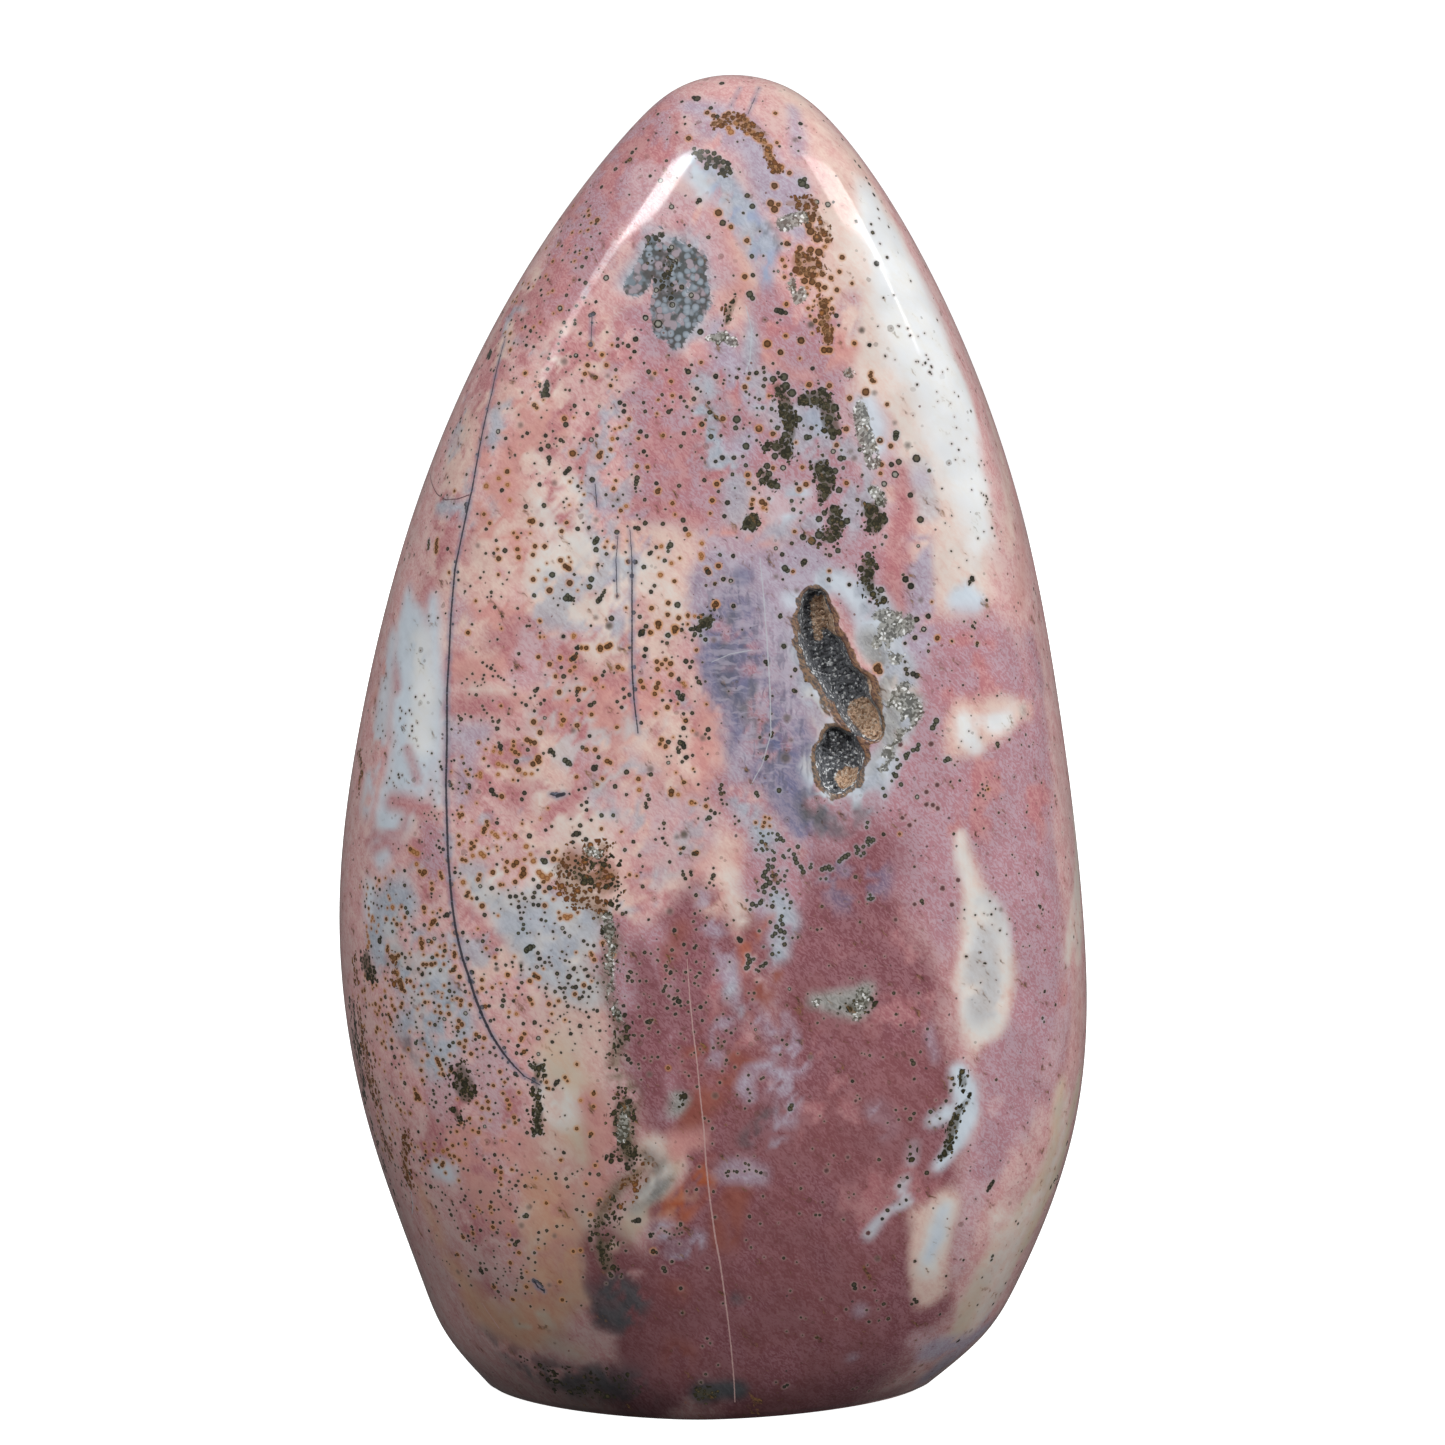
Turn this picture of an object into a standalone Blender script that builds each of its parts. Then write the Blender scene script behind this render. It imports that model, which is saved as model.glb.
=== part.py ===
# A polished standing freeform of ocean jasper: one stone, sawn flat underneath,
# ground to a tall rounded shield with a broad face and softly bevelled shoulders.
# Metres, +Z up. The broad face with the open vug looks along -Y. The stone stands
# on its sawn foot at z = 0, and the middle of its bounding box is over the origin.

import math

import bmesh
import bpy
import numpy as np
from mathutils import Matrix, Vector

# ---------------------------------------------------------------- driving sizes
HEIGHT = 0.200          # foot to crown
FOOT_ROUND = 0.0008     # tiny rounded arris round the sawn foot
RINGS = 46              # rings between the foot and the crown
SEGMENTS = 64           # points round each ring

# The outline is read at stations q = sqrt(1 - z / HEIGHT), 0 at the crown and 1 at
# the foot, so that the crown closes as a round cap. Millimetres.
STATION_Q = (0.0, 0.1, 0.2, 0.4, 0.6, 0.7, 0.8, 0.9, 0.96, 0.98, 1.0)
LEFT_X = (3.2, -5.0, -12.0, -29.5, -46.8, -53.1, -56.4, -51.5, -43.9, -40.4, -33.8)
RIGHT_X = (3.2, 11.8, 19.0, 34.3, 48.5, 53.2, 56.7, 55.0, 46.8, 42.0, 33.2)

# How far the broad face and the back stand out from the middle plane, at stations
# of q. Millimetres.
DEPTH_Q = (0.0, 0.2, 0.4, 0.6, 0.8, 0.9, 0.96, 1.0)
FRONT_Y = (0.0, 9.4, 16.4, 22.4, 28.4, 29.8, 27.9, 24.2)
BACK_Y = (0.0, 9.0, 15.8, 21.4, 27.2, 28.6, 26.8, 22.8)

# Where the two bevels of each face start, as shares of the half width, at stations
# of q, and how crisp the ridge between face and bevel is (2 is round, 12 a crease).
RIDGE_Q = (0.0, 0.22, 0.37, 0.46, 0.62, 0.80, 1.0)
FRONT_LEFT = (0.30, 0.38, 0.60, 0.71, 0.75, 0.76, 0.66)
FRONT_RIGHT = (0.50, 0.68, 0.76, 0.83, 0.84, 0.82, 0.68)
BACK_LEFT = (0.30, 0.45, 0.62, 0.66, 0.70, 0.70, 0.60)
BACK_RIGHT = (0.30, 0.50, 0.58, 0.64, 0.70, 0.72, 0.62)
CRISP_FRONT = (3.0, 7.5, 8.5, 7.5, 5.5, 4.6, 4.2)
CRISP_BACK = (3.0, 5.0, 5.5, 5.0, 4.4, 4.0, 4.0)
EDGE_HEIGHT = 0.36      # share of the depth at which a bevel runs out into the side
EDGE_ROUND = 0.16       # rounding of the side where front and back meet
FOOT_FADE = 30.0        # height over which the section grows out of the foot's oval
FOOT_OVAL = 1.72        # how full that oval is (2 is an ellipse)
FOOT_SKEW = 1.6         # its front leans to the left, millimetres

# The open vug in the broad face: two hollows that run along the face. Each station
# is (x, z, half width, depth below the face), in millimetres, from top to bottom.
VUG_HOLLOWS = (
    (
        (16.3, 125.3, 0.0, 0.0),
        (15.7, 123.9, 1.7, 2.0),
        (15.4, 121.4, 2.6, 3.4),
        (16.2, 117.6, 3.1, 4.4),
        (18.2, 113.4, 3.4, 4.9),
        (20.5, 109.6, 3.3, 4.6),
        (22.6, 106.4, 2.6, 3.6),
        (23.9, 104.5, 1.4, 1.8),
        (24.4, 103.6, 0.0, 0.0),
    ),
    (
        (17.6, 104.2, 0.0, 0.0),
        (18.2, 103.3, 1.9, 1.8),
        (18.9, 101.6, 3.1, 3.0),
        (19.3, 99.6, 3.5, 3.5),
        (19.0, 97.8, 2.6, 2.6),
        (18.6, 96.6, 1.3, 1.3),
        (18.4, 96.2, 0.0, 0.0),
    ),
)
VUG_STAND_OFF = 2.4     # how far the hollows' axes stand off the face
VUG_SIDES = 20          # points round a hollow


def spline(stations, values):
    """Natural cubic spline through the stations, as a function of q."""
    x = np.array(stations, float)
    y = np.array(values, float)
    n = len(x)
    h = np.diff(x)
    a = np.zeros((n, n))
    r = np.zeros(n)
    a[0, 0] = a[-1, -1] = 1.0
    for i in range(1, n - 1):
        a[i, i - 1], a[i, i], a[i, i + 1] = h[i - 1], 2 * (h[i - 1] + h[i]), h[i]
        r[i] = 6 * ((y[i + 1] - y[i]) / h[i] - (y[i] - y[i - 1]) / h[i - 1])
    m = np.linalg.solve(a, r)

    def at(q):
        q = np.asarray(q, float)
        i = np.clip(np.searchsorted(x, q) - 1, 0, n - 2)
        t0, t1 = q - x[i], x[i + 1] - q
        return (
            m[i] * t1**3 / (6 * h[i])
            + m[i + 1] * t0**3 / (6 * h[i])
            + (y[i] / h[i] - m[i] * h[i] / 6) * t1
            + (y[i + 1] / h[i] - m[i + 1] * h[i] / 6) * t0
        )

    return at


outline_left, outline_right = spline(STATION_Q, LEFT_X), spline(STATION_Q, RIGHT_X)
depth_front, depth_back = spline(DEPTH_Q, FRONT_Y), spline(DEPTH_Q, BACK_Y)
front_left, front_right = spline(RIDGE_Q, FRONT_LEFT), spline(RIDGE_Q, FRONT_RIGHT)
back_left, back_right = spline(RIDGE_Q, BACK_LEFT), spline(RIDGE_Q, BACK_RIGHT)
crisp_front, crisp_back = spline(RIDGE_Q, CRISP_FRONT), spline(RIDGE_Q, CRISP_BACK)


def half_section(angles, left, right, crisp, roundness, oval):
    """Radius of a unit half section: a flat face, a bevel at each side, round ends."""
    c, s = np.cos(angles), np.abs(np.sin(angles))
    rise = np.sqrt(s * s + EDGE_ROUND**2) - EDGE_ROUND
    cuts = [s, np.abs(c)]
    for toward, share in ((-c, left), (c, right)):
        run = 1 - share * EDGE_HEIGHT
        cuts.append(np.maximum(0, (toward * (1 - EDGE_HEIGHT) + rise * (1 - share)) / run))
    ground = sum(cut**crisp for cut in cuts) ** (-1.0 / crisp)
    round_one = (np.abs(c) ** oval + s**oval) ** (-1.0 / oval)
    return ground * (1 - roundness) + round_one * roundness


def ring(q, angles):
    """One closed ring of the stone at station q, in millimetres."""
    left, right = float(outline_left(q)), float(outline_right(q))
    middle, half = (left + right) / 2, (right - left) / 2
    z = HEIGHT * 1000 * (1 - q * q)
    at_crown = float(np.clip(1 - q / 0.20, 0, 1)) ** 1.5
    at_foot = float(np.clip(1 - z / FOOT_FADE, 0, 1)) ** 1.5
    roundness = max(at_crown, at_foot)
    oval = 2 + (FOOT_OVAL - 2) * at_foot
    halves = [
        half_section(angles, float(l(q)), float(r(q)), float(crisp(q)), roundness, oval)
        for l, r, crisp in (
            (front_left, front_right, crisp_front),
            (back_left, back_right, crisp_back),
        )
    ]
    # the two halves meet smoothly at the sides
    side = np.sin(angles)
    share = 1 / (1 + np.exp(np.clip(side / 0.10, -40, 40)))
    radius = halves[0] * share + halves[1] * (1 - share)
    x, y = radius * np.cos(angles), radius * side
    x = np.where(x < 0, x / -x.min(), x / x.max())
    y = np.where(y < 0, y / -y.min(), y / y.max())
    depth = np.where(y < 0, float(depth_front(q)), float(depth_back(q)))
    x, y = middle + half * x - FOOT_SKEW * at_foot * np.maximum(0, -y), depth * y
    # slow hand-ground unevenness of the faces, nothing at the foot
    fade = min(1.0, z / 20.0)
    y = y + fade * 0.30 * np.sin(x / 13.0 + 0.7) * np.sin(z / 17.0 + 1.1) * np.abs(side) ** 2
    return np.stack([x, y, np.full_like(x, z)], axis=1)


def ring_angles(count):
    """Angles that spread the points evenly round a typical section."""
    fine = np.linspace(0, 2 * math.pi, 4001)
    radius = half_section(fine, 0.75, 0.8, 5.0, 0.0, 2.0)
    x, y = 50 * radius * np.cos(fine), 30 * radius * np.sin(fine)
    run = np.concatenate([[0], np.cumsum(np.hypot(np.diff(x), np.diff(y)))])
    return np.interp(np.linspace(0, run[-1], count, endpoint=False), run, fine)


def ring_stations(count):
    """q of each ring from the foot to just under the crown."""
    t = np.linspace(0, 1, count)
    return 0.035 + (1.0 - 0.035) * (1 - t) ** 0.86


def build_stone():
    angles = ring_angles(SEGMENTS)
    rounding = FOOT_ROUND * 1000
    rings = []
    # the rounded arris: a quarter turn from the sawn foot into the flank
    foot = ring(1.0, angles)
    middle = foot.mean(axis=0)
    outwards = foot - middle
    outwards /= np.linalg.norm(outwards, axis=1)[:, None]
    for turn in (0.0, 0.5, 1.0):
        a = turn * math.pi / 2
        inset = foot - outwards * rounding * (1 - math.sin(a))
        inset[:, 2] = rounding * (1 - math.cos(a)) * 0.55
        rings.append(inset)
    qs = ring_stations(RINGS)[1:]
    rings += [ring(q, angles) for q in qs]
    crown = np.array([float(outline_left(0.0)), 0.0, HEIGHT * 1000])

    bm = bmesh.new()
    rows = [[bm.verts.new(Vector(p) / 1000) for p in r] for r in rings]
    top = bm.verts.new(Vector(crown) / 1000)
    count = len(angles)
    for low, high in zip(rows, rows[1:]):
        for i in range(count):
            j = (i + 1) % count
            bm.faces.new((low[i], low[j], high[j], high[i]))
    for i in range(count):
        bm.faces.new((rows[-1][i], rows[-1][(i + 1) % count], top))
    bm.faces.new(list(reversed(rows[0])))
    bmesh.ops.recalc_face_normals(bm, faces=bm.faces)
    mesh = bpy.data.meshes.new("jasper_stone")
    bm.to_mesh(mesh)
    bm.free()
    stone = bpy.data.objects.new("jasper_stone", mesh)
    bpy.context.scene.collection.objects.link(stone)
    return stone


def build_vug_cutter(number, stations):
    """One hollow as a closed body, lofted along its stations."""
    points = []
    for x, z, half, deep in stations:
        q = math.sqrt(1 - z / (HEIGHT * 1000))
        points.append(np.array([x, -float(depth_front(q)) - VUG_STAND_OFF, z]))
    turns = np.linspace(0, 2 * math.pi, VUG_SIDES, endpoint=False)
    bm = bmesh.new()
    rows = []
    for i, (x, z, half, deep) in enumerate(stations):
        if half == 0.0:
            rows.append([bm.verts.new(Vector(points[i]) / 1000)])
            continue
        along = points[i + 1] - points[i - 1]
        across = np.array([-along[2], 0.0, along[0]])
        across /= np.linalg.norm(across)
        # wide enough that the hollow is "half" wide where it meets the face
        reach = deep + VUG_STAND_OFF
        wide = half / math.sqrt(max(0.1, 1 - (VUG_STAND_OFF / reach) ** 2))
        ring_points = [
            points[i] + across * wide * math.cos(t) + np.array([0, reach * math.sin(t), 0])
            for t in turns
        ]
        rows.append([bm.verts.new(Vector(p) / 1000) for p in ring_points])
    for low, high in zip(rows, rows[1:]):
        for i in range(VUG_SIDES):
            j = (i + 1) % VUG_SIDES
            if len(low) == 1:
                bm.faces.new((low[0], high[i], high[j]))
            elif len(high) == 1:
                bm.faces.new((low[i], low[j], high[0]))
            else:
                bm.faces.new((low[i], low[j], high[j], high[i]))
    bmesh.ops.recalc_face_normals(bm, faces=bm.faces)
    mesh = bpy.data.meshes.new(f"vug_cutter_{number}")
    bm.to_mesh(mesh)
    bm.free()
    cutter = bpy.data.objects.new(f"vug_cutter_{number}", mesh)
    bpy.context.scene.collection.objects.link(cutter)
    cutter.hide_render = True
    cutter.display_type = "WIRE"
    return cutter


def material(name, colour, roughness):
    made = bpy.data.materials.new(name)
    made.use_nodes = True
    bsdf = made.node_tree.nodes["Principled BSDF"]
    bsdf.inputs["Base Color"].default_value = (*colour, 1.0)
    bsdf.inputs["Roughness"].default_value = roughness
    bsdf.inputs["Metallic"].default_value = 0.0
    return made


def main():
    for old in list(bpy.data.objects):
        bpy.data.objects.remove(old)
    stone = build_stone()
    stone.data.materials.append(material("polished_jasper", (0.42, 0.25, 0.25), 0.15))
    for number, stations in enumerate(VUG_HOLLOWS):
        cutter = build_vug_cutter(number, stations)
        cut = stone.modifiers.new(cutter.name, "BOOLEAN")
        cut.operation = "DIFFERENCE"
        cut.solver = "EXACT"
        cut.object = cutter
    stone.data.shade_smooth()
    stone.data.set_sharp_from_angle(angle=math.radians(35))
    # the middle of the bounding box goes over the origin
    corners = [v.co for v in stone.data.vertices]
    x = (min(c.x for c in corners) + max(c.x for c in corners)) / 2
    y = (min(c.y for c in corners) + max(c.y for c in corners)) / 2
    shift = Matrix.Translation((-x, -y, 0.0))
    for obj in bpy.data.objects:
        obj.data.transform(shift)
    print("bounding box middle was at", round(x * 1000, 3), round(y * 1000, 3), "mm")


main()
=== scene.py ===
"""The looks of a polished standing freeform of ocean jasper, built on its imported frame."""

import math

import bmesh
import bpy
import numpy as np
from mathutils import Matrix, Vector
from mathutils.bvhtree import BVHTree
from mathutils.kdtree import KDTree


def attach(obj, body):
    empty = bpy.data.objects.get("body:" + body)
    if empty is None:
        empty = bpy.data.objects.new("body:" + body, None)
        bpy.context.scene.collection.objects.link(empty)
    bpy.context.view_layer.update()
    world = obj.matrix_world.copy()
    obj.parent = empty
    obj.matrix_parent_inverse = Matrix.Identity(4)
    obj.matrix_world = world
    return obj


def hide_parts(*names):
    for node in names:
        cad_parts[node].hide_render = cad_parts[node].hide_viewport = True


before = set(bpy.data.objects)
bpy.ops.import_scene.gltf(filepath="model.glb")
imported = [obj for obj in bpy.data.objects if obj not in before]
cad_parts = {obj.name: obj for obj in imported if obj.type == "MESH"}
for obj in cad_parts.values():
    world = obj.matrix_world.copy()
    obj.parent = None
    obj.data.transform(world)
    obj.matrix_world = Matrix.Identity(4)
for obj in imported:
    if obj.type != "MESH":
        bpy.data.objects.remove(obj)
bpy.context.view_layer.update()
RNG = np.random.default_rng(20)

# ============================================================ the stone's shape
# Millimetres. The same outline, depths, ridges and hollows as the solid.
HEIGHT = 200.0
FOOT_ROUND = 0.8
STATION_Q = (0.0, 0.1, 0.2, 0.4, 0.6, 0.7, 0.8, 0.9, 0.96, 0.98, 1.0)
LEFT_X = (3.2, -5.0, -12.0, -29.5, -46.8, -53.1, -56.4, -51.5, -43.9, -40.4, -33.8)
RIGHT_X = (3.2, 11.8, 19.0, 34.3, 48.5, 53.2, 56.7, 55.0, 46.8, 42.0, 33.2)
DEPTH_Q = (0.0, 0.2, 0.4, 0.6, 0.8, 0.9, 0.96, 1.0)
FRONT_Y = (0.0, 9.4, 16.4, 22.4, 28.4, 29.8, 27.9, 24.2)
BACK_Y = (0.0, 9.0, 15.8, 21.4, 27.2, 28.6, 26.8, 22.8)
RIDGE_Q = (0.0, 0.22, 0.37, 0.46, 0.62, 0.80, 1.0)
FRONT_LEFT = (0.30, 0.38, 0.60, 0.71, 0.75, 0.76, 0.66)
FRONT_RIGHT = (0.50, 0.68, 0.76, 0.83, 0.84, 0.82, 0.68)
BACK_LEFT = (0.30, 0.45, 0.62, 0.66, 0.70, 0.70, 0.60)
BACK_RIGHT = (0.30, 0.50, 0.58, 0.64, 0.70, 0.72, 0.62)
CRISP_FRONT = (3.0, 7.5, 8.5, 7.5, 5.5, 4.6, 4.2)
CRISP_BACK = (3.0, 5.0, 5.5, 5.0, 4.4, 4.0, 4.0)
EDGE_HEIGHT, EDGE_ROUND = 0.36, 0.16
FOOT_FADE, FOOT_OVAL, FOOT_SKEW = 30.0, 1.72, 1.6
SHIFT = (-0.432, 0.680)     # puts the middle of the bounding box over the origin

VUG_HOLLOWS = (
    (
        (16.3, 125.3, 0.0, 0.0),
        (15.7, 123.9, 1.7, 2.0),
        (15.4, 121.4, 2.6, 3.4),
        (16.2, 117.6, 3.1, 4.4),
        (18.2, 113.4, 3.4, 4.9),
        (20.5, 109.6, 3.3, 4.6),
        (22.6, 106.4, 2.6, 3.6),
        (23.9, 104.5, 1.4, 1.8),
        (24.4, 103.6, 0.0, 0.0),
    ),
    (
        (17.6, 104.2, 0.0, 0.0),
        (18.2, 103.3, 1.9, 1.8),
        (18.9, 101.6, 3.1, 3.0),
        (19.3, 99.6, 3.5, 3.5),
        (19.0, 97.8, 2.6, 2.6),
        (18.6, 96.6, 1.3, 1.3),
        (18.4, 96.2, 0.0, 0.0),
    ),
)


def spline(stations, values):
    x = np.array(stations, float)
    y = np.array(values, float)
    n = len(x)
    h = np.diff(x)
    a = np.zeros((n, n))
    r = np.zeros(n)
    a[0, 0] = a[-1, -1] = 1.0
    for i in range(1, n - 1):
        a[i, i - 1], a[i, i], a[i, i + 1] = h[i - 1], 2 * (h[i - 1] + h[i]), h[i]
        r[i] = 6 * ((y[i + 1] - y[i]) / h[i] - (y[i] - y[i - 1]) / h[i - 1])
    m = np.linalg.solve(a, r)

    def at(q):
        q = np.asarray(q, float)
        i = np.clip(np.searchsorted(x, q) - 1, 0, n - 2)
        t0, t1 = q - x[i], x[i + 1] - q
        return (
            m[i] * t1**3 / (6 * h[i])
            + m[i + 1] * t0**3 / (6 * h[i])
            + (y[i] / h[i] - m[i] * h[i] / 6) * t1
            + (y[i + 1] / h[i] - m[i + 1] * h[i] / 6) * t0
        )

    return at


outline_left, outline_right = spline(STATION_Q, LEFT_X), spline(STATION_Q, RIGHT_X)
depth_front, depth_back = spline(DEPTH_Q, FRONT_Y), spline(DEPTH_Q, BACK_Y)
front_left, front_right = spline(RIDGE_Q, FRONT_LEFT), spline(RIDGE_Q, FRONT_RIGHT)
back_left, back_right = spline(RIDGE_Q, BACK_LEFT), spline(RIDGE_Q, BACK_RIGHT)
crisp_front, crisp_back = spline(RIDGE_Q, CRISP_FRONT), spline(RIDGE_Q, CRISP_BACK)


def half_section(angles, left, right, crisp, roundness, oval):
    c, s = np.cos(angles), np.abs(np.sin(angles))
    rise = np.sqrt(s * s + EDGE_ROUND**2) - EDGE_ROUND
    cuts = [s, np.abs(c)]
    for toward, share in ((-c, left), (c, right)):
        run = 1 - share * EDGE_HEIGHT
        cuts.append(np.maximum(0, (toward * (1 - EDGE_HEIGHT) + rise * (1 - share)) / run))
    ground = sum(cut**crisp for cut in cuts) ** (-1.0 / crisp)
    round_one = (np.abs(c) ** oval + s**oval) ** (-1.0 / oval)
    return ground * (1 - roundness) + round_one * roundness


def ring(q, angles):
    left, right = float(outline_left(q)), float(outline_right(q))
    middle, half = (left + right) / 2, (right - left) / 2
    z = HEIGHT * (1 - q * q)
    at_crown = float(np.clip(1 - q / 0.20, 0, 1)) ** 1.5
    at_foot = float(np.clip(1 - z / FOOT_FADE, 0, 1)) ** 1.5
    roundness = max(at_crown, at_foot)
    oval = 2 + (FOOT_OVAL - 2) * at_foot
    halves = [
        half_section(angles, float(l(q)), float(r(q)), float(crisp(q)), roundness, oval)
        for l, r, crisp in (
            (front_left, front_right, crisp_front),
            (back_left, back_right, crisp_back),
        )
    ]
    side = np.sin(angles)
    share = 1 / (1 + np.exp(np.clip(side / 0.10, -40, 40)))
    radius = halves[0] * share + halves[1] * (1 - share)
    x, y = radius * np.cos(angles), radius * side
    x = np.where(x < 0, x / -x.min(), x / x.max())
    y = np.where(y < 0, y / -y.min(), y / y.max())
    depth = np.where(y < 0, float(depth_front(q)), float(depth_back(q)))
    x, y = middle + half * x - FOOT_SKEW * at_foot * np.maximum(0, -y), depth * y
    fade = min(1.0, z / 20.0)
    y = y + fade * 0.30 * np.sin(x / 13.0 + 0.7) * np.sin(z / 17.0 + 1.1) * np.abs(side) ** 2
    return np.stack([x + SHIFT[0], y + SHIFT[1], np.full_like(x, z)], axis=1)


def ring_angles(count, front_weight):
    """Angles for one ring: evenly spaced along it, but closer together on the front."""
    fine = np.linspace(-math.pi, math.pi, 8001)
    radius = half_section(fine, 0.75, 0.8, 5.0, 0.0, 2.0)
    x, y = 50 * radius * np.cos(fine), 30 * radius * np.sin(fine)
    run = np.hypot(np.diff(x), np.diff(y))
    middle = (fine[1:] + fine[:-1]) / 2
    front = 1 / (1 + np.exp((np.sin(middle) - 0.05) / 0.12))
    run *= 1 + (front_weight - 1) * front
    total = np.concatenate([[0], np.cumsum(run)])
    return np.interp(np.linspace(0, total[-1], count, endpoint=False), total, fine)


def ring_stations(count):
    """q of the rings from the foot to just under the crown, evenly spaced on the surface."""
    q = np.linspace(1.0, 0.016, 4000)
    z = HEIGHT * (1 - q * q)
    run = np.hypot(np.diff(z), np.maximum(np.abs(np.diff(outline_left(q))), np.abs(np.diff(depth_front(q)))))
    total = np.concatenate([[0], np.cumsum(run)])
    return np.interp(np.linspace(0, total[-1], count), total, q)


def path_distance(x, z, stations):
    """Distance to a hollow's middle line as a share of its half width, and its depth."""
    best = np.full(x.shape, 9.0)
    deep = np.zeros(x.shape)
    fine = []
    for (x0, z0, w0, d0), (x1, z1, w1, d1) in zip(stations, stations[1:]):
        for t in np.linspace(0, 1, 6)[:-1]:
            fine.append((x0 + (x1 - x0) * t, z0 + (z1 - z0) * t, w0 + (w1 - w0) * t, d0 + (d1 - d0) * t))
    for cx, cz, w, d in fine:
        if w < 0.2:
            continue
        share = np.hypot(x - cx, z - cz) / w
        better = share < best
        best = np.where(better, share, best)
        deep = np.where(better, d, deep)
    return best, deep


# ============================================================ noise for the mesh
def hashed(ix, iy, iz, seed):
    n = (ix * 73856093) ^ (iy * 19349663) ^ (iz * 83492791) ^ (seed * 2654435)
    n = (n ^ (n >> 13)) * 1274126177
    n = n ^ (n >> 16)
    return (n & 0xFFFFFF) / float(0xFFFFFF)


def noise(points, size, seed, octaves=2):
    """Smooth value noise, 0 to 1 round 0.5, with features of that size in millimetres."""
    total, weight, norm = 0.0, 1.0, 0.0
    for octave in range(octaves):
        p = points / size * (2.03**octave) + 1000.0 + 17.3 * octave
        cell = np.floor(p).astype(np.int64)
        f = p - cell
        f = f * f * f * (f * (f * 6 - 15) + 10)
        value = 0.0
        for dx in (0, 1):
            for dy in (0, 1):
                for dz in (0, 1):
                    w = (
                        (f[:, 0] if dx else 1 - f[:, 0])
                        * (f[:, 1] if dy else 1 - f[:, 1])
                        * (f[:, 2] if dz else 1 - f[:, 2])
                    )
                    value = value + w * hashed(cell[:, 0] + dx, cell[:, 1] + dy, cell[:, 2] + dz, seed + octave * 31)
        total = total + value * weight
        norm += weight
        weight *= 0.5
    return total / norm


def noise3(points, size, seed, octaves=2):
    return np.stack([noise(points, size, seed + 101 * k, octaves) - 0.5 for k in range(3)], axis=1) * 2


def smooth(edge0, edge1, x):
    t = np.clip((x - edge0) / (edge1 - edge0), 0, 1)
    return t * t * (3 - 2 * t)


def cells(points, size, seed):
    """Distance to the nearest of scattered points, in millimetres, and that point's random number."""
    p = points / size
    base = np.floor(p).astype(np.int64)
    best = np.full(len(points), 9.0)
    who = np.zeros(len(points))
    for dx in (-1, 0, 1):
        for dy in (-1, 0, 1):
            for dz in (-1, 0, 1):
                c = base + np.array([dx, dy, dz])
                spot = np.stack([c[:, k] + hashed(c[:, 0], c[:, 1], c[:, 2], seed + 7 * k) for k in range(3)], axis=1)
                d = np.linalg.norm(p - spot, axis=1)
                nearer = d < best
                best = np.where(nearer, d, best)
                who = np.where(nearer, hashed(c[:, 0], c[:, 1], c[:, 2], seed + 77), who)
    return best * size, who


# ============================================================ the mesh
SEGMENTS, RINGS, FRONT_WEIGHT = 322, 262, 2.0


def in_hollow(points):
    """Share of the half width (under 1 is inside) and depth, for points on the front."""
    x, z = points[:, 0] - SHIFT[0], points[:, 2]
    wobble = (noise(points, 2.6, 5, 2) - 0.5) * 0.55
    best, deep = np.full(len(points), 9.0), np.zeros(len(points))
    for stations in VUG_HOLLOWS:
        share, d = path_distance(x, z, stations)
        share = share + wobble
        deep = np.where(share < best, d, deep)
        best = np.minimum(best, share)
    return np.where(points[:, 1] < 0, best, 9.0), deep


def build_mesh():
    angles = ring_angles(SEGMENTS, FRONT_WEIGHT)
    rings = []
    foot = ring(1.0, angles)
    outwards = foot - foot.mean(axis=0)
    outwards /= np.linalg.norm(outwards, axis=1)[:, None]
    for turn in (0.0, 0.25, 0.5, 0.75, 1.0):
        a = turn * math.pi / 2
        inset = foot - outwards * FOOT_ROUND * (1 - math.sin(a))
        inset[:, 2] = FOOT_ROUND * (1 - math.cos(a)) * 0.55
        rings.append(inset)
    rings += [ring(q, angles) for q in ring_stations(RINGS)[1:]]
    count = len(angles)
    points = np.concatenate(rings)
    crown = np.array([[float(outline_left(0.0)) + SHIFT[0], SHIFT[1], HEIGHT]])
    under = np.array([[foot[:, 0].mean(), foot[:, 1].mean(), 0.0]])
    points = np.concatenate([points, crown, under])
    faces = []
    i = np.arange(count)
    j = (i + 1) % count
    for low in range(len(rings) - 1):
        a, b = low * count, (low + 1) * count
        faces.append(np.stack([a + i, a + j, b + j, b + i], axis=1))
    quads = np.concatenate(faces)
    top = (len(rings) - 1) * count
    fans = [(top + k, top + (k + 1) % count, len(points) - 2) for k in range(count)]
    fans += [((k + 1) % count, k, len(points) - 1) for k in range(count)]
    mesh = bpy.data.meshes.new("jasper_polished")
    mesh.from_pydata((points / 1000).tolist(), [], quads.tolist() + fans)
    mesh.update()
    return mesh


mesh = build_mesh()

# finer faces round the open pocket, then the pocket itself
bm = bmesh.new()
bm.from_mesh(mesh)
for turn in range(2):
    bm.faces.ensure_lookup_table()
    middles = np.array([f.calc_center_median()[:] for f in bm.faces]) * 1000
    share, _ = in_hollow(middles)
    x, z = middles[:, 0] - SHIFT[0], middles[:, 2]
    near = share < (1.75 if turn == 0 else 1.4)
    edges = {e for k in np.nonzero(near)[0] for e in bm.faces[int(k)].edges}
    bmesh.ops.subdivide_edges(bm, edges=list(edges), cuts=1, use_grid_fill=True)
bm.verts.ensure_lookup_table()
co = np.array([v.co[:] for v in bm.verts]) * 1000
share, deep = in_hollow(co)
inside = np.clip(1 - share, 0, 1)
wall = smooth(0.0, 0.42, inside)
crystal, which = cells(co, 0.8, 3)
crystal_small, which_small = cells(co, 0.42, 9)
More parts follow.
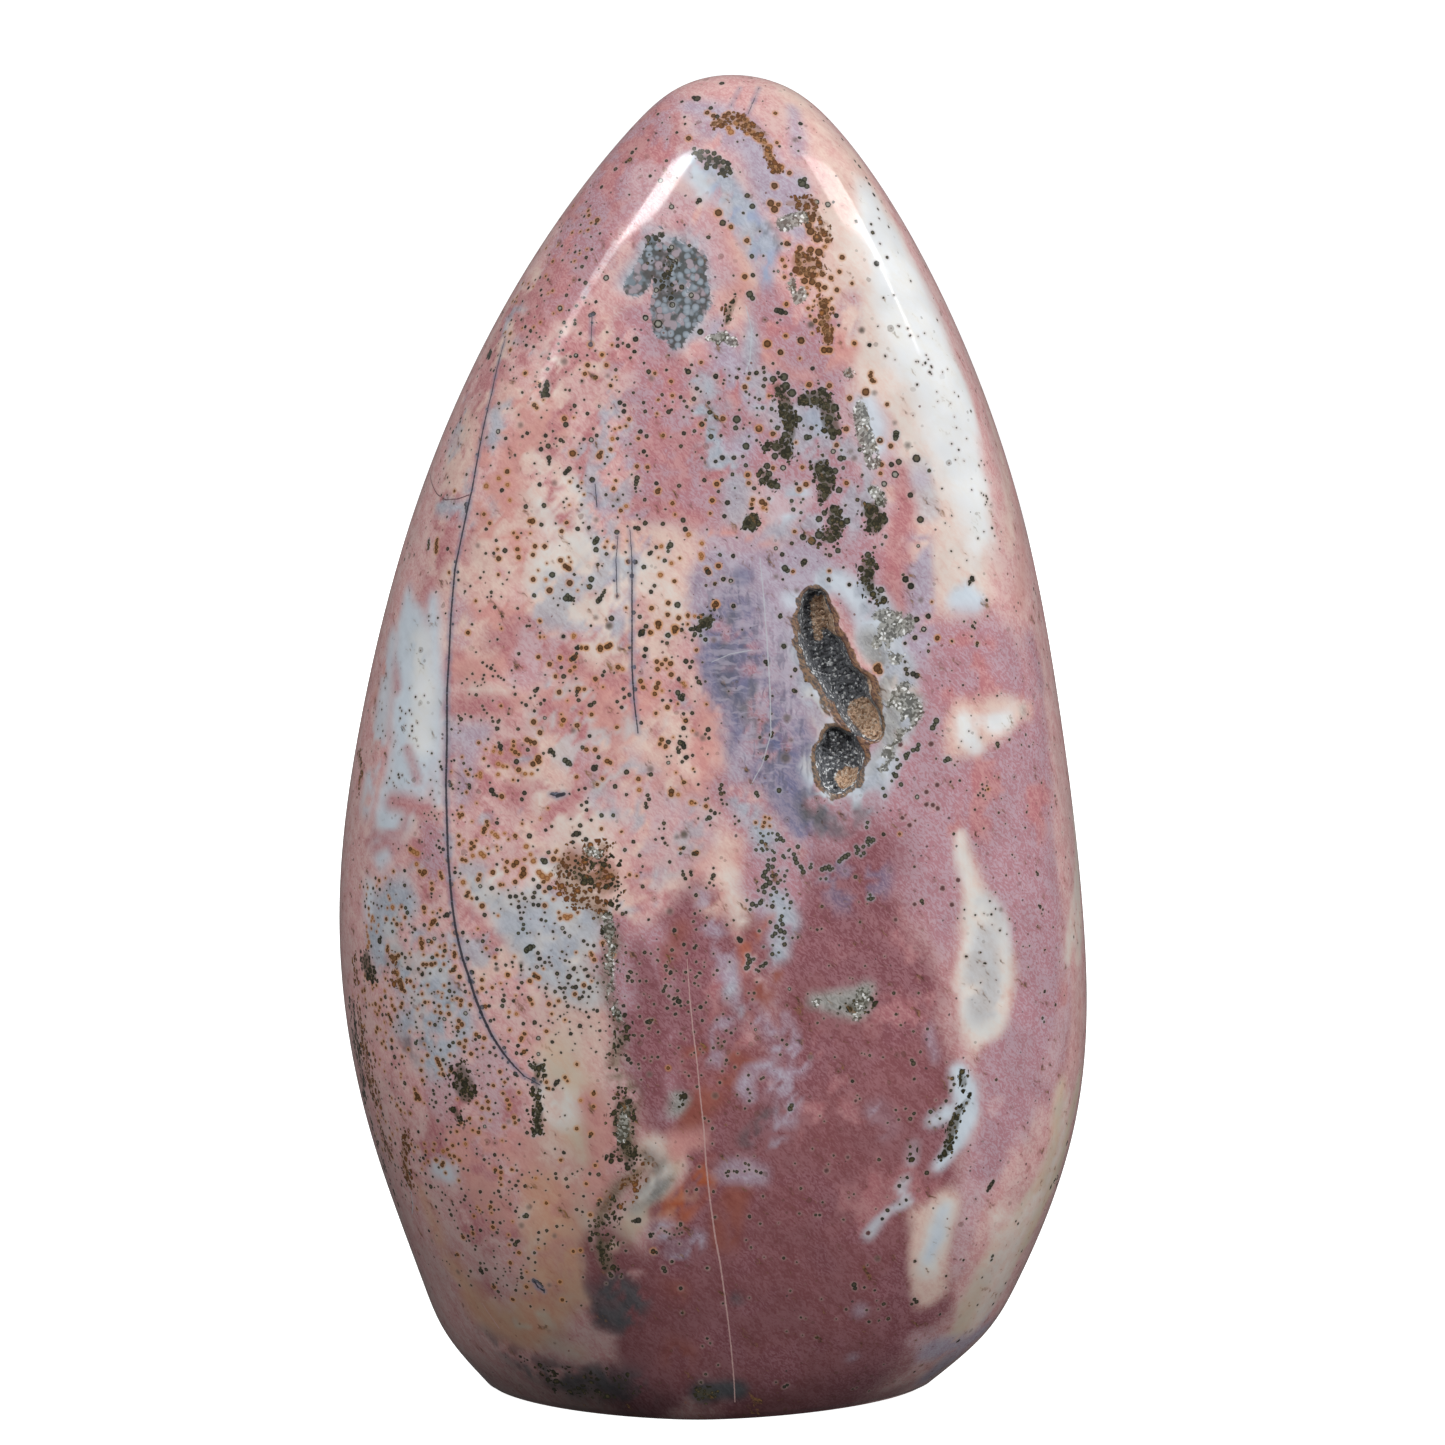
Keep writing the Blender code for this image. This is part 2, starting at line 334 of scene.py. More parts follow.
rough = (0.45 - crystal) * 0.75 * (0.5 + which) + (0.25 - crystal_small) * 0.9 * (0.4 + which_small)
sink = deep * wall - rough * smooth(0.04, 0.30, inside) * 0.9
sink = np.where(share < 1.0, np.maximum(sink, 0.0), 0.0)
sink += 0.10 * smooth(1.25, 1.0, share) * (share >= 1.0) + 0.10 * (share < 1.0)
for k in np.nonzero(sink > 0)[0]:
    bm.verts[int(k)].co.y += sink[k] / 1000
bm.to_mesh(mesh)
bm.free()
mesh.update()
stone = bpy.data.objects.new("jasper_polished", mesh)
bpy.context.scene.collection.objects.link(stone)

count = len(mesh.vertices)
P = np.empty(count * 3, np.float32)
mesh.vertices.foreach_get("co", P)
P = P.reshape(-1, 3).astype(float) * 1000
N = np.empty(count * 3, np.float32)
mesh.vertices.foreach_get("normal", N)
N = N.reshape(-1, 3).astype(float)
print("vertices", count, "faces", len(mesh.polygons))

# ============================================================ camera
# The picture is 1445 pixels square. It looks along +Y and down by 8 degrees.
SIDE, FOCAL_PX, CX, CY = 1445.0, 6607.0, 713.5, 738.5
ELEVATION, DISTANCE = math.radians(8.0), 1000.0
EYE = np.array([0.0, -DISTANCE * math.cos(ELEVATION), 100.0 + DISTANCE * math.sin(ELEVATION)])
AHEAD = np.array([0.0, math.cos(ELEVATION), -math.sin(ELEVATION)])
UP = np.array([0.0, math.sin(ELEVATION), math.cos(ELEVATION)])
RIGHT = np.array([1.0, 0.0, 0.0])

camera_data = bpy.data.cameras.new("camera")
camera_data.sensor_width = 36.0
camera_data.lens = FOCAL_PX * 36.0 / SIDE
camera_data.shift_x = (SIDE / 2 - CX) / SIDE
camera_data.shift_y = (CY - SIDE / 2) / SIDE
camera_data.clip_start, camera_data.clip_end = 0.05, 20.0
camera_data.dof.use_dof = False
camera = bpy.data.objects.new("camera", camera_data)
camera.location = Vector(EYE / 1000)
camera.rotation_euler = (math.pi / 2 - ELEVATION, 0.0, 0.0)
bpy.context.scene.collection.objects.link(camera)
bpy.context.scene.camera = camera

# ============================================================ placing marks on the stone
tree = BVHTree.FromPolygons(
    [tuple(v.co) for v in mesh.vertices], [tuple(p.vertices) for p in mesh.polygons]
)


def front_point(px, py):
    """The point of the stone that shows at this pixel, or the nearest one to the sight line."""
    sight = AHEAD * FOCAL_PX + RIGHT * (px - CX) - UP * (py - CY)
    sight /= np.linalg.norm(sight)
    hit, _, _, _ = tree.ray_cast(Vector(EYE / 1000), Vector(sight))
    if hit is None:
        middle = EYE + sight * (DISTANCE / np.dot(sight, AHEAD))
        hit, _, _, _ = tree.find_nearest(Vector(middle / 1000))
    return np.array(hit) * 1000


def side_point(code, a, b):
    """A point on the back (x, z), the left or the right flank (y, z), or the top (x, y)."""
    start, way = {
        "b": ((a, 300.0, b), (0, -1, 0)),
        "l": ((-300.0, a, b), (1, 0, 0)),
        "r": ((300.0, a, b), (-1, 0, 0)),
        "t": ((a, b, 400.0), (0, 0, -1)),
    }[code]
    hit, _, _, _ = tree.ray_cast(Vector(start) / 1000, Vector(way))
    if hit is None:
        near = {"b": (a, 20.0, b), "l": (-50.0, a, b), "r": (50.0, a, b), "t": (a, b, 190.0)}[code]
        hit, _, _, _ = tree.find_nearest(Vector(near) / 1000)
    return np.array(hit) * 1000


MM_PER_PX = 0.1475


def spots(marks):
    """Marks given in pixels of the picture, or as ("b"|"l"|"r"|"t", a, b, r mm), as points and radii in mm."""
    where, radii = [], []
    for mark in marks:
        if isinstance(mark[0], str):
            where.append(side_point(*mark[:3]))
            radii.append(mark[3])
        else:
            where.append(front_point(mark[0], mark[1]))
            radii.append(mark[2] * MM_PER_PX)
    return np.array(where), np.array(radii, float)


def chain_distance(points, where, radii):
    """Signed distance to a chain of spheres joined by cones, in millimetres."""
    if len(where) == 1:
        return np.linalg.norm(points - where[0], axis=1) - radii[0]
    best = np.full(len(points), 1e3)
    for a, b, ra, rb in zip(where, where[1:], radii, radii[1:]):
        ab = b - a
        t = np.clip((points - a) @ ab / max(ab @ ab, 1e-9), 0, 1)
        d = np.linalg.norm(points - (a + t[:, None] * ab), axis=1) - (ra + (rb - ra) * t)
        best = np.minimum(best, d)
    return best


# The mesh's points, pushed about by noise, so that painted edges come out ragged.
# On the left the grain runs from upper left to lower right, on the right from top to bottom.
ALONG = (P[:, 0] - P[:, 2]) * 0.7071
ACROSS = (P[:, 0] + P[:, 2]) * 0.7071
DRAWN = np.stack([ALONG * 0.42, P[:, 1], ACROSS * 1.15], axis=1)
STEEP = np.stack([P[:, 0] * 1.15 + P[:, 2] * 0.25, P[:, 1], P[:, 2] * 0.45], axis=1)
TURN = smooth(2.0, 22.0, P[:, 0] + (100.0 - P[:, 2]) * 0.12)[:, None]
WARPED = P + noise3(P, 9.0, 11, 3) * 1.3
WARPED = WARPED + (noise3(DRAWN, 3.4, 47, 3) * (1 - TURN) + noise3(STEEP, 3.4, 48, 3) * TURN) * 2.4
CALM = P + noise3(P, 5.0, 71, 2) * 0.6


ragged = (noise(P, 8.0, 91, 3) - 0.5) * 9.0


def rgb(r, g, b):
    return [((c / 255 + 0.055) / 1.055) ** 2.4 if c > 10 else c / 255 / 12.92 for c in (r, g, b)]


# Each kind of stone: two colours, how much of the second, how speckled (0 is cloudy),
# and how much pepper it carries.
STUFF = {
    "pink": ((220, 186, 182), (204, 150, 150), 0.50, 0.62, 0.32),
    "peach": ((226, 200, 188), (212, 168, 160), 0.46, 0.48, 0.16),
    "cream": ((222, 210, 202), (220, 188, 176), 0.40, 0.34, 0.12),
    "milk": ((222, 220, 216), (226, 206, 194), 0.34, 0.15, 0.04),
    "white": ((226, 228, 230), (224, 222, 216), 0.30, 0.10, 0.03),
    "paleblue": ((208, 217, 226), (196, 206, 216), 0.45, 0.15, 0.08),
    "greyblue": ((186, 190, 200), (158, 164, 176), 0.50, 0.60, 0.20),
    "mauve": ((187, 157, 167), (177, 128, 137), 0.52, 0.95, 0.34),
    "mauvelight": ((203, 173, 178), (193, 148, 153), 0.48, 0.85, 0.30),
    "lilac": ((186, 176, 190), (170, 150, 166), 0.50, 0.80, 0.22),
    "rose": ((200, 148, 148), (180, 116, 121), 0.50, 0.70, 0.26),
    "salmon": ((214, 162, 153), (200, 140, 136), 0.46, 0.50, 0.18),
    "deeprose": ((158, 110, 117), (134, 82, 89), 0.52, 0.90, 0.10),
    "wine": ((154, 105, 110), (132, 80, 84), 0.50, 0.70, 0.12),
    "brick": ((158, 96, 86), (140, 78, 70), 0.50, 0.40, 0.06),
    "periwinkle": ((160, 170, 194), (140, 148, 172), 0.45, 0.30, 0.08),
    "violet": ((156, 146, 164), (112, 112, 142), 0.50, 0.55, 0.12),
    "indigo": ((124, 124, 152), (100, 102, 134), 0.50, 0.45, 0.08),
    "slate": ((104, 104, 108), (80, 82, 86), 0.50, 0.45, 0.12),
    "ash": ((202, 202, 204), (188, 182, 180), 0.45, 0.30, 0.08),
    "grey": ((172, 170, 166), (140, 138, 134), 0.50, 0.70, 0.15),
    "flame": ((186, 104, 74), (160, 78, 56), 0.45, 0.20, 0.04),
    "tan": ((222, 180, 154), (212, 156, 132), 0.48, 0.35, 0.10),
    "olive": ((134, 118, 94), (98, 86, 66), 0.50, 0.90, 0.25),
    "sand": ((212, 196, 178), (214, 182, 160), 0.40, 0.20, 0.05),
}

A = np.zeros((count, 3))
B = np.zeros((count, 3))
TEX = np.zeros((count, 3))     # share of the second colour, how speckled, pepper
MASKS = {name: np.zeros(count) for name in ("botry", "moss", "rust", "druse", "dark", "fibre")}


def stuff_of(name):
    a, b, share, crisp, pepper = STUFF[name]
    return np.array(rgb(*a)), np.array(rgb(*b)), np.array([share, crisp, pepper])


def coverage(marks, soft, patch, size, seed, calm=False):
    where, radii = spots(marks)
    loose = 0.0 if calm else float(np.clip((radii.mean() - 1.2) / 4.5, 0.0, 1.0))
    points = CALM + (WARPED - CALM) * loose
    low, high = where.min(axis=0) - radii.max() - soft - 4, where.max(axis=0) + radii.max() + soft + 4
    inside = np.nonzero(((points > low) & (points < high)).all(axis=1))[0]
    if len(inside) == 0:
        return inside, np.zeros(0)
    d = chain_distance(points[inside], where, radii)
    cover = smooth(soft, -soft, d)
    # a stroke stays on the side that it was laid on
    y = P[inside, 1] + ragged[inside]
    if not isinstance(marks[0][0], str):
        cover = cover * smooth(16.0, 7.0, y)
    elif marks[0][0] == "b":
        cover = cover * smooth(0.0, 8.0, y)
    elif marks[0][0] in "lr":
        cover = cover * smooth(-3.0, 3.0, y)
    if patch > 0:
        n = noise(points[inside], size, seed, 3)
        level = 0.5 + (patch - 0.5) * 0.62
        cover = cover * smooth(level - 0.05, level + 0.05, n)
    return inside, cover


def paint(name, soft, marks, patch=0.0, size=5.0, seed=1, strength=1.0, calm=False):
    """Lays one kind of stone along a stroke. patch leaves out that share of it in blots."""
    a, b, tex = stuff_of(name)
    inside, cover = coverage(marks, soft, patch, size, seed, calm)
    w = (cover * strength)[:, None]
    A[inside] += (a - A[inside]) * w
    B[inside] += (b - B[inside]) * w
    TEX[inside] += (tex - TEX[inside]) * w


def mask(name, soft, marks, patch=0.0, size=3.0, seed=1, strength=1.0, calm=True):
    inside, cover = coverage(marks, soft, patch, size, seed, calm)
    MASKS[name][inside] = np.maximum(MASKS[name][inside], cover * strength)


def unmask(name, soft, marks):
    inside, cover = coverage(marks, soft, 0.0, 3.0, 1, True)
    MASKS[name][inside] *= 1 - cover


a, b, tex = stuff_of("pink")
A[:], B[:], TEX[:] = a, b, tex

#PAINT-BEGIN
# ---------------------------------------------------------------- broad fields, front
LEFT_FACE = [(610, 260, 90), (540, 420, 110), (530, 600, 120), (560, 760, 150), (540, 900, 130)]
paint("peach", 2.5, LEFT_FACE, patch=0.55, size=6.5, seed=3)
paint("rose", 1.2, LEFT_FACE, patch=0.70, size=5.0, seed=4)
paint("greyblue", 1.5, LEFT_FACE, patch=0.80, size=4.0, seed=5, strength=0.7)

# crown
paint("pink", 3.0, [(700, 90, 60), (760, 100, 60), (800, 150, 45)])
paint("peach", 3.0, [(790, 95, 22), (820, 130, 22)], patch=0.2)
paint("mauve", 2.2, [(660, 110, 22), (640, 150, 45), (605, 195, 45), (575, 240, 35), (560, 270, 22)])
paint("rose", 1.5, [(640, 140, 50), (570, 240, 40), (540, 300, 30)], patch=0.55, size=3.5, seed=8)
paint("rose", 1.5, [(520, 300, 22), (500, 350, 24), (485, 400, 20)], patch=0.35, size=4.0, seed=9)
paint("lilac", 1.5, [(690, 105, 10), (720, 112, 12), (745, 130, 14), (760, 160, 16), (775, 190, 22)], patch=0.25, size=3.0)
paint("lilac", 1.5, [(795, 110, 6), (799, 150, 7)], strength=0.7)
paint("peach", 2.0, [(850, 160, 26), (880, 220, 30), (900, 270, 30)])

# white field with its peach fringe, upper right
paint("peach", 2.2, [(846, 215, 30), (862, 290, 46), (885, 355, 58), (915, 430, 58), (945, 510, 48), (962, 580, 42), (968, 612, 30)])
paint("cream", 2.5, [(855, 230, 24), (880, 310, 40), (905, 380, 44), (935, 450, 42), (958, 520, 36), (968, 580, 30)])
paint("white", 2.4, [(866, 200, 22), (900, 270, 34), (925, 340, 42), (950, 410, 36), (968, 480, 26), (978, 540, 18)])
paint("peach", 2.2, [(945, 300, 4), (985, 400, 6), (1005, 470, 12), (1010, 540, 14)], strength=0.8)
paint("salmon", 2.2, [(1000, 430, 5), (1016, 500, 10), (1024, 560, 12), (1020, 600, 14)], strength=0.6)
paint("paleblue", 0.9, [(958, 598, 12), (976, 603, 13), (968, 592, 11)], calm=True)
paint("greyblue", 1.0, [(917, 470, 14), (925, 510, 14)], strength=0.55)

# mauve heart of the upper middle
paint("mauve", 2.0, [(640, 330, 30), (650, 400, 45), (660, 480, 48), (690, 500, 40), (740, 400, 60), (800, 400, 60), (820, 480, 50), (850, 560, 40), (880, 600, 35)])
paint("rose", 1.2, [(650, 360, 40), (690, 440, 50), (640, 500, 30), (780, 350, 40)], patch=0.55, size=3.5, seed=12)
paint("salmon", 1.6, [(735, 300, 14), (770, 340, 24), (800, 360, 20), (840, 345, 18)], patch=0.3, size=3.0, seed=13)
paint("peach", 1.8, [(700, 200, 16), (735, 235, 18), (752, 275, 14), (740, 310, 10)], patch=0.15, size=3.0)
paint("peach", 1.5, [(695, 395, 10), (690, 430, 12)], patch=0.3, size=2.5)
paint("lilac", 1.4, [(790, 185, 18), (800, 225, 16), (775, 250, 10)], patch=0.2)
paint("mauvelight", 1.6, [(860, 420, 22), (880, 470, 26), (890, 530, 20)], patch=0.2)
paint("rose", 1.6, [(902, 470, 8), (902, 520, 11), (894, 570, 13), (897, 610, 12)], patch=0.2, size=3.0)
paint("lilac", 1.2, [(915, 560, 14), (918, 600, 16), (915, 640, 22), (905, 680, 26)], patch=0.25)

# periwinkle streak and pale blue blots
paint("periwinkle", 1.1, [(694, 160, 9), (712, 178, 13), (735, 205, 13), (752, 238, 12), (764, 268, 9), (768, 290, 6)])
paint("greyblue", 1.3, [(757, 300, 7), (752, 330, 9), (748, 370, 8)], strength=0.85)
paint("periwinkle", 0.9, [(812, 418, 9), (820, 428, 8)], calm=True)
paint("paleblue", 1.3, [(775, 500, 12), (785, 510, 16), (800, 495, 12)], strength=0.9)
paint("greyblue", 1.2, [(705, 390, 12), (716, 410, 14)], strength=0.8)
paint("greyblue", 1.2, [(712, 440, 10), (725, 448, 14), (740, 440, 10)], strength=0.8)
paint("greyblue", 1.2, [(740, 490, 16), (735, 515, 12)], strength=0.7)
paint("lilac", 0.8, [(668, 424, 7), (671, 432, 7)], calm=True)
paint("paleblue", 1.2, [(866, 405, 12), (872, 425, 12), (876, 445, 9)], strength=0.9)

# the blue-grey cluster of little spheres
paint("greyblue", 1.6, [(635, 278, 14), (655, 250, 16), (682, 262, 20), (685, 300, 24), (672, 328, 18), (655, 345, 12)], patch=0.12, size=3.0)
mask("botry", 1.2, [(634, 286, 9), (650, 262, 11), (664, 250, 9), (672, 276, 17), (668, 305, 17), (664, 328, 12)], patch=0.10, size=3.5)
mask("botry", 1.2, [(690, 268, 12), (700, 290, 10), (690, 310, 10)], patch=0.3, size=3.0, strength=0.7)

# left face details
paint("cream", 2.6, [(560, 575, 38), (600, 590, 44), (640, 575, 26), (600, 620, 36)], patch=0.1, size=6.0)
paint("milk", 1.8, [(590, 600, 26), (610, 560, 18), (650, 560, 12)], patch=0.15, size=5.0)
paint("peach", 1.8, [(660, 620, 26), (685, 600, 20), (675, 560, 16)])
paint("peach", 2.2, [(600, 330, 12), (590, 380, 16), (560, 400, 18), (600, 430, 22), (640, 470, 18)], patch=0.25, size=4.0)
# painted highlight: this pale cream streak runs down the left ridge, the soft tail of the sheen there
paint("cream", 2.0, [(568, 335, 14), (550, 370, 12), (540, 400, 10)], strength=0.8)
paint("salmon", 1.5, [(545, 430, 22), (520, 460, 20), (510, 480, 16)], patch=0.35, size=4.0)
paint("greyblue", 1.0, [(494, 415, 8), (498, 430, 10), (490, 440, 8)], patch=0.2, size=2.0, strength=0.9)
paint("greyblue", 1.0, [(497, 488, 8), (501, 505, 9), (506, 515, 6)], patch=0.2, size=2.0, strength=0.9)
paint("greyblue", 1.0, [(440, 505, 8), (455, 512, 12), (466, 508, 8)], patch=0.2, size=2.0, strength=0.9)
paint("greyblue", 1.2, [(620, 395, 8), (624, 420, 9), (628, 440, 8)], strength=0.8)
paint("peach", 2.0, [(440, 560, 16), (470, 600, 22), (440, 640, 14)], patch=0.3, size=4.0)
paint("rose", 1.6, [(520, 640, 30), (560, 680, 34), (500, 640, 20)], patch=0.5, size=5.0, seed=22)
paint("mauvelight", 1.6, [(470, 620, 26), (520, 660, 30), (560, 640, 20)], patch=0.45, size=4.0, seed=23)
paint("salmon", 1.4, [(469, 667, 15), (488, 672, 10)], patch=0.1)
paint("salmon", 1.4, [(470, 702, 12), (490, 706, 14), (515, 700, 10)], patch=0.1)
paint("rose", 1.4, [(555, 790, 30), (520, 790, 24)], patch=0.35, size=4.0, seed=24)
paint("peach", 2.0, [(650, 790, 34), (690, 830, 34), (660, 860, 26)], patch=0.1)
paint("salmon", 1.6, [(700, 750, 12), (712, 780, 14), (700, 810, 12)], patch=0.2, size=3.0)
paint("cream", 2.2, [(560, 800, 26), (590, 830, 26)], patch=0.3)
paint("greyblue", 1.2, [(600, 800, 12), (612, 806, 12)], patch=0.1, size=2.0, strength=0.8)

# white-blue band on the left flank
paint("paleblue", 2.0, [(408, 600, 10), (408, 650, 20), (414, 710, 26), (410, 770, 26), (392, 820, 24), (374, 870, 14), (370, 910, 10)])
paint("white", 1.8, [(415, 640, 14), (420, 690, 18), (418, 740, 16)], patch=0.15)
paint("paleblue", 1.4, [(432, 600, 8), (438, 700, 7), (438, 800, 6)])
paint("salmon", 1.5, [(388, 662, 9), (384, 682, 9), (372, 700, 5)])
paint("rose", 1.5, [(400, 760, 6), (408, 790, 12), (412, 812, 14), (400, 824, 8)], patch=0.1)
paint("rose", 1.4, [(372, 850, 6), (388, 842, 8), (396, 850, 7)])
paint("pink", 1.8, [(358, 850, 7), (352, 900, 9), (356, 950, 9)])
paint("mauve", 1.5, [(428, 830, 12), (436, 870, 13)], patch=0.2)
paint("lilac", 1.5, [(455, 740, 10), (470, 745, 14), (460, 800, 8)], strength=0.8)

# middle left, paler
paint("milk", 2.4, [(500, 880, 34), (540, 900, 36), (570, 940, 36), (600, 960, 20)], patch=0.2, size=5.0)
paint("greyblue", 1.8, [(480, 920, 26), (540, 930, 34), (585, 930, 20)], patch=0.55, size=4.5, seed=31)
paint("paleblue", 1.2, [(545, 938, 12), (560, 946, 10)], calm=True)
paint("greyblue", 1.6, [(400, 900, 24), (377, 940, 16), (420, 980, 34), (440, 1000, 22), (400, 1040, 26)], patch=0.25, size=4.0)
paint("slate", 1.2, [(425, 980, 10), (440, 990, 14)], strength=0.55)
paint("pink", 1.8, [(380, 1000, 16), (384, 1060, 22), (400, 1120, 30)], patch=0.35, size=4.0)

# lower left
LOW_LEFT = [(430, 1090, 60), (470, 1150, 80), (500, 1220, 80), (520, 1290, 70)]
paint("pink", 3.0, LOW_LEFT)
paint("rose", 1.6, LOW_LEFT, patch=0.55, size=5.0, seed=33)
paint("mauvelight", 1.6, [(470, 1080, 50), (500, 1130, 30)], patch=0.4, size=4.0, seed=34)
paint("peach", 2.2, [(560, 1010, 40), (580, 1060, 30)], patch=0.25)
paint("sand", 2.2, [(560, 1060, 22), (575, 1110, 28), (570, 1170, 30), (560, 1230, 34), (560, 1280, 30), (530, 1330, 26)])
paint("milk", 1.6, [(556, 1100, 14), (572, 1110, 14)], strength=0.9)
paint("tan", 2.0, [(550, 1150, 20), (540, 1180, 18), (560, 1190, 14)], patch=0.1)
paint("salmon", 1.6, [(528, 1150, 14), (535, 1170, 10)], strength=0.8)
paint("tan", 2.2, [(560, 1250, 26), (560, 1290, 24), (520, 1330, 26), (480, 1310, 20), (455, 1270, 14)], patch=0.15)
paint("milk", 1.4, [(530, 1215, 12), (545, 1235, 12)], strength=0.8)
paint("tan", 1.8, [(440, 1240, 9), (420, 1190, 7)], strength=0.8)
paint("salmon", 1.6, [(590, 1180, 12), (600, 1150, 12), (602, 1110, 8)], patch=0.2)
paint("paleblue", 1.2, [(440, 1165, 9), (448, 1176, 8)], strength=0.7)

# deep rose of the lower right and middle
paint("mauve", 3.0, [(980, 680, 70), (1000, 760, 80), (990, 860, 90), (1020, 960, 70), (1030, 1060, 60)])
paint("mauve", 2.5, [(900, 740, 50), (900, 830, 60), (940, 860, 50)])
paint("rose", 1.6, [(960, 660, 30), (1000, 680, 50), (950, 800, 50), (1030, 800, 40)], patch=0.7, size=4.5, seed=41)
DEEP = [(870, 860, 40), (840, 930, 80), (860, 1010, 90), (860, 1100, 105), (850, 1200, 120), (840, 1300, 120), (800, 1390, 90)]
paint("deeprose", 4.0, DEEP)
paint("deeprose", 2.0, [(700, 900, 24), (690, 960, 50), (690, 1040, 60), (680, 1110, 44), (740, 1100, 60), (740, 1200, 50)])
paint("deeprose", 2.0, [(700, 1260, 50), (690, 1330, 70), (640, 1390, 40)])
paint("wine", 2.5, [(850, 1000, 60), (880, 1100, 70), (850, 1200, 90), (820, 1300, 90), (760, 1390, 60)], patch=0.5, size=7.0, seed=43)
paint("rose", 1.8, [(760, 960, 40), (900, 900, 40), (880, 1180, 50), (700, 980, 50)], patch=0.72, size=4.0, seed=44, strength=0.6)
paint("brick", 1.8, [(750, 930, 16), (770, 975, 18), (720, 1040, 18), (700, 1060, 20), (745, 1060, 14), (690, 1120, 16)], patch=0.4, size=4.0, seed=45)
paint("wine", 1.8, [(660, 1330, 40), (700, 1300, 30), (730, 1230, 24)], patch=0.3, size=5.0, seed=46)
paint("mauve", 1.8, [(650, 950, 24), (640, 1010, 24), (650, 1060, 24), (660, 1100, 20)], patch=0.35, size=3.5, seed=47)

# middle, under the violet field
paint("salmon", 1.6, [(728, 850, 12), (740, 880, 14), (720, 900, 14)], patch=0.2, size=3.0)
paint("peach", 1.8, [(710, 830, 14), (725, 875, 12), (712, 900, 12)], patch=0.2)
paint("flame", 1.2, [(758, 918, 5), (748, 935, 6), (742, 950, 4)], strength=0.7)
paint("brick", 1.6, [(670, 950, 10), (680, 930, 8)], strength=0.8)

# violet field and its border
paint("lilac", 2.2, [(720, 580, 24), (760, 570, 34), (800, 570, 30), (740, 620, 44)])
paint("salmon", 1.2, [(712, 532, 8), (745, 542, 9), (772, 536, 10), (780, 548, 8)], patch=0.1)
paint("violet", 1.8, [(738, 610, 24), (750, 650, 40), (758, 700, 44), (776, 748, 40), (790, 780, 26)])
paint("indigo", 1.4, [(720, 640, 18), (730, 700, 26), (760, 690, 30), (770, 740, 24)], patch=0.5, size=3.2, seed=51)
paint("mauve", 1.4, [(750, 665, 12), (775, 650, 10)], patch=0.3, size=2.5, strength=0.7)
paint("violet", 1.4, [(790, 800, 22), (812, 822, 22), (826, 838, 14)], patch=0.1)
paint("slate", 1.2, [(800, 790, 12), (806, 812, 12), (826, 826, 9)], patch=0.3, size=2.2, strength=0.8)
paint("mauve", 1.6, [(770, 860, 26), (790, 890, 20), (760, 900, 20)], patch=0.2, size=3.0)

# pale halo of the pocket
paint("paleblue", 1.1, [(806, 600, 10), (798, 630, 9), (802, 660, 8), (814, 700, 8), (826, 735, 9), (815, 765, 8), (816, 790, 9), (850, 806, 12), (876, 790, 14), (886, 760, 16)], patch=0.15, size=2.6, strength=0.8)
paint("paleblue", 1.2, [(806, 600, 10), (825, 580, 9), (850, 584, 12), (872, 604, 18), (884, 640, 20)], patch=0.15, size=2.6, strength=0.8)
paint("milk", 1.2, [(870, 640, 12), (895, 665, 16), (900, 700, 18), (895, 735, 14)], patch=0.15, size=2.6, strength=0.8)
mask("druse", 1.0, [(880, 618, 8), (902, 624, 11), (884, 634, 8)], patch=0.2, size=1.6)
mask("druse", 1.0, [(900, 700, 10), (912, 712, 11), (904, 725, 8)], patch=0.2, size=1.6)
paint("greyblue", 1.0, [(905, 622, 10), (885, 632, 8)], strength=0.8)

# pale blots with warm rims, right side
paint("peach", 1.5, [(958, 745, 14), (964, 715, 14), (1000, 706, 12), (1028, 708, 8)])
paint("white", 1.1, [(968, 738, 11), (975, 728, 9), (1000, 722, 10), (1014, 712, 7)], calm=True)
paint("peach", 1.6, [(962, 840, 6), (972, 880, 10), (982, 930, 26), (986, 980, 33), (984, 1025, 22), (978, 1050, 8)])
paint("milk", 1.3, [(960, 838, 5), (962, 862, 4), (974, 895, 8), (984, 930, 19), (986, 980, 26), (984, 1018, 16), (980, 1040, 6)])
paint("white", 1.2, [(986, 940, 13), (984, 985, 18), (980, 1012, 12)], calm=True)
paint("tan", 1.4, [(1006, 960, 6), (1006, 1000, 6)], strength=0.6)
paint("cream", 1.6, [(1076, 868, 8), (1080, 910, 10), (1078, 955, 10)])
paint("rose", 2.0, [(1066, 990, 14), (1064, 1040, 14), (1056, 1070, 12)], patch=0.3)
paint("salmon", 1.6, [(1080, 1000, 6), (1076, 1060, 6)], strength=0.6)
paint("sand", 1.6, [(1080, 1076, 9), (1070, 1120, 12), (1058, 1165, 20), (1036, 1210, 30), (1008, 1255, 36), (980, 1300, 30), (962, 1330, 18)])
paint("cream", 1.8, [(1040, 1190, 18), (1010, 1240, 26), (985, 1290, 20)], patch=0.25)
paint("mauvelight", 1.8, [(1010, 1120, 34), (990, 1150, 26), (975, 1190, 18), (965, 1230, 10), (962, 1265, 8)], patch=0.1)
paint("peach", 1.5, [(945, 1205, 12), (932, 1240, 20), (928, 1280, 18), (926, 1300, 10)])
paint("milk", 1.3, [(946, 1205, 8), (938, 1235, 13), (930, 1262, 9)])
paint("lilac", 1.8, [(960, 1350, 20), (930, 1375, 16), (1000, 1340, 10)], patch=0.2)
paint("mauvelight", 1.8, [(990, 1325, 14), (950, 1350, 16), (920, 1340, 12)], patch=0.35)

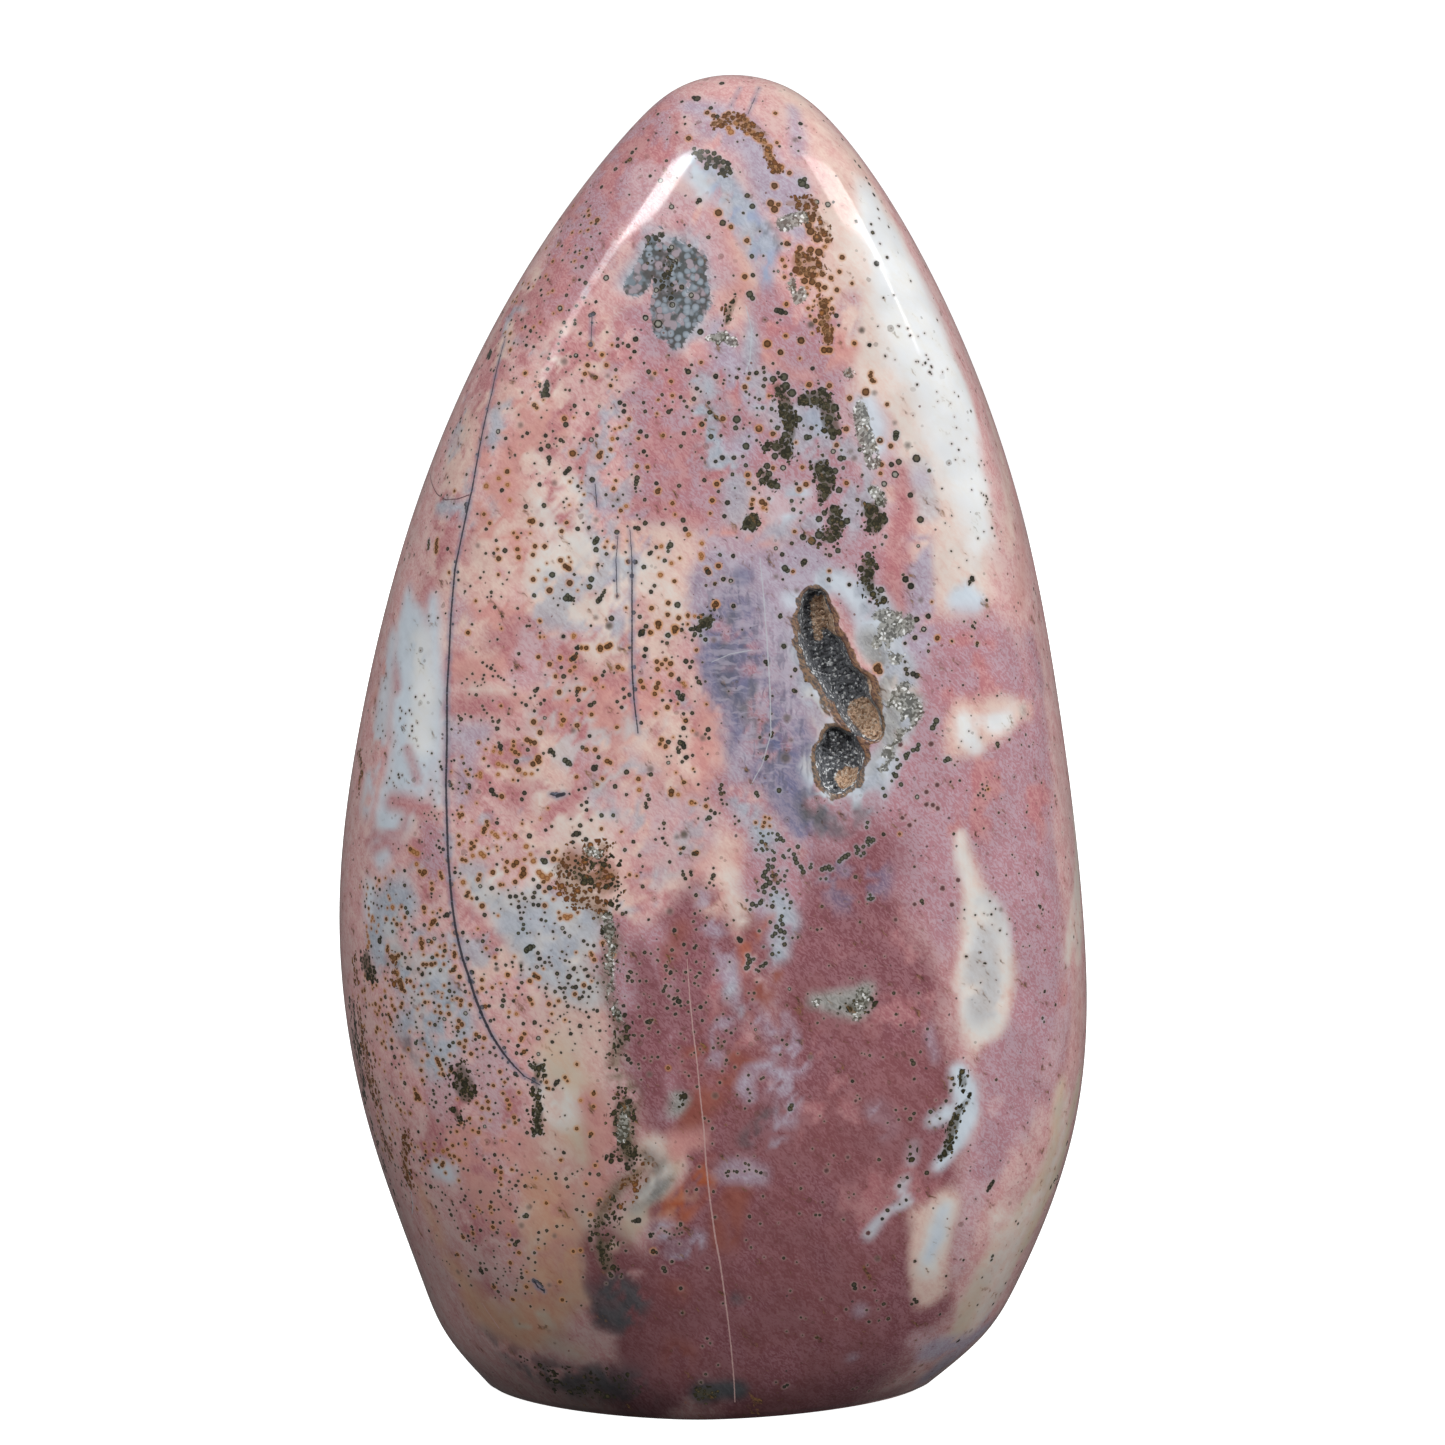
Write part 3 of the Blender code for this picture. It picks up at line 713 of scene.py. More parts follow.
# blue-white blot with olive moss
paint("paleblue", 0.9, [(958, 1072, 10), (966, 1090, 14), (968, 1110, 12), (958, 1140, 9), (938, 1166, 6)], calm=True)
paint("paleblue", 0.9, [(930, 1122, 6), (948, 1112, 8)], calm=True)
paint("paleblue", 0.9, [(912, 1146, 5), (911, 1160, 5)], calm=True)
paint("paleblue", 0.8, [(906, 1178, 4), (898, 1186, 4), (908, 1200, 5), (886, 1212, 4), (868, 1234, 6)], calm=True, strength=0.8)
mask("moss", 0.5, [(962, 1076, 5), (964, 1086, 5)], strength=0.9)
mask("moss", 0.5, [(968, 1100, 4), (960, 1110, 4), (954, 1126, 7), (952, 1138, 5), (946, 1152, 5), (940, 1158, 4)], strength=0.9)
mask("moss", 0.5, [(911, 1150, 3), (911, 1158, 2.5)], strength=0.8)

# lilac swirls
paint("lilac", 1.1, [(730, 975, 5), (733, 1000, 6), (738, 1018, 4)], strength=0.8)
paint("lilac", 1.2, [(752, 1010, 6), (768, 1030, 7), (785, 1055, 8), (782, 1085, 9), (768, 1112, 10), (748, 1140, 9)], patch=0.15, size=2.5)
paint("slate", 1.0, [(772, 1108, 8), (756, 1130, 8)], strength=0.55)
paint("lilac", 1.0, [(745, 1168, 12), (738, 1182, 10)], patch=0.2, size=2.0)
paint("lilac", 1.3, [(660, 1230, 10), (680, 1245, 14), (700, 1240, 8)], patch=0.3, size=2.5)
paint("lilac", 1.0, [(770, 905, 16), (780, 935, 18), (765, 960, 12)], patch=0.4, size=2.5, strength=0.7)
paint("lilac", 1.2, [(880, 1110, 12), (890, 1130, 10)], patch=0.3, size=2.5, strength=0.6)
paint("lilac", 1.0, [(930, 1030, 4), (933, 1060, 3)], strength=0.7)

# flame field with its grey and cream neighbours
paint("sand", 1.3, [(650, 1150, 10), (668, 1165, 16), (655, 1190, 14), (640, 1210, 10), (620, 1240, 12)], patch=0.05)
paint("grey", 1.1, [(662, 1160, 8), (668, 1178, 10), (652, 1196, 8)], strength=0.8)
paint("flame", 1.1, [(655, 1212, 7), (672, 1206, 10), (692, 1194, 12), (706, 1176, 10), (712, 1162, 7)])
paint("brick", 1.3, [(725, 1240, 10), (718, 1210, 8), (735, 1190, 8)], patch=0.2, strength=0.8)
paint("brick", 1.3, [(655, 1285, 12), (675, 1292, 12)], patch=0.2, strength=0.8)
paint("brick", 1.5, [(650, 1340, 20), (680, 1360, 20)], patch=0.3, strength=0.7)
paint("salmon", 1.3, [(676, 1142, 12), (700, 1140, 10)], patch=0.2, strength=0.8)

# grey blobs low down
paint("slate", 0.9, [(604, 1306, 14), (622, 1290, 14), (632, 1302, 12), (616, 1322, 13)])
paint("slate", 1.1, [(700, 1390, 14), (726, 1384, 14)], patch=0.1)
paint("slate", 0.8, [(739, 1298, 8)], strength=0.8)
paint("slate", 1.6, [(560, 1378, 16), (610, 1384, 22)], patch=0.3, strength=0.8)
paint("grey", 0.8, [(672, 1108, 9), (682, 1102, 8)], strength=0.9)
paint("sand", 1.2, [(578, 1352, 10), (556, 1344, 8)], strength=0.6)
paint("grey", 1.0, [(815, 1000, 7), (855, 1003, 16), (866, 990, 8)], patch=0.05, size=2.0)
mask("druse", 0.9, [(818, 1001, 5)], strength=0.8)
mask("moss", 0.8, [(848, 1008, 6), (860, 1004, 9), (868, 1000, 6)], patch=0.2, size=1.5, strength=0.8)
mask("druse", 0.9, [(862, 994, 7), (856, 1016, 5)], strength=0.8)

# ---------------------------------------------------------------- moss, rust and druse
mask("moss", 0.9, [(778, 388, 6), (786, 402, 7), (788, 420, 9), (790, 432, 6), (786, 446, 5)])
mask("moss", 0.9, [(803, 400, 7), (818, 398, 9), (826, 405, 10)])
mask("moss", 0.9, [(828, 412, 9), (833, 428, 9)])
mask("moss", 0.7, [(768, 448, 5), (776, 446, 5), (786, 454, 8)])
mask("moss", 0.7, [(762, 470, 3), (768, 478, 5), (775, 483, 5)])
mask("moss", 0.8, [(822, 468, 8), (826, 480, 8), (822, 494, 7)], patch=0.1)
mask("moss", 0.8, [(833, 510, 8), (838, 520, 6)], patch=0.15)
mask("moss", 0.8, [(812, 540, 8), (830, 538, 7), (840, 525, 6)], patch=0.15)
mask("moss", 0.8, [(868, 508, 8), (876, 520, 9), (872, 528, 7)], patch=0.15)
mask("moss", 0.8, [(866, 560, 8), (868, 576, 8), (872, 590, 7), (884, 600, 5)], patch=0.2, strength=0.85)
mask("moss", 0.7, [(750, 522, 8)])
mask("druse", 0.9, [(860, 408, 6), (862, 428, 7), (868, 444, 7), (872, 462, 7)], patch=0.1, size=1.5)
mask("druse", 0.8, [(850, 372, 6)], strength=0.9)
mask("druse", 0.8, [(870, 490, 6), (878, 500, 6)], strength=0.8)
mask("rust", 0.8, [(716, 122, 5), (735, 118, 7), (748, 128, 7), (758, 136, 7)], patch=0.1, size=2.0)
mask("rust", 0.6, [(764, 148, 5), (770, 158, 5), (776, 170, 5)])
mask("moss", 0.7, [(694, 152, 5), (712, 160, 6), (726, 170, 5)], patch=0.2, size=1.5, strength=0.8)
mask("rust", 0.9, [(790, 205, 6), (808, 205, 10), (818, 225, 9), (826, 238, 6)], patch=0.3, size=1.6, strength=0.85)
mask("rust", 0.9, [(800, 260, 9), (812, 272, 12), (822, 282, 8)], patch=0.25, size=1.6, strength=0.85)
mask("rust", 0.8, [(822, 305, 5), (826, 320, 6), (828, 338, 5)], patch=0.15, size=1.6, strength=0.95)
mask("druse", 0.8, [(786, 226, 8), (800, 218, 7)], patch=0.2, size=1.6, strength=0.8)
mask("druse", 0.8, [(795, 280, 6), (800, 300, 8)], patch=0.25, size=1.6, strength=0.7)
mask("rust", 0.6, [(734, 298, 3), (728, 310, 5), (726, 322, 4)], strength=0.7)
mask("moss", 0.6, [(734, 298, 2.5), (729, 310, 4), (726, 322, 4)], strength=0.8)
mask("druse", 0.7, [(708, 338, 4), (722, 337, 6), (734, 345, 5)], strength=0.9)
mask("moss", 0.7, [(704, 622, 7), (710, 616, 5)], strength=0.85)
mask("moss", 0.6, [(545, 386, 3), (546, 395, 3.6)], strength=0.9)
# the brown sparkling patch of the middle left, with its orange fringe
mask("rust", 1.2, [(566, 880, 12), (580, 898, 12), (600, 904, 8)], patch=0.1, size=1.6)
mask("rust", 1.2, [(590, 848, 6), (602, 846, 6), (560, 868, 7)], patch=0.2, size=1.6)
mask("moss", 1.4, [(586, 870, 16), (602, 868, 14), (610, 884, 8)], patch=0.06, size=1.5, strength=0.95)
mask("druse", 0.9, [(588, 850, 6), (596, 852, 6)], strength=0.7)
# brown-grey strip running down the middle left
mask("druse", 1.0, [(606, 915, 6), (612, 950, 6), (612, 990, 5), (618, 1020, 5)], patch=0.3, size=1.8, strength=0.7)
mask("moss", 1.0, [(606, 915, 6), (612, 960, 5), (614, 1010, 5), (617, 1060, 4)], patch=0.35, size=1.8, strength=0.6)
mask("moss", 1.0, [(628, 1098, 6), (624, 1125, 9), (628, 1150, 8), (632, 1170, 5)], patch=0.12, size=1.6, strength=0.85)
mask("druse", 0.9, [(626, 1110, 5), (625, 1135, 7)], patch=0.1, size=1.2, strength=0.8)
mask("rust", 0.9, [(640, 1160, 5), (632, 1190, 6), (620, 1210, 5)], patch=0.3, size=1.6, strength=0.6)
mask("moss", 0.7, [(596, 1222, 4), (600, 1240, 4), (610, 1255, 5), (616, 1270, 4)], patch=0.2, strength=0.7)
# dark clumps, left side
mask("moss", 0.9, [(462, 1068, 6), (464, 1086, 12), (468, 1096, 10)], patch=0.05, size=1.6)
mask("moss", 0.7, [(455, 1112, 5), (460, 1122, 4)], patch=0.1)
mask("moss", 0.7, [(366, 958, 8), (368, 970, 9)], patch=0.1)
mask("rust", 0.7, [(392, 980, 4), (398, 988, 4)], strength=0.9)
mask("moss", 0.8, [(535, 1063, 4), (540, 1070, 5), (536, 1090, 4), (538, 1108, 5), (537, 1126, 6)], patch=0.05, size=1.5)
mask("rust", 1.0, [(405, 1138, 6), (404, 1160, 6), (410, 1185, 6)], patch=0.1, size=1.8)
mask("rust", 0.7, [(358, 752, 4), (362, 770, 4), (358, 790, 3)], strength=0.95)
mask("moss", 0.7, [(352, 1030, 5), (358, 1060, 6), (364, 1100, 5)], patch=0.3, size=2.0, strength=0.8)
mask("rust", 0.8, [(370, 1050, 6), (380, 1100, 6)], patch=0.45, size=2.0, strength=0.7)
mask("moss", 0.6, [(1058, 1178, 3), (1062, 1186, 3)], strength=0.7)
mask("moss", 0.8, [(700, 1394, 7), (714, 1396, 6)], patch=0.1, strength=0.8)
mask("fibre", 3.0, [(738, 620, 30), (755, 690, 44), (780, 760, 36)])

# ---------------------------------------------------------------- second coat, read closer
# crown
paint("salmon", 1.4, [(712, 219, 12), (725, 256, 13), (743, 293, 10)], patch=0.1, size=3.0)
paint("rose", 1.4, [(765, 299, 14), (786, 335, 18)], patch=0.15, size=3.0)
paint("paleblue", 1.3, [(688, 164, 10), (706, 192, 10)])
paint("periwinkle", 1.2, [(725, 189, 13), (740, 213, 15), (755, 231, 15), (768, 247, 11), (766, 274, 7), (768, 292, 5)], patch=0.05, size=2.5)
paint("lilac", 1.0, [(792, 109, 4), (796, 130, 5), (798, 152, 4)], strength=0.7)
paint("peach", 1.6, [(820, 150, 10), (838, 180, 13), (845, 205, 12)], patch=0.1)
# left face
paint("mauve", 2.0, [(640, 340, 30), (648, 400, 34), (652, 450, 34), (656, 500, 30)], patch=0.1, size=4.0, seed=101)
paint("rose", 1.4, [(652, 449, 12), (675, 461, 12)], patch=0.2, size=3.0)
paint("rose", 1.4, [(641, 507, 11), (668, 512, 13), (698, 520, 11)], patch=0.15, size=3.0)
paint("peach", 1.8, [(600, 538, 12), (640, 540, 13), (690, 540, 10)], patch=0.1, size=4.0)
paint("cream", 2.2, [(545, 560, 22), (580, 580, 34), (600, 610, 26)], patch=0.08, size=5.0)
paint("cream", 1.6, [(652, 565, 14), (672, 600, 16)], patch=0.1)
paint("lilac", 0.8, [(669, 421, 9), (670, 428, 9)], calm=True)
paint("greyblue", 1.0, [(616, 403, 6), (620, 424, 6)], strength=0.8)
paint("rose", 1.8, [(560, 270, 16), (545, 300, 20), (530, 330, 16)], patch=0.25, size=3.5, seed=103)
paint("peach", 2.0, [(470, 440, 16), (455, 475, 18)], patch=0.2)
paint("rose", 1.6, [(455, 520, 12), (440, 560, 12), (420, 600, 8)], patch=0.4, size=3.5)
paint("peach", 2.0, [(520, 520, 30), (500, 560, 30), (490, 600, 20)], patch=0.25, size=4.5, seed=104)
paint("salmon", 1.4, [(458, 668, 8), (476, 670, 12), (500, 664, 8)], patch=0.1)
paint("cream", 1.0, [(472, 690, 4), (490, 690, 5), (507, 690, 4)], strength=0.9)
paint("rose", 1.4, [(455, 708, 10), (480, 706, 12), (505, 704, 9)], patch=0.1)
paint("lilac", 1.2, [(460, 731, 9), (483, 731, 10)], strength=0.8)
paint("salmon", 1.6, [(560, 720, 34), (600, 700, 30), (640, 690, 22)], patch=0.35, size=5.0, seed=105)
paint("peach", 1.8, [(520, 760, 26), (560, 760, 24)], patch=0.4, size=4.0, seed=106)
paint("salmon", 1.4, [(706, 705, 9), (706, 740, 11), (706, 774, 9)], patch=0.1, size=3.0)
# left flank
paint("paleblue", 1.8, [(410, 625, 22), (412, 700, 28), (408, 770, 26), (390, 815, 18)])
paint("white", 1.6, [(418, 640, 12), (424, 700, 14), (420, 745, 12)], patch=0.1)
paint("rose", 1.2, [(389, 655, 7), (393, 672, 8), (396, 688, 6)])
paint("rose", 1.0, [(408, 752, 4), (417, 780, 5)])
paint("rose", 1.4, [(392, 800, 9), (410, 806, 12), (426, 812, 9)], patch=0.1)
paint("rose", 0.8, [(365, 844, 3), (377, 832, 4), (398, 837, 4)])
paint("pink", 1.4, [(356, 850, 8), (370, 868, 12), (380, 888, 8)])
# middle, violet field
paint("violet", 2.0, [(722, 590, 22), (738, 620, 30), (752, 660, 44), (762, 710, 46), (778, 755, 36), (795, 790, 24)])
paint("lilac", 1.6, [(735, 570, 20), (770, 572, 24), (795, 590, 14)], patch=0.15, size=3.5)
paint("indigo", 1.2, [(720, 648, 15)], patch=0.1, size=2.5)
paint("indigo", 1.2, [(728, 683, 13), (747, 686, 13)], patch=0.1, size=2.5)
paint("indigo", 1.2, [(750, 731, 15), (770, 742, 12), (787, 755, 12)], patch=0.1, size=2.5)
paint("indigo", 1.0, [(742, 576, 10)], patch=0.1, size=2.0, strength=0.8)
paint("mauve", 1.0, [(747, 667, 7)], strength=0.8)
paint("mauve", 1.0, [(774, 672, 8)], strength=0.8)
paint("lilac", 1.6, [(790, 640, 10), (790, 690, 12), (800, 730, 10)], patch=0.3, size=3.0)
paint("violet", 1.2, [(787, 800, 13), (800, 828, 14), (819, 841, 10)], patch=0.05)
paint("slate", 1.0, [(806, 800, 9), (815, 822, 9)], patch=0.3, size=2.2, strength=0.7)
paint("mauve", 2.2, [(730, 790, 22), (750, 820, 20), (770, 850, 18)], patch=0.15, size=3.5, seed=107)
paint("greyblue", 1.6, [(740, 800, 10), (760, 830, 12), (775, 860, 10)], patch=0.4, size=3.0, seed=108)
mask("fibre", 3.0, [(730, 600, 26), (752, 680, 46), (780, 760, 36)])
# halo of the pocket
paint("paleblue", 1.2, [(793, 600, 9), (795, 645, 9), (806, 675, 9), (819, 699, 8), (833, 721, 7)], patch=0.22, size=2.6, strength=0.75)
paint("paleblue", 1.2, [(814, 584, 7), (840, 580, 9), (858, 600, 10), (874, 630, 13), (894, 654, 14)], patch=0.22, size=2.6, strength=0.75)
paint("paleblue", 1.2, [(878, 769, 12), (851, 796, 11), (826, 796, 10), (812, 770, 9)], patch=0.22, size=2.6, strength=0.75)
paint("grey", 1.2, [(894, 624, 11)], patch=0.2, size=2.0)
paint("grey", 1.2, [(912, 703, 11), (905, 722, 9)], patch=0.2, size=2.0)
mask("druse", 1.0, [(894, 624, 9)], patch=0.15, size=1.6, strength=0.8)
mask("druse", 1.0, [(912, 705, 9)], patch=0.15, size=1.6, strength=0.8)
paint("white", 0.7, [(880, 640, 2.5), (890, 646, 3), (898, 650, 2)])
paint("white", 0.7, [(888, 722, 2.5), (896, 728, 3)])
# below the violet field
paint("peach", 1.4, [(707, 842, 8), (722, 842, 9), (733, 841, 6)])
paint("cream", 1.4, [(744, 921, 10), (731, 879, 11)], patch=0.1)
paint("flame", 0.9, [(774, 916, 3), (750, 943, 5), (736, 972, 4)], strength=0.8)
paint("salmon", 1.6, [(690, 800, 18), (700, 830, 16), (690, 860, 16)], patch=0.25, size=3.5, seed=109)
paint("mauve", 1.8, [(760, 880, 20), (790, 870, 24), (830, 850, 18)], patch=0.2, size=3.0, seed=110)
paint("greyblue", 1.2, [(776, 900, 10), (790, 925, 12), (780, 955, 10)], patch=0.35, size=2.6, seed=111)
# right side
paint("lilac", 1.2, [(918, 545, 12), (920, 590, 13), (922, 640, 14)], patch=0.2)
paint("rose", 1.4, [(900, 490, 6), (907, 507, 7), (893, 548, 8), (900, 587, 8), (902, 608, 6)], patch=0.1, size=3.0)
paint("lilac", 1.2, [(920, 479, 9)], strength=0.8)
paint("peach", 1.4, [(961, 725, 16), (978, 742, 11), (1002, 722, 15), (1018, 712, 8)])
paint("white", 0.9, [(964, 722, 10), (966, 734, 10), (975, 746, 7)], calm=True)
paint("white", 0.9, [(996, 724, 10), (1006, 720, 9)], calm=True)
paint("grey", 0.9, [(1023, 710, 5)], strength=0.8)
paint("milk", 0.9, [(959, 833, 4), (961, 849, 4), (967, 876, 4), (975, 892, 5)])
paint("white", 1.2, [(985, 908, 10), (994, 925, 12), (999, 945, 12), (990, 980, 13), (984, 1010, 10)], calm=True)
paint("cream", 1.4, [(1074, 815, 6), (1079, 855, 8), (1070, 922, 8), (1068, 956, 8)])
# lower left
paint("milk", 1.6, [(548, 1100, 12), (558, 1118, 12)], patch=0.1)
paint("peach", 1.6, [(545, 1145, 14), (560, 1160, 16), (570, 1175, 12)], patch=0.05)
paint("tan", 2.0, [(556, 1200, 18), (560, 1240, 20), (562, 1280, 18), (545, 1305, 14)], patch=0.1)
paint("salmon", 1.4, [(600, 1165, 9), (602, 1185, 9)], patch=0.1)
paint("paleblue", 1.2, [(436, 1170, 9), (452, 1172, 9)], strength=0.7)
paint("mauve", 1.8, [(610, 960, 20), (625, 1000, 22), (640, 1050, 20)], patch=0.15, size=3.5, seed=112)
paint("slate", 1.2, [(602, 1290, 15), (622, 1296, 15), (628, 1316, 13), (606, 1320, 12)], patch=0.05)
paint("grey", 1.0, [(676, 1104, 12)], patch=0.05, size=2.0, strength=0.9)
mask("moss", 0.8, [(684, 1096, 5), (680, 1102, 4)], strength=0.6)
# swirls round the flame field
paint("cream", 1.2, [(656, 1146, 10), (648, 1158, 9)])
paint("grey", 1.0, [(663, 1184, 8), (655, 1192, 9), (648, 1199, 8)], strength=0.85)
paint("grey", 1.0, [(636, 1209, 7)], strength=0.8)
paint("milk", 0.9, [(668, 1172, 5), (656, 1182, 5), (640, 1196, 4)])
paint("salmon", 1.2, [(678, 1154, 10)], strength=0.9)
paint("flame", 1.0, [(683, 1214, 9), (693, 1196, 10), (713, 1171, 7)])
paint("brick", 1.4, [(738, 1190, 12), (732, 1215, 12), (728, 1240, 12)], patch=0.15, size=3.0)
paint("wine", 2.0, [(760, 1130, 40), (770, 1200, 44), (780, 1270, 44)], patch=0.3, size=5.0, seed=113)
# lilac winding
paint("lilac", 1.0, [(756, 1021, 6), (774, 1037, 7), (787, 1052, 8), (777, 1068, 8), (749, 1074, 7), (743, 1090, 7), (749, 1099, 6)], patch=0.1, size=2.5)
paint("slate", 0.9, [(777, 1102, 7), (759, 1127, 8), (746, 1140, 8)], strength=0.6)
paint("greyblue", 0.9, [(731, 965, 5), (731, 990, 6), (737, 1012, 5)], strength=0.8)
paint("lilac", 1.2, [(724, 1170, 12), (745, 1172, 14), (760, 1176, 10)], patch=0.2, size=2.5, strength=0.7)
paint("lilac", 1.0, [(852, 1357, 4)], strength=0.7)
paint("lilac", 1.0, [(859, 1310, 8)], strength=0.6)
# lower right
paint("peach", 1.8, [(920, 1215, 12), (930, 1250, 17), (930, 1290, 15)])
paint("milk", 1.2, [(938, 1208, 9), (940, 1228, 9), (936, 1248, 8)])
paint("sand", 2.0, [(1060, 1090, 12), (1056, 1140, 14), (1040, 1190, 20), (1015, 1240, 30), (990, 1290, 28), (965, 1325, 16)], patch=0.05)
paint("cream", 1.6, [(1066, 1100, 7), (1060, 1150, 8), (1030, 1210, 16), (1000, 1265, 20)], patch=0.2)
paint("mauve", 1.6, [(1010, 1060, 30), (1005, 1110, 30), (985, 1160, 20)], patch=0.15, size=4.0, seed=114)
paint("lilac", 1.4, [(930, 1350, 16), (960, 1345, 16), (984, 1330, 10)], patch=0.2, size=3.0)
# the upper middle and the crown once more
paint("lilac", 1.6, [(706, 128, 12), (735, 140, 16), (765, 165, 18), (780, 195, 16)], patch=0.2, size=3.0, seed=130, strength=0.85)
paint("mauvelight", 1.6, [(650, 175, 20), (640, 210, 20), (690, 205, 14), (706, 240, 16), (722, 275, 14)], patch=0.3, size=3.0, seed=131)
paint("mauve", 1.8, [(762, 300, 16), (800, 345, 26), (835, 335, 16), (850, 300, 8)], patch=0.35, size=3.2, seed=132)
paint("lilac", 1.4, [(720, 330, 14), (730, 370, 16), (745, 410, 18), (735, 450, 16)], patch=0.45, size=3.0, seed=133)
paint("pink", 1.8, [(600, 350, 30), (590, 430, 40), (590, 500, 36), (560, 470, 30)], patch=0.35, size=4.0, seed=134)
paint("rose", 1.2, [(590, 360, 40), (570, 440, 46), (560, 510, 40)], patch=0.62, size=2.4, seed=135)
paint("salmon", 1.2, [(520, 400, 30), (500, 470, 30), (510, 540, 34), (500, 600, 30)], patch=0.60, size=2.6, seed=136)
paint("lilac", 1.0, [(600, 460, 40), (620, 520, 30), (600, 600, 40), (620, 660, 40)], patch=0.74, size=2.4, seed=137, strength=0.7)
paint("rose", 1.2, [(620, 620, 36), (600, 680, 40), (620, 750, 40), (580, 800, 40)], patch=0.66, size=2.4, seed=138, strength=0.8)
mask("moss", 1.6, [(655, 238, 7), (664, 262, 9), (668, 290, 8)], patch=0.45, size=1.6, seed=139, strength=0.45)
paint("greyblue", 1.6, [(650, 240, 14), (690, 250, 16), (700, 290, 14), (690, 325, 14), (660, 345, 12)], patch=0.35, size=2.4, seed=140, strength=0.85)
mask("botry", 1.4, [(648, 242, 9), (660, 236, 9), (700, 262, 10), (704, 300, 8), (676, 340, 9)], patch=0.3, size=2.6, seed=141, strength=0.8)
paint("mauve", 1.6, [(670, 390, 24), (690, 430, 30), (680, 480, 26), (730, 400, 20)], patch=0.35, size=3.0, seed=150)
paint("greyblue", 1.4, [(700, 385, 14), (705, 430, 16), (725, 470, 16)], patch=0.5, size=2.4, seed=151)
# greyer and darker than the first coat
paint("ash", 1.6, [(520, 920, 26), (550, 950, 28), (575, 980, 22)], patch=0.25, size=5.0, seed=120)
paint("deeprose", 1.6, [(628, 950, 12), (640, 1000, 18), (646, 1050, 18)], patch=0.3, size=4.0, seed=121)
paint("ash", 1.2, [(985, 905, 11), (995, 925, 13), (999, 950, 13), (990, 985, 15), (984, 1018, 12)], patch=0.1, size=4.0)
paint("mauvelight", 1.6, [(1066, 960, 12), (1064, 1020, 16), (1050, 1070, 16)], patch=0.2, size=4.0, seed=122)
paint("wine", 1.4, [(588, 1250, 8), (594, 1275, 9)], patch=0.15, size=3.0, strength=0.8)
mask("moss", 0.9, [(596, 1228, 5), (600, 1250, 6), (606, 1270, 6)], patch=0.1, size=1.8, strength=0.8)
paint("lilac", 1.4, [(700, 600, 12), (706, 640, 10), (715, 560, 14)], patch=0.3, size=3.0)
paint("lilac", 1.4, [(765, 620, 14), (775, 655, 10), (740, 770, 12)], patch=0.4, size=2.6, seed=123)
paint("rose", 1.6, [(560, 640, 30), (530, 690, 26), (590, 730, 30)], patch=0.55, size=3.5, seed=124)
paint("greyblue", 1.6, [(390, 910, 22), (420, 970, 30), (450, 1020, 26), (430, 1060, 20)], patch=0.30, size=3.5, seed=152)
paint("slate", 1.2, [(400, 960, 18), (430, 1000, 22), (410, 1050, 18)], patch=0.62, size=2.6, seed=153, strength=0.6)
paint("ash", 1.6, [(500, 890, 26), (560, 930, 30), (590, 980, 20)], patch=0.45, size=3.5, seed=154)
paint("greyblue", 1.4, [(520, 930, 24), (570, 950, 24)], patch=0.5, size=2.6, seed=155, strength=0.8)
mask("rust", 1.6, [(356, 960, 5), (360, 1020, 7), (372, 1090, 8), (392, 1160, 8)], patch=0.4, size=2.2, seed=156, strength=0.75)
mask("moss", 1.2, [(350, 1000, 4), (358, 1060, 6), (374, 1130, 6), (396, 1200, 5)], patch=0.42, size=2.0, seed=157, strength=0.8)
paint("deeprose", 1.6, [(640, 960, 14), (652, 1010, 18), (650, 1060, 18), (655, 1100, 14)], patch=0.2, size=3.5, seed=158)
paint("mauve", 1.4, [(612, 920, 12), (620, 960, 12), (622, 1000, 12)], patch=0.2, size=3.0, seed=159)
paint("salmon", 1.6, [(470, 1150, 30), (500, 1200, 34), (520, 1150, 24)], patch=0.4, size=3.5, seed=160)
paint("salmon", 1.6, [(590, 1100, 14), (604, 1150, 14), (600, 1200, 14)], patch=0.3, size=3.0, seed=161)
paint("wine", 2.0, [(608, 1240, 12), (640, 1270, 22), (650, 1310, 24), (640, 1350, 26)], patch=0.2, size=3.5, seed=162)
paint("wine", 1.2, [(600, 1288, 16), (618, 1284, 15), (634, 1300, 18), (622, 1322, 16), (602, 1314, 15)], patch=0.2, size=2.0, seed=183, strength=0.7)
paint("slate", 1.4, [(600, 1288, 13), (618, 1284, 12), (634, 1300, 15), (622, 1322, 13), (602, 1314, 12)], patch=0.42, size=2.0, seed=163, strength=0.9)
paint("slate", 2.2, [(486, 1334, 10), (520, 1362, 16), (570, 1380, 22), (630, 1388, 24)], patch=0.45, size=2.6, seed=164, strength=0.6)
mask("moss", 1.4, [(520, 1366, 8), (570, 1380, 14), (620, 1384, 16)], patch=0.55, size=2.0, seed=165, strength=0.45)
paint("cream", 2.0, [(1000, 1215, 12), (1010, 1250, 22), (995, 1290, 24), (975, 1325, 12)], patch=0.08, size=5.0, seed=166)
paint("violet", 1.4, [(716, 620, 14), (712, 660, 12), (722, 700, 14)], patch=0.3, size=2.6, seed=167)
paint("slate", 1.0, [(726, 650, 9), (735, 690, 9), (757, 735, 9)], patch=0.35, size=2.0, seed=168, strength=0.45)
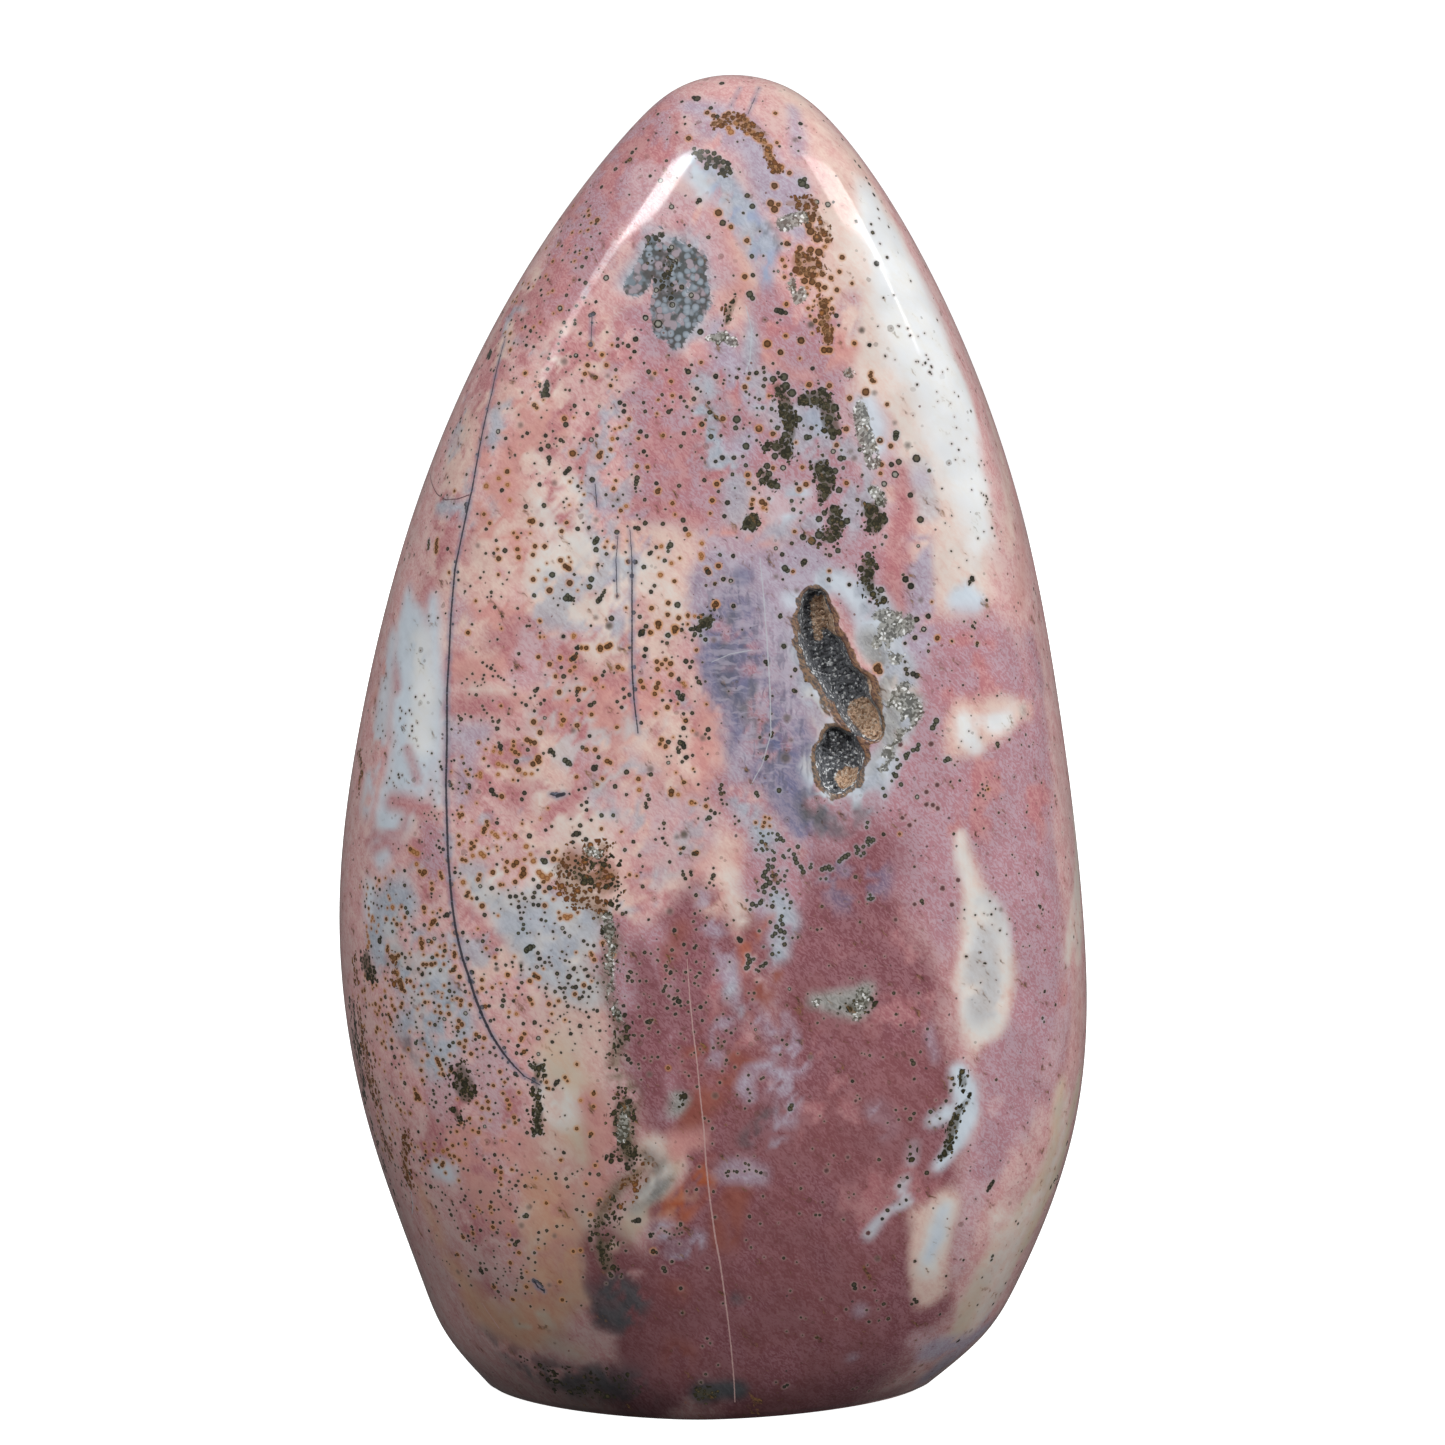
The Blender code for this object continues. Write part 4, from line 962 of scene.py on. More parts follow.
# the foot's darker edge: painted dark reflection, laid as wine, slate and dark grains along the bottom
paint("wine", 1.8, [(790, 1400, 12), (850, 1402, 12), (900, 1390, 10)], patch=0.3, size=4.0, strength=0.7)
paint("slate", 1.6, [(520, 1368, 9), (560, 1385, 12), (600, 1395, 12), (640, 1402, 10)], patch=0.45, size=2.6, strength=0.55)
paint("wine", 1.6, [(660, 1385, 16), (700, 1370, 18), (760, 1385, 18)], patch=0.35, size=4.0, strength=0.8)
paint("slate", 1.0, [(705, 1393, 10), (735, 1390, 11)], patch=0.05)
mask("moss", 0.8, [(702, 1392, 7), (712, 1394, 7)], patch=0.1, strength=0.7)
mask("moss", 0.8, [(560, 1388, 6), (585, 1392, 6), (610, 1398, 6)], patch=0.3, size=2.0, strength=0.6)
# edge of the left side
mask("moss", 0.7, [(352, 990, 4), (356, 1030, 6), (364, 1080, 6)], patch=0.3, size=1.8, strength=0.8)
mask("moss", 0.9, [(365, 962, 9), (372, 974, 8)], patch=0.05, strength=0.9)
mask("rust", 0.8, [(392, 957, 4), (401, 985, 4)], strength=0.8)

# broken edges and small neighbours
paint("mauvelight", 1.0, [(700, 168, 12), (724, 196, 14), (750, 238, 12), (764, 270, 10)], patch=0.56, size=2.0, seed=181, strength=0.75)
paint("ash", 1.0, [(698, 166, 9), (720, 192, 10), (745, 228, 9), (760, 262, 7)], patch=0.58, size=2.2, seed=180, strength=0.6)
paint("wine", 1.0, [(655, 1212, 8), (672, 1206, 11), (692, 1194, 13), (706, 1176, 11), (712, 1162, 8)], patch=0.46, size=1.7, seed=182, strength=0.9)
paint("tan", 0.8, [(650, 1216, 5), (672, 1210, 7), (694, 1196, 8), (708, 1178, 7)], patch=0.66, size=1.6, seed=194, strength=0.3)
paint("deeprose", 1.0, [(752, 1010, 8), (768, 1030, 9), (785, 1055, 10), (782, 1085, 11), (768, 1112, 12), (748, 1140, 11)], patch=0.50, size=2.0, seed=184, strength=0.8)
paint("deeprose", 1.0, [(660, 1230, 12), (680, 1245, 16), (700, 1240, 10)], patch=0.5, size=2.0, seed=195, strength=0.7)
paint("greyblue", 1.0, [(870, 640, 13), (895, 665, 17), (900, 700, 19), (895, 735, 15)], patch=0.36, size=2.0, seed=185, strength=0.9)
paint("ash", 1.0, [(806, 600, 12), (798, 630, 11), (802, 660, 10), (814, 700, 10), (826, 735, 11), (815, 765, 10)], patch=0.45, size=2.0, seed=186, strength=0.85)
paint("greyblue", 1.0, [(825, 580, 10), (850, 584, 13), (872, 604, 18), (884, 640, 16)], patch=0.5, size=2.0, seed=196, strength=0.85)
mask("druse", 1.0, [(893, 650, 9), (905, 680, 10), (905, 705, 10)], patch=0.52, size=1.6, seed=197, strength=0.9)
paint("cream", 1.4, [(1074, 815, 7), (1078, 868, 8), (1078, 910, 9), (1068, 956, 8)], patch=0.12, size=3.0, seed=187)
paint("milk", 1.4, [(975, 905, 12), (985, 940, 24), (986, 980, 32), (984, 1020, 20)], patch=0.30, size=3.0, seed=188)
paint("ash", 1.2, [(986, 940, 15), (984, 985, 20), (980, 1012, 13)], patch=0.25, size=3.0, seed=189)
paint("peach", 1.5, [(944, 1200, 14), (932, 1240, 23), (928, 1285, 20)], patch=0.1, size=3.0, seed=190)
paint("milk", 1.2, [(946, 1205, 10), (938, 1235, 15), (930, 1268, 12)], patch=0.15, size=3.0, seed=198)
paint("paleblue", 1.0, [(944, 1210, 6), (938, 1235, 9), (932, 1258, 6)], patch=0.25, size=2.4, seed=191)
mask("moss", 1.0, [(612, 905, 6), (618, 960, 7), (622, 1020, 7), (620, 1080, 7), (616, 1140, 7), (612, 1200, 7), (606, 1260, 7)], patch=0.46, size=2.2, seed=192, strength=0.6)

# greyer, darker and more broken where the picture is
paint("slate", 1.0, [(725, 620, 14), (735, 670, 20), (752, 710, 22), (770, 750, 18)], patch=0.58, size=1.8, seed=200, strength=0.6)
paint("mauve", 1.0, [(725, 620, 18), (745, 670, 24), (756, 720, 24), (780, 760, 20)], patch=0.60, size=1.8, seed=201, strength=0.8)
unmask("moss", 1.6, [(590, 862, 12), (606, 876, 12)])
mask("rust", 1.8, [(568, 862, 12), (590, 868, 18), (606, 880, 14)], patch=0.32, size=2.0, seed=202, strength=0.95)
mask("moss", 1.2, [(592, 868, 14), (608, 882, 12)], patch=0.58, size=1.6, seed=203, strength=0.8)
paint("deeprose", 1.4, [(750, 930, 14), (770, 975, 16), (720, 1040, 18), (700, 1060, 20), (745, 1060, 14)], patch=0.40, size=2.4, seed=204, strength=0.8)
paint("lilac", 1.0, [(700, 900, 10), (722, 950, 10), (728, 1000, 9), (716, 1060, 9)], patch=0.55, size=1.8, seed=205, strength=0.7)
paint("lilac", 1.0, [(780, 1020, 12), (798, 1060, 12), (790, 1110, 12), (766, 1150, 12)], patch=0.56, size=1.8, seed=206, strength=0.7)
paint("slate", 1.2, [(648, 1158, 9), (656, 1180, 10), (644, 1196, 8)], patch=0.40, size=2.0, seed=207, strength=0.55)
paint("wine", 1.4, [(590, 1240, 9), (594, 1280, 12)], patch=0.35, size=2.4, seed=208, strength=0.8)
paint("deeprose", 2.0, [(830, 880, 28), (860, 915, 38), (820, 945, 28)], patch=0.25, size=4.0, seed=209, strength=0.8)
paint("violet", 1.4, [(824, 860, 18), (846, 890, 24), (880, 880, 16)], patch=0.55, size=2.4, seed=210, strength=0.6)
paint("greyblue", 1.6, [(690, 830, 28), (655, 860, 22), (650, 800, 26), (605, 760, 24)], patch=0.50, size=3.0, seed=211, strength=0.7)
paint("mauvelight", 1.8, [(690, 830, 30), (660, 860, 22), (640, 790, 30), (600, 760, 26)], patch=0.50, size=3.0, seed=212, strength=0.8)
paint("greyblue", 1.6, [(560, 600, 34), (610, 600, 34), (600, 440, 26)], patch=0.55, size=2.8, seed=213, strength=0.7)
paint("rose", 1.4, [(690, 420, 28), (680, 470, 26), (660, 380, 22)], patch=0.50, size=2.2, seed=214, strength=0.8)
paint("cream", 1.8, [(540, 480, 22), (560, 515, 30), (570, 545, 24)], patch=0.42, size=2.6, seed=215, strength=0.8)
paint("greyblue", 1.4, [(722, 175, 12), (745, 215, 14), (766, 245, 12)], patch=0.50, size=2.0, seed=216, strength=0.8)

paint("brick", 1.6, [(574, 860, 12), (594, 870, 16), (606, 880, 10)], patch=0.25, size=2.4, seed=218, strength=0.75)
paint("wine", 2.0, [(870, 1060, 40), (885, 1110, 50), (870, 1160, 40)], patch=0.35, size=4.0, seed=220, strength=0.7)
paint("lilac", 1.4, [(712, 536, 11), (745, 541, 11), (782, 536, 11)], patch=0.45, size=2.2, seed=221, strength=0.8)
paint("grey", 1.0, [(868, 640, 10), (880, 670, 11), (892, 710, 11), (890, 745, 10), (876, 775, 9)], patch=0.38, size=1.8, seed=222, strength=0.75)
mask("druse", 0.9, [(872, 636, 7), (890, 676, 8), (898, 726, 8), (884, 764, 7)], patch=0.56, size=1.5, seed=223, strength=0.9)
mask("moss", 1.0, [(652, 250, 9), (668, 262, 10), (664, 300, 10)], patch=0.58, size=1.5, seed=224, strength=0.7)

STRIP = [(600, 913, 6), (614, 944, 7), (606, 980, 4), (614, 1011, 5), (618, 1038, 6), (616, 1074, 6), (630, 1093, 9), (626, 1125, 10), (630, 1152, 9), (644, 1164, 6), (620, 1187, 7), (604, 1211, 7), (597, 1236, 6), (604, 1262, 5)]
paint("olive", 1.2, STRIP, patch=0.22, size=2.0, seed=230, strength=0.85)
mask("rust", 0.9, [(640, 1166, 5), (622, 1186, 5), (606, 1208, 5)], patch=0.45, size=1.8, seed=231, strength=0.7)
mask("moss", 1.4, [(452, 1072, 5), (464, 1083, 13), (470, 1094, 9)], patch=0.30, size=1.8, seed=232, strength=0.95)
paint("slate", 1.2, [(808, 802, 11), (822, 820, 15), (838, 838, 12)], patch=0.40, size=2.2, seed=233, strength=0.75)
paint("greyblue", 1.0, [(846, 808, 14), (872, 798, 14), (884, 770, 11)], patch=0.42, size=2.0, seed=234, strength=0.85)
paint("mauve", 1.0, [(840, 820, 14), (866, 812, 14)], patch=0.55, size=2.0, seed=235, strength=0.7)
paint("pink", 1.6, [(480, 850, 22), (512, 868, 22)], patch=0.38, size=3.0, seed=236)
paint("greyblue", 1.2, [(470, 878, 20), (500, 890, 22), (532, 918, 24)], patch=0.52, size=2.2, seed=237, strength=0.65)
paint("slate", 1.0, [(762, 222, 10), (772, 246, 10)], patch=0.50, size=2.0, seed=238, strength=0.5)
paint("greyblue", 1.2, [(712, 168, 8), (738, 196, 9)], patch=0.50, size=1.8, seed=239, strength=0.7)
paint("mauve", 1.8, [(1030, 640, 12), (1040, 680, 14)], patch=0.25, size=3.0, seed=240)
paint("greyblue", 1.4, [(540, 950, 26), (570, 975, 22)], patch=0.48, size=2.6, seed=241, strength=0.6)

paint("greyblue", 1.4, [(770, 400, 26), (820, 440, 34), (850, 500, 34), (800, 515, 30)], patch=0.50, size=2.6, seed=250, strength=0.7)
paint("mauvelight", 1.0, [(775, 500, 14), (790, 510, 18), (806, 494, 12)], patch=0.48, size=2.0, seed=251, strength=0.8)
paint("lilac", 1.0, [(796, 620, 12), (798, 660, 12), (812, 705, 10), (822, 745, 10)], patch=0.38, size=2.0, seed=252, strength=0.8)
paint("paleblue", 1.8, [(392, 640, 12), (384, 700, 16), (376, 755, 17), (366, 805, 12)], patch=0.34, size=4.0, seed=253, strength=0.85)
paint("mauve", 1.4, [(640, 250, 20), (700, 300, 24), (660, 340, 20)], patch=0.56, size=2.4, seed=254, strength=0.6)

paint("pink", 1.2, [(400, 930, 24), (430, 990, 30), (430, 1050, 24)], patch=0.58, size=2.2, seed=260, strength=0.8)
paint("ash", 1.2, [(400, 930, 24), (430, 990, 30), (430, 1050, 24)], patch=0.58, size=2.0, seed=261, strength=0.7)
paint("salmon", 1.4, [(560, 1180, 26), (555, 1240, 30), (540, 1290, 30)], patch=0.50, size=2.8, seed=262, strength=0.6)
paint("slate", 1.2, [(812, 812, 12), (836, 826, 14), (860, 812, 10)], patch=0.38, size=2.0, seed=263, strength=0.6)
paint("mauve", 1.0, [(820, 800, 14), (850, 818, 14), (878, 800, 10)], patch=0.48, size=1.8, seed=264, strength=0.8)
paint("milk", 1.6, [(555, 500, 24), (565, 535, 24), (545, 560, 20)], patch=0.45, size=2.4, seed=265, strength=0.7)
paint("greyblue", 1.0, [(800, 615, 10), (800, 655, 10), (814, 700, 9)], patch=0.45, size=1.8, seed=266, strength=0.8)
paint("salmon", 1.2, [(640, 760, 34), (600, 720, 34), (560, 700, 30)], patch=0.62, size=2.2, seed=267, strength=0.6)
paint("ash", 1.2, [(600, 760, 34), (560, 720, 34), (640, 700, 30)], patch=0.60, size=2.2, seed=268, strength=0.7)

paint("peach", 1.4, [(556, 1100, 16), (572, 1112, 16)], patch=0.48, size=2.4, seed=270, strength=0.8)
paint("tan", 1.8, [(540, 1190, 22), (556, 1240, 26), (552, 1290, 26)], patch=0.45, size=3.0, seed=271, strength=0.7)
paint("deeprose", 1.2, [(770, 1040, 26), (784, 1080, 26), (766, 1130, 22)], patch=0.60, size=1.8, seed=272, strength=0.7)
paint("mauve", 1.2, [(706, 130, 10), (560, 300, 20), (600, 260, 20)], patch=0.52, size=2.2, seed=273, strength=0.6)
paint("pink", 1.4, [(690, 830, 26), (655, 870, 20), (620, 810, 26)], patch=0.52, size=2.2, seed=274, strength=0.6)

# ---------------------------------------------------------------- back and flanks
BACK = [("b", 0, 180, 26), ("b", 0, 140, 44), ("b", 0, 90, 60), ("b", 0, 40, 60)]
paint("peach", 4.0, BACK, patch=0.5, size=14.0, seed=61)
paint("mauve", 2.5, BACK, patch=0.55, size=13.0, seed=62)
paint("rose", 1.6, BACK, patch=0.70, size=7.0, seed=63)
paint("greyblue", 1.8, BACK, patch=0.75, size=9.0, seed=64)
paint("ash", 2.4, [("b", -30, 150, 8), ("b", -38, 120, 12), ("b", -36, 95, 9)], patch=0.42, size=6.0, seed=170)
paint("white", 1.6, [("b", -30, 150, 7), ("b", -38, 120, 10), ("b", -36, 95, 7)], patch=0.55, size=4.0, seed=171)
paint("cream", 2.4, [("b", 20, 60, 16), ("b", 34, 40, 14), ("b", 30, 20, 10)], patch=0.46, size=7.0, seed=172)
paint("deeprose", 4.0, [("b", -30, 60, 22), ("b", -24, 30, 26), ("b", -10, 10, 22)], patch=0.48, size=9.0, seed=173)
paint("violet", 1.8, [("b", 8, 130, 9), ("b", 14, 116, 11), ("b", 10, 102, 8)], patch=0.48, size=4.5, seed=174)
paint("paleblue", 1.6, [("b", -4, 168, 5), ("b", 4, 156, 6), ("b", 12, 146, 4)], patch=0.45, size=4.0, seed=175)
mask("moss", 0.9, [("b", 18, 150, 3), ("b", 24, 140, 4), ("b", 20, 132, 3)], patch=0.52, size=2.6, calm=False)
mask("rust", 0.9, [("b", 28, 128, 4), ("b", 30, 118, 3)], patch=0.52, size=2.6, calm=False)
mask("moss", 0.9, [("b", -8, 84, 4), ("b", -14, 76, 5)], patch=0.52, size=2.6, calm=False)
mask("botry", 1.2, [("b", 32, 84, 5), ("b", 36, 76, 5)], patch=0.5, size=2.6, calm=False)
paint("deeprose", 3.0, [("r", 8, 70, 9), ("r", 8, 40, 12), ("r", 8, 15, 10)], patch=0.2, size=8.0)
paint("paleblue", 2.0, [("l", 8, 110, 9), ("l", 8, 80, 10)], patch=0.2, size=7.0)
# painted shade: colours darker towards the foot, most of all on the left and in the middle
painted_shade_low = smooth(62.0, 6.0, P[:, 2]) * (1 - 0.8 * smooth(4.0, 40.0, P[:, 0])) * 0.32
# painted dark reflection: a darker band along the bottom edge
painted_shade_low = painted_shade_low + smooth(9.0, 1.0, P[:, 2] + ragged * 0.3) * 0.30
# also darker low on the front, left of the middle, and along the bottom in the middle
painted_shade_low = painted_shade_low + np.exp(-(((P[:, 0] + 18.0) / 10.0) ** 2)) * smooth(80.0, 60.0, P[:, 2]) * smooth(8.0, -4.0, P[:, 1]) * 0.18
painted_shade_low = painted_shade_low + np.exp(-(((P[:, 0] + 4.0) / 12.0) ** 2)) * smooth(12.0, 1.0, P[:, 2]) * 0.14
A *= (1 - painted_shade_low)[:, None]
B *= (1 - painted_shade_low)[:, None]
#PAINT-END

# ============================================================ dots and lines
DOTS = []     # where (mm), radius (mm), kind


def dot(px, py, r, kind=0.0):
    DOTS.append((front_point(px, py), r * MM_PER_PX, kind))


def crop_dots(x0, y0, scale, kind, marks):
    """Dots placed on an enlarged part of the picture."""
    for x, y, r in marks:
        dot(x0 + x / scale, y0 + y / scale, r / scale, kind)


#DOTS-BEGIN
# ---- moss clusters
for x, y, r in [
    (784, 377, 5), (786, 386, 5), (792, 393, 5), (773, 379, 4), (804, 401, 6), (822, 391, 5), (815, 401, 5),
    (826, 406, 5), (835, 408, 5), (829, 419, 5), (832, 431, 5), (833, 437, 4), (785, 406, 4), (785, 415, 5),
    (792, 419, 5), (799, 419, 4), (788, 426, 5), (785, 435, 4), (765, 448, 4), (776, 447, 5), (775, 456, 4),
    (786, 454, 6), (767, 466, 4), (769, 474, 4), (762, 481, 4), (771, 484, 5), (777, 486, 4), (819, 469, 5),
    (829, 471, 5), (835, 471, 4), (822, 478, 5), (830, 480, 4), (824, 487, 5), (825, 495, 4), (839, 490, 4),
    (834, 509, 5), (838, 513, 4), (819, 519, 4), (831, 521, 5), (842, 525, 4), (847, 521, 4), (812, 541, 5),
    (819, 535, 5), (831, 539, 5), (838, 535, 4), (803, 537, 4), (872, 490, 5), (879, 502, 5), (868, 507, 5),
    (869, 514, 5), (871, 523, 5), (878, 527, 4), (884, 520, 5), (868, 555, 4), (871, 562, 5), (861, 569, 4),
    (870, 573, 5), (864, 579, 4), (870, 588, 4), (881, 590, 4), (884, 599, 4), (749, 521, 6), (752, 527, 5),
]:
    dot(x, y, r * 0.86, 4)
# ---- crown and upper face
crop_dots(480, 60, 3.267, 0, [
    (790, 76, 9), (660, 136, 6), (709, 126, 13), (698, 122, 8), (754, 157, 8), (775, 185, 8), (581, 177, 6),
    (668, 186, 5), (670, 209, 5), (595, 205, 3), (620, 187, 3), (643, 237, 5), (497, 302, 8), (490, 325, 8),
    (478, 333, 6), (510, 290, 5), (443, 356, 8), (397, 415, 7), (609, 329, 6), (556, 379, 6), (488, 440, 4),
    (341, 511, 5), (378, 535, 5), (347, 645, 7), (333, 675, 7), (227, 636, 5), (345, 728, 8), (222, 717, 5),
    (717, 458, 9), (710, 466, 6), (793, 532, 11), (746, 579, 7), (684, 606, 6), (1047, 208, 8), (1044, 254, 6),
    (1040, 297, 4), (841, 267, 4), (873, 443, 9), (1155, 464, 5), (1184, 259, 6), (1225, 330, 6), (1240, 348, 8),
    (1262, 385, 6), (1287, 440, 8), (1272, 405, 7), (1296, 665, 10), (1330, 645, 6), (1307, 600, 4), (1229, 527, 6),
    (1283, 564, 7), (1300, 487, 5), (1304, 518, 4), (1335, 545, 5), (1278, 537, 5), (1352, 768, 4), (1318, 777, 4),
    (1407, 722, 4), (1494, 849, 4), (1272, 931, 7), (1324, 968, 4), (1405, 901, 4), (1398, 877, 3), (1370, 870, 3),
    (1300, 870, 3), (1455, 990, 5), (1470, 1020, 5), (1474, 1000, 4), (1432, 985, 3), (1428, 1060, 4),
    (892, 703, 8), (828, 704, 4), (970, 818, 10), (984, 822, 11), (998, 826, 8), (1049, 916, 12), (982, 955, 10),
    (659, 742, 9), (509, 912, 9), (506, 953, 6), (484, 934, 8), (450, 912, 6), (450, 934, 7), (491, 973, 5),
    (314, 966, 8), (296, 969, 5), (378, 790, 6), (370, 829, 8), (360, 834, 7), (340, 776, 5), (345, 793, 4),
    (315, 803, 5), (310, 850, 5), (310, 862, 6), (328, 893, 5), (275, 858, 6), (266, 888, 5), (260, 905, 4),
    (257, 928, 4), (258, 950, 4), (224, 975, 6), (228, 960, 4), (148, 872, 6), (165, 884, 6), (151, 932, 6),
    (175, 937, 5), (195, 905, 4), (113, 790, 5), (197, 710, 6), (220, 1010, 6), (138, 1086, 5), (110, 1040, 4),
    (45, 1015, 5), (33, 960, 12), (30, 972, 9), (99, 1012, 4), (76, 825, 4), (333, 1048, 4), (551, 1018, 8),
    (610, 1013, 5), (617, 965, 4), (680, 1018, 10), (770, 1034, 9), (903, 1023, 8), (846, 1010, 5), (833, 765, 5),
    (985, 600, 5), (1012, 602, 5), (926, 640, 4), (960, 690, 4), (860, 500, 5), (915, 560, 4),
])
crop_dots(480, 60, 3.267, 1, [
    (681, 256, 9), (383, 523, 9), (779, 499, 12), (820, 545, 8), (965, 174, 7), (970, 270, 6), (1011, 369, 8),
    (1215, 730, 6), (1174, 692, 7), (1183, 645, 9), (1223, 926, 7), (872, 590, 9), (865, 708, 9), (962, 411, 11),
    (975, 472, 8), (950, 468, 12), (962, 488, 12), (1001, 797, 7), (939, 928, 12), (998, 901, 6), (362, 929, 8),
    (399, 963, 6), (351, 997, 7), (262, 812, 9), (148, 1023, 6), (379, 1037, 5), (427, 1064, 6), (722, 988, 6),
    (742, 172, 8), (762, 182, 8), (800, 182, 9), (812, 174, 8), (785, 200, 8), (765, 208, 9), (1003, 600, 9),
    (1045, 615, 10), (1040, 640, 11), (1042, 665, 9), (1107, 628, 13), (1080, 620, 11), (1075, 650, 10),
    (1102, 582, 15), (1080, 560, 13), (1073, 540, 12), (1120, 560, 8), (1135, 590, 9), (1085, 520, 11),
    (1045, 690, 14), (1070, 700, 12), (1085, 725, 11), (1105, 735, 10), (1060, 722, 11), (1118, 700, 9),
    (1128, 790, 12), (1130, 815, 11), (1150, 812, 8), (1115, 860, 10), (1130, 880, 12), (1140, 900, 12),
    (1136, 915, 12), (1125, 948, 10), (1143, 948, 10), (1115, 795, 8), (1095, 852, 8), (1135, 840, 8), (1150, 880, 7),
])
crop_dots(480, 60, 3.267, 5, [
    (1045, 695, 8), (1068, 690, 9), (1098, 702, 8), (1100, 578, 6), (1120, 800, 9), (1133, 792, 8), (1125, 885, 8),
    (850, 188, 10), (868, 196, 10), (838, 206, 10), (820, 235, 10), (812, 222, 8), (880, 215, 10), (890, 238, 10),
    (902, 252, 10), (914, 262, 9), (930, 268, 8), (945, 285, 11), (942, 305, 12), (950, 322, 11), (965, 345, 12),
    (975, 358, 11), (985, 350, 9), (860, 215, 8), (872, 240, 7),
])
crop_dots(480, 60, 3.267, 3, [
    (590, 394, 9), (412, 712, 10), (626, 480, 9), (1099, 464, 10), (1137, 472, 10), (974, 690, 5), (690, 768, 9),
    (588, 570, 8), (626, 612, 9), (576, 752, 9), (628, 800, 10), (582, 862, 14), (541, 842, 10), (640, 655, 7),
    (765, 912, 9), (778, 925, 8), (795, 905, 12),
])
crop_dots(480, 60, 3.267, 2, [(1246, 883, 8), (1081, 866, 10), (1028, 262, 6), (560, 1040, 7), (275, 985, 10)])
crop_dots(480, 60, 3.267, 4, [
    (888, 641, 8), (890, 478, 10), (1052, 403, 14), (1068, 413, 9), (1060, 390, 9), (1045, 395, 8), (881, 765, 12),
    (890, 778, 9), (720, 888, 11), (700, 290, 7), (745, 300, 8), (765, 305, 9), (780, 320, 10), (795, 333, 10),
    (808, 350, 9), (818, 368, 8), (740, 352, 9), (718, 298, 7), (218, 1062, 10), (215, 1078, 11), (208, 1092, 11),
])
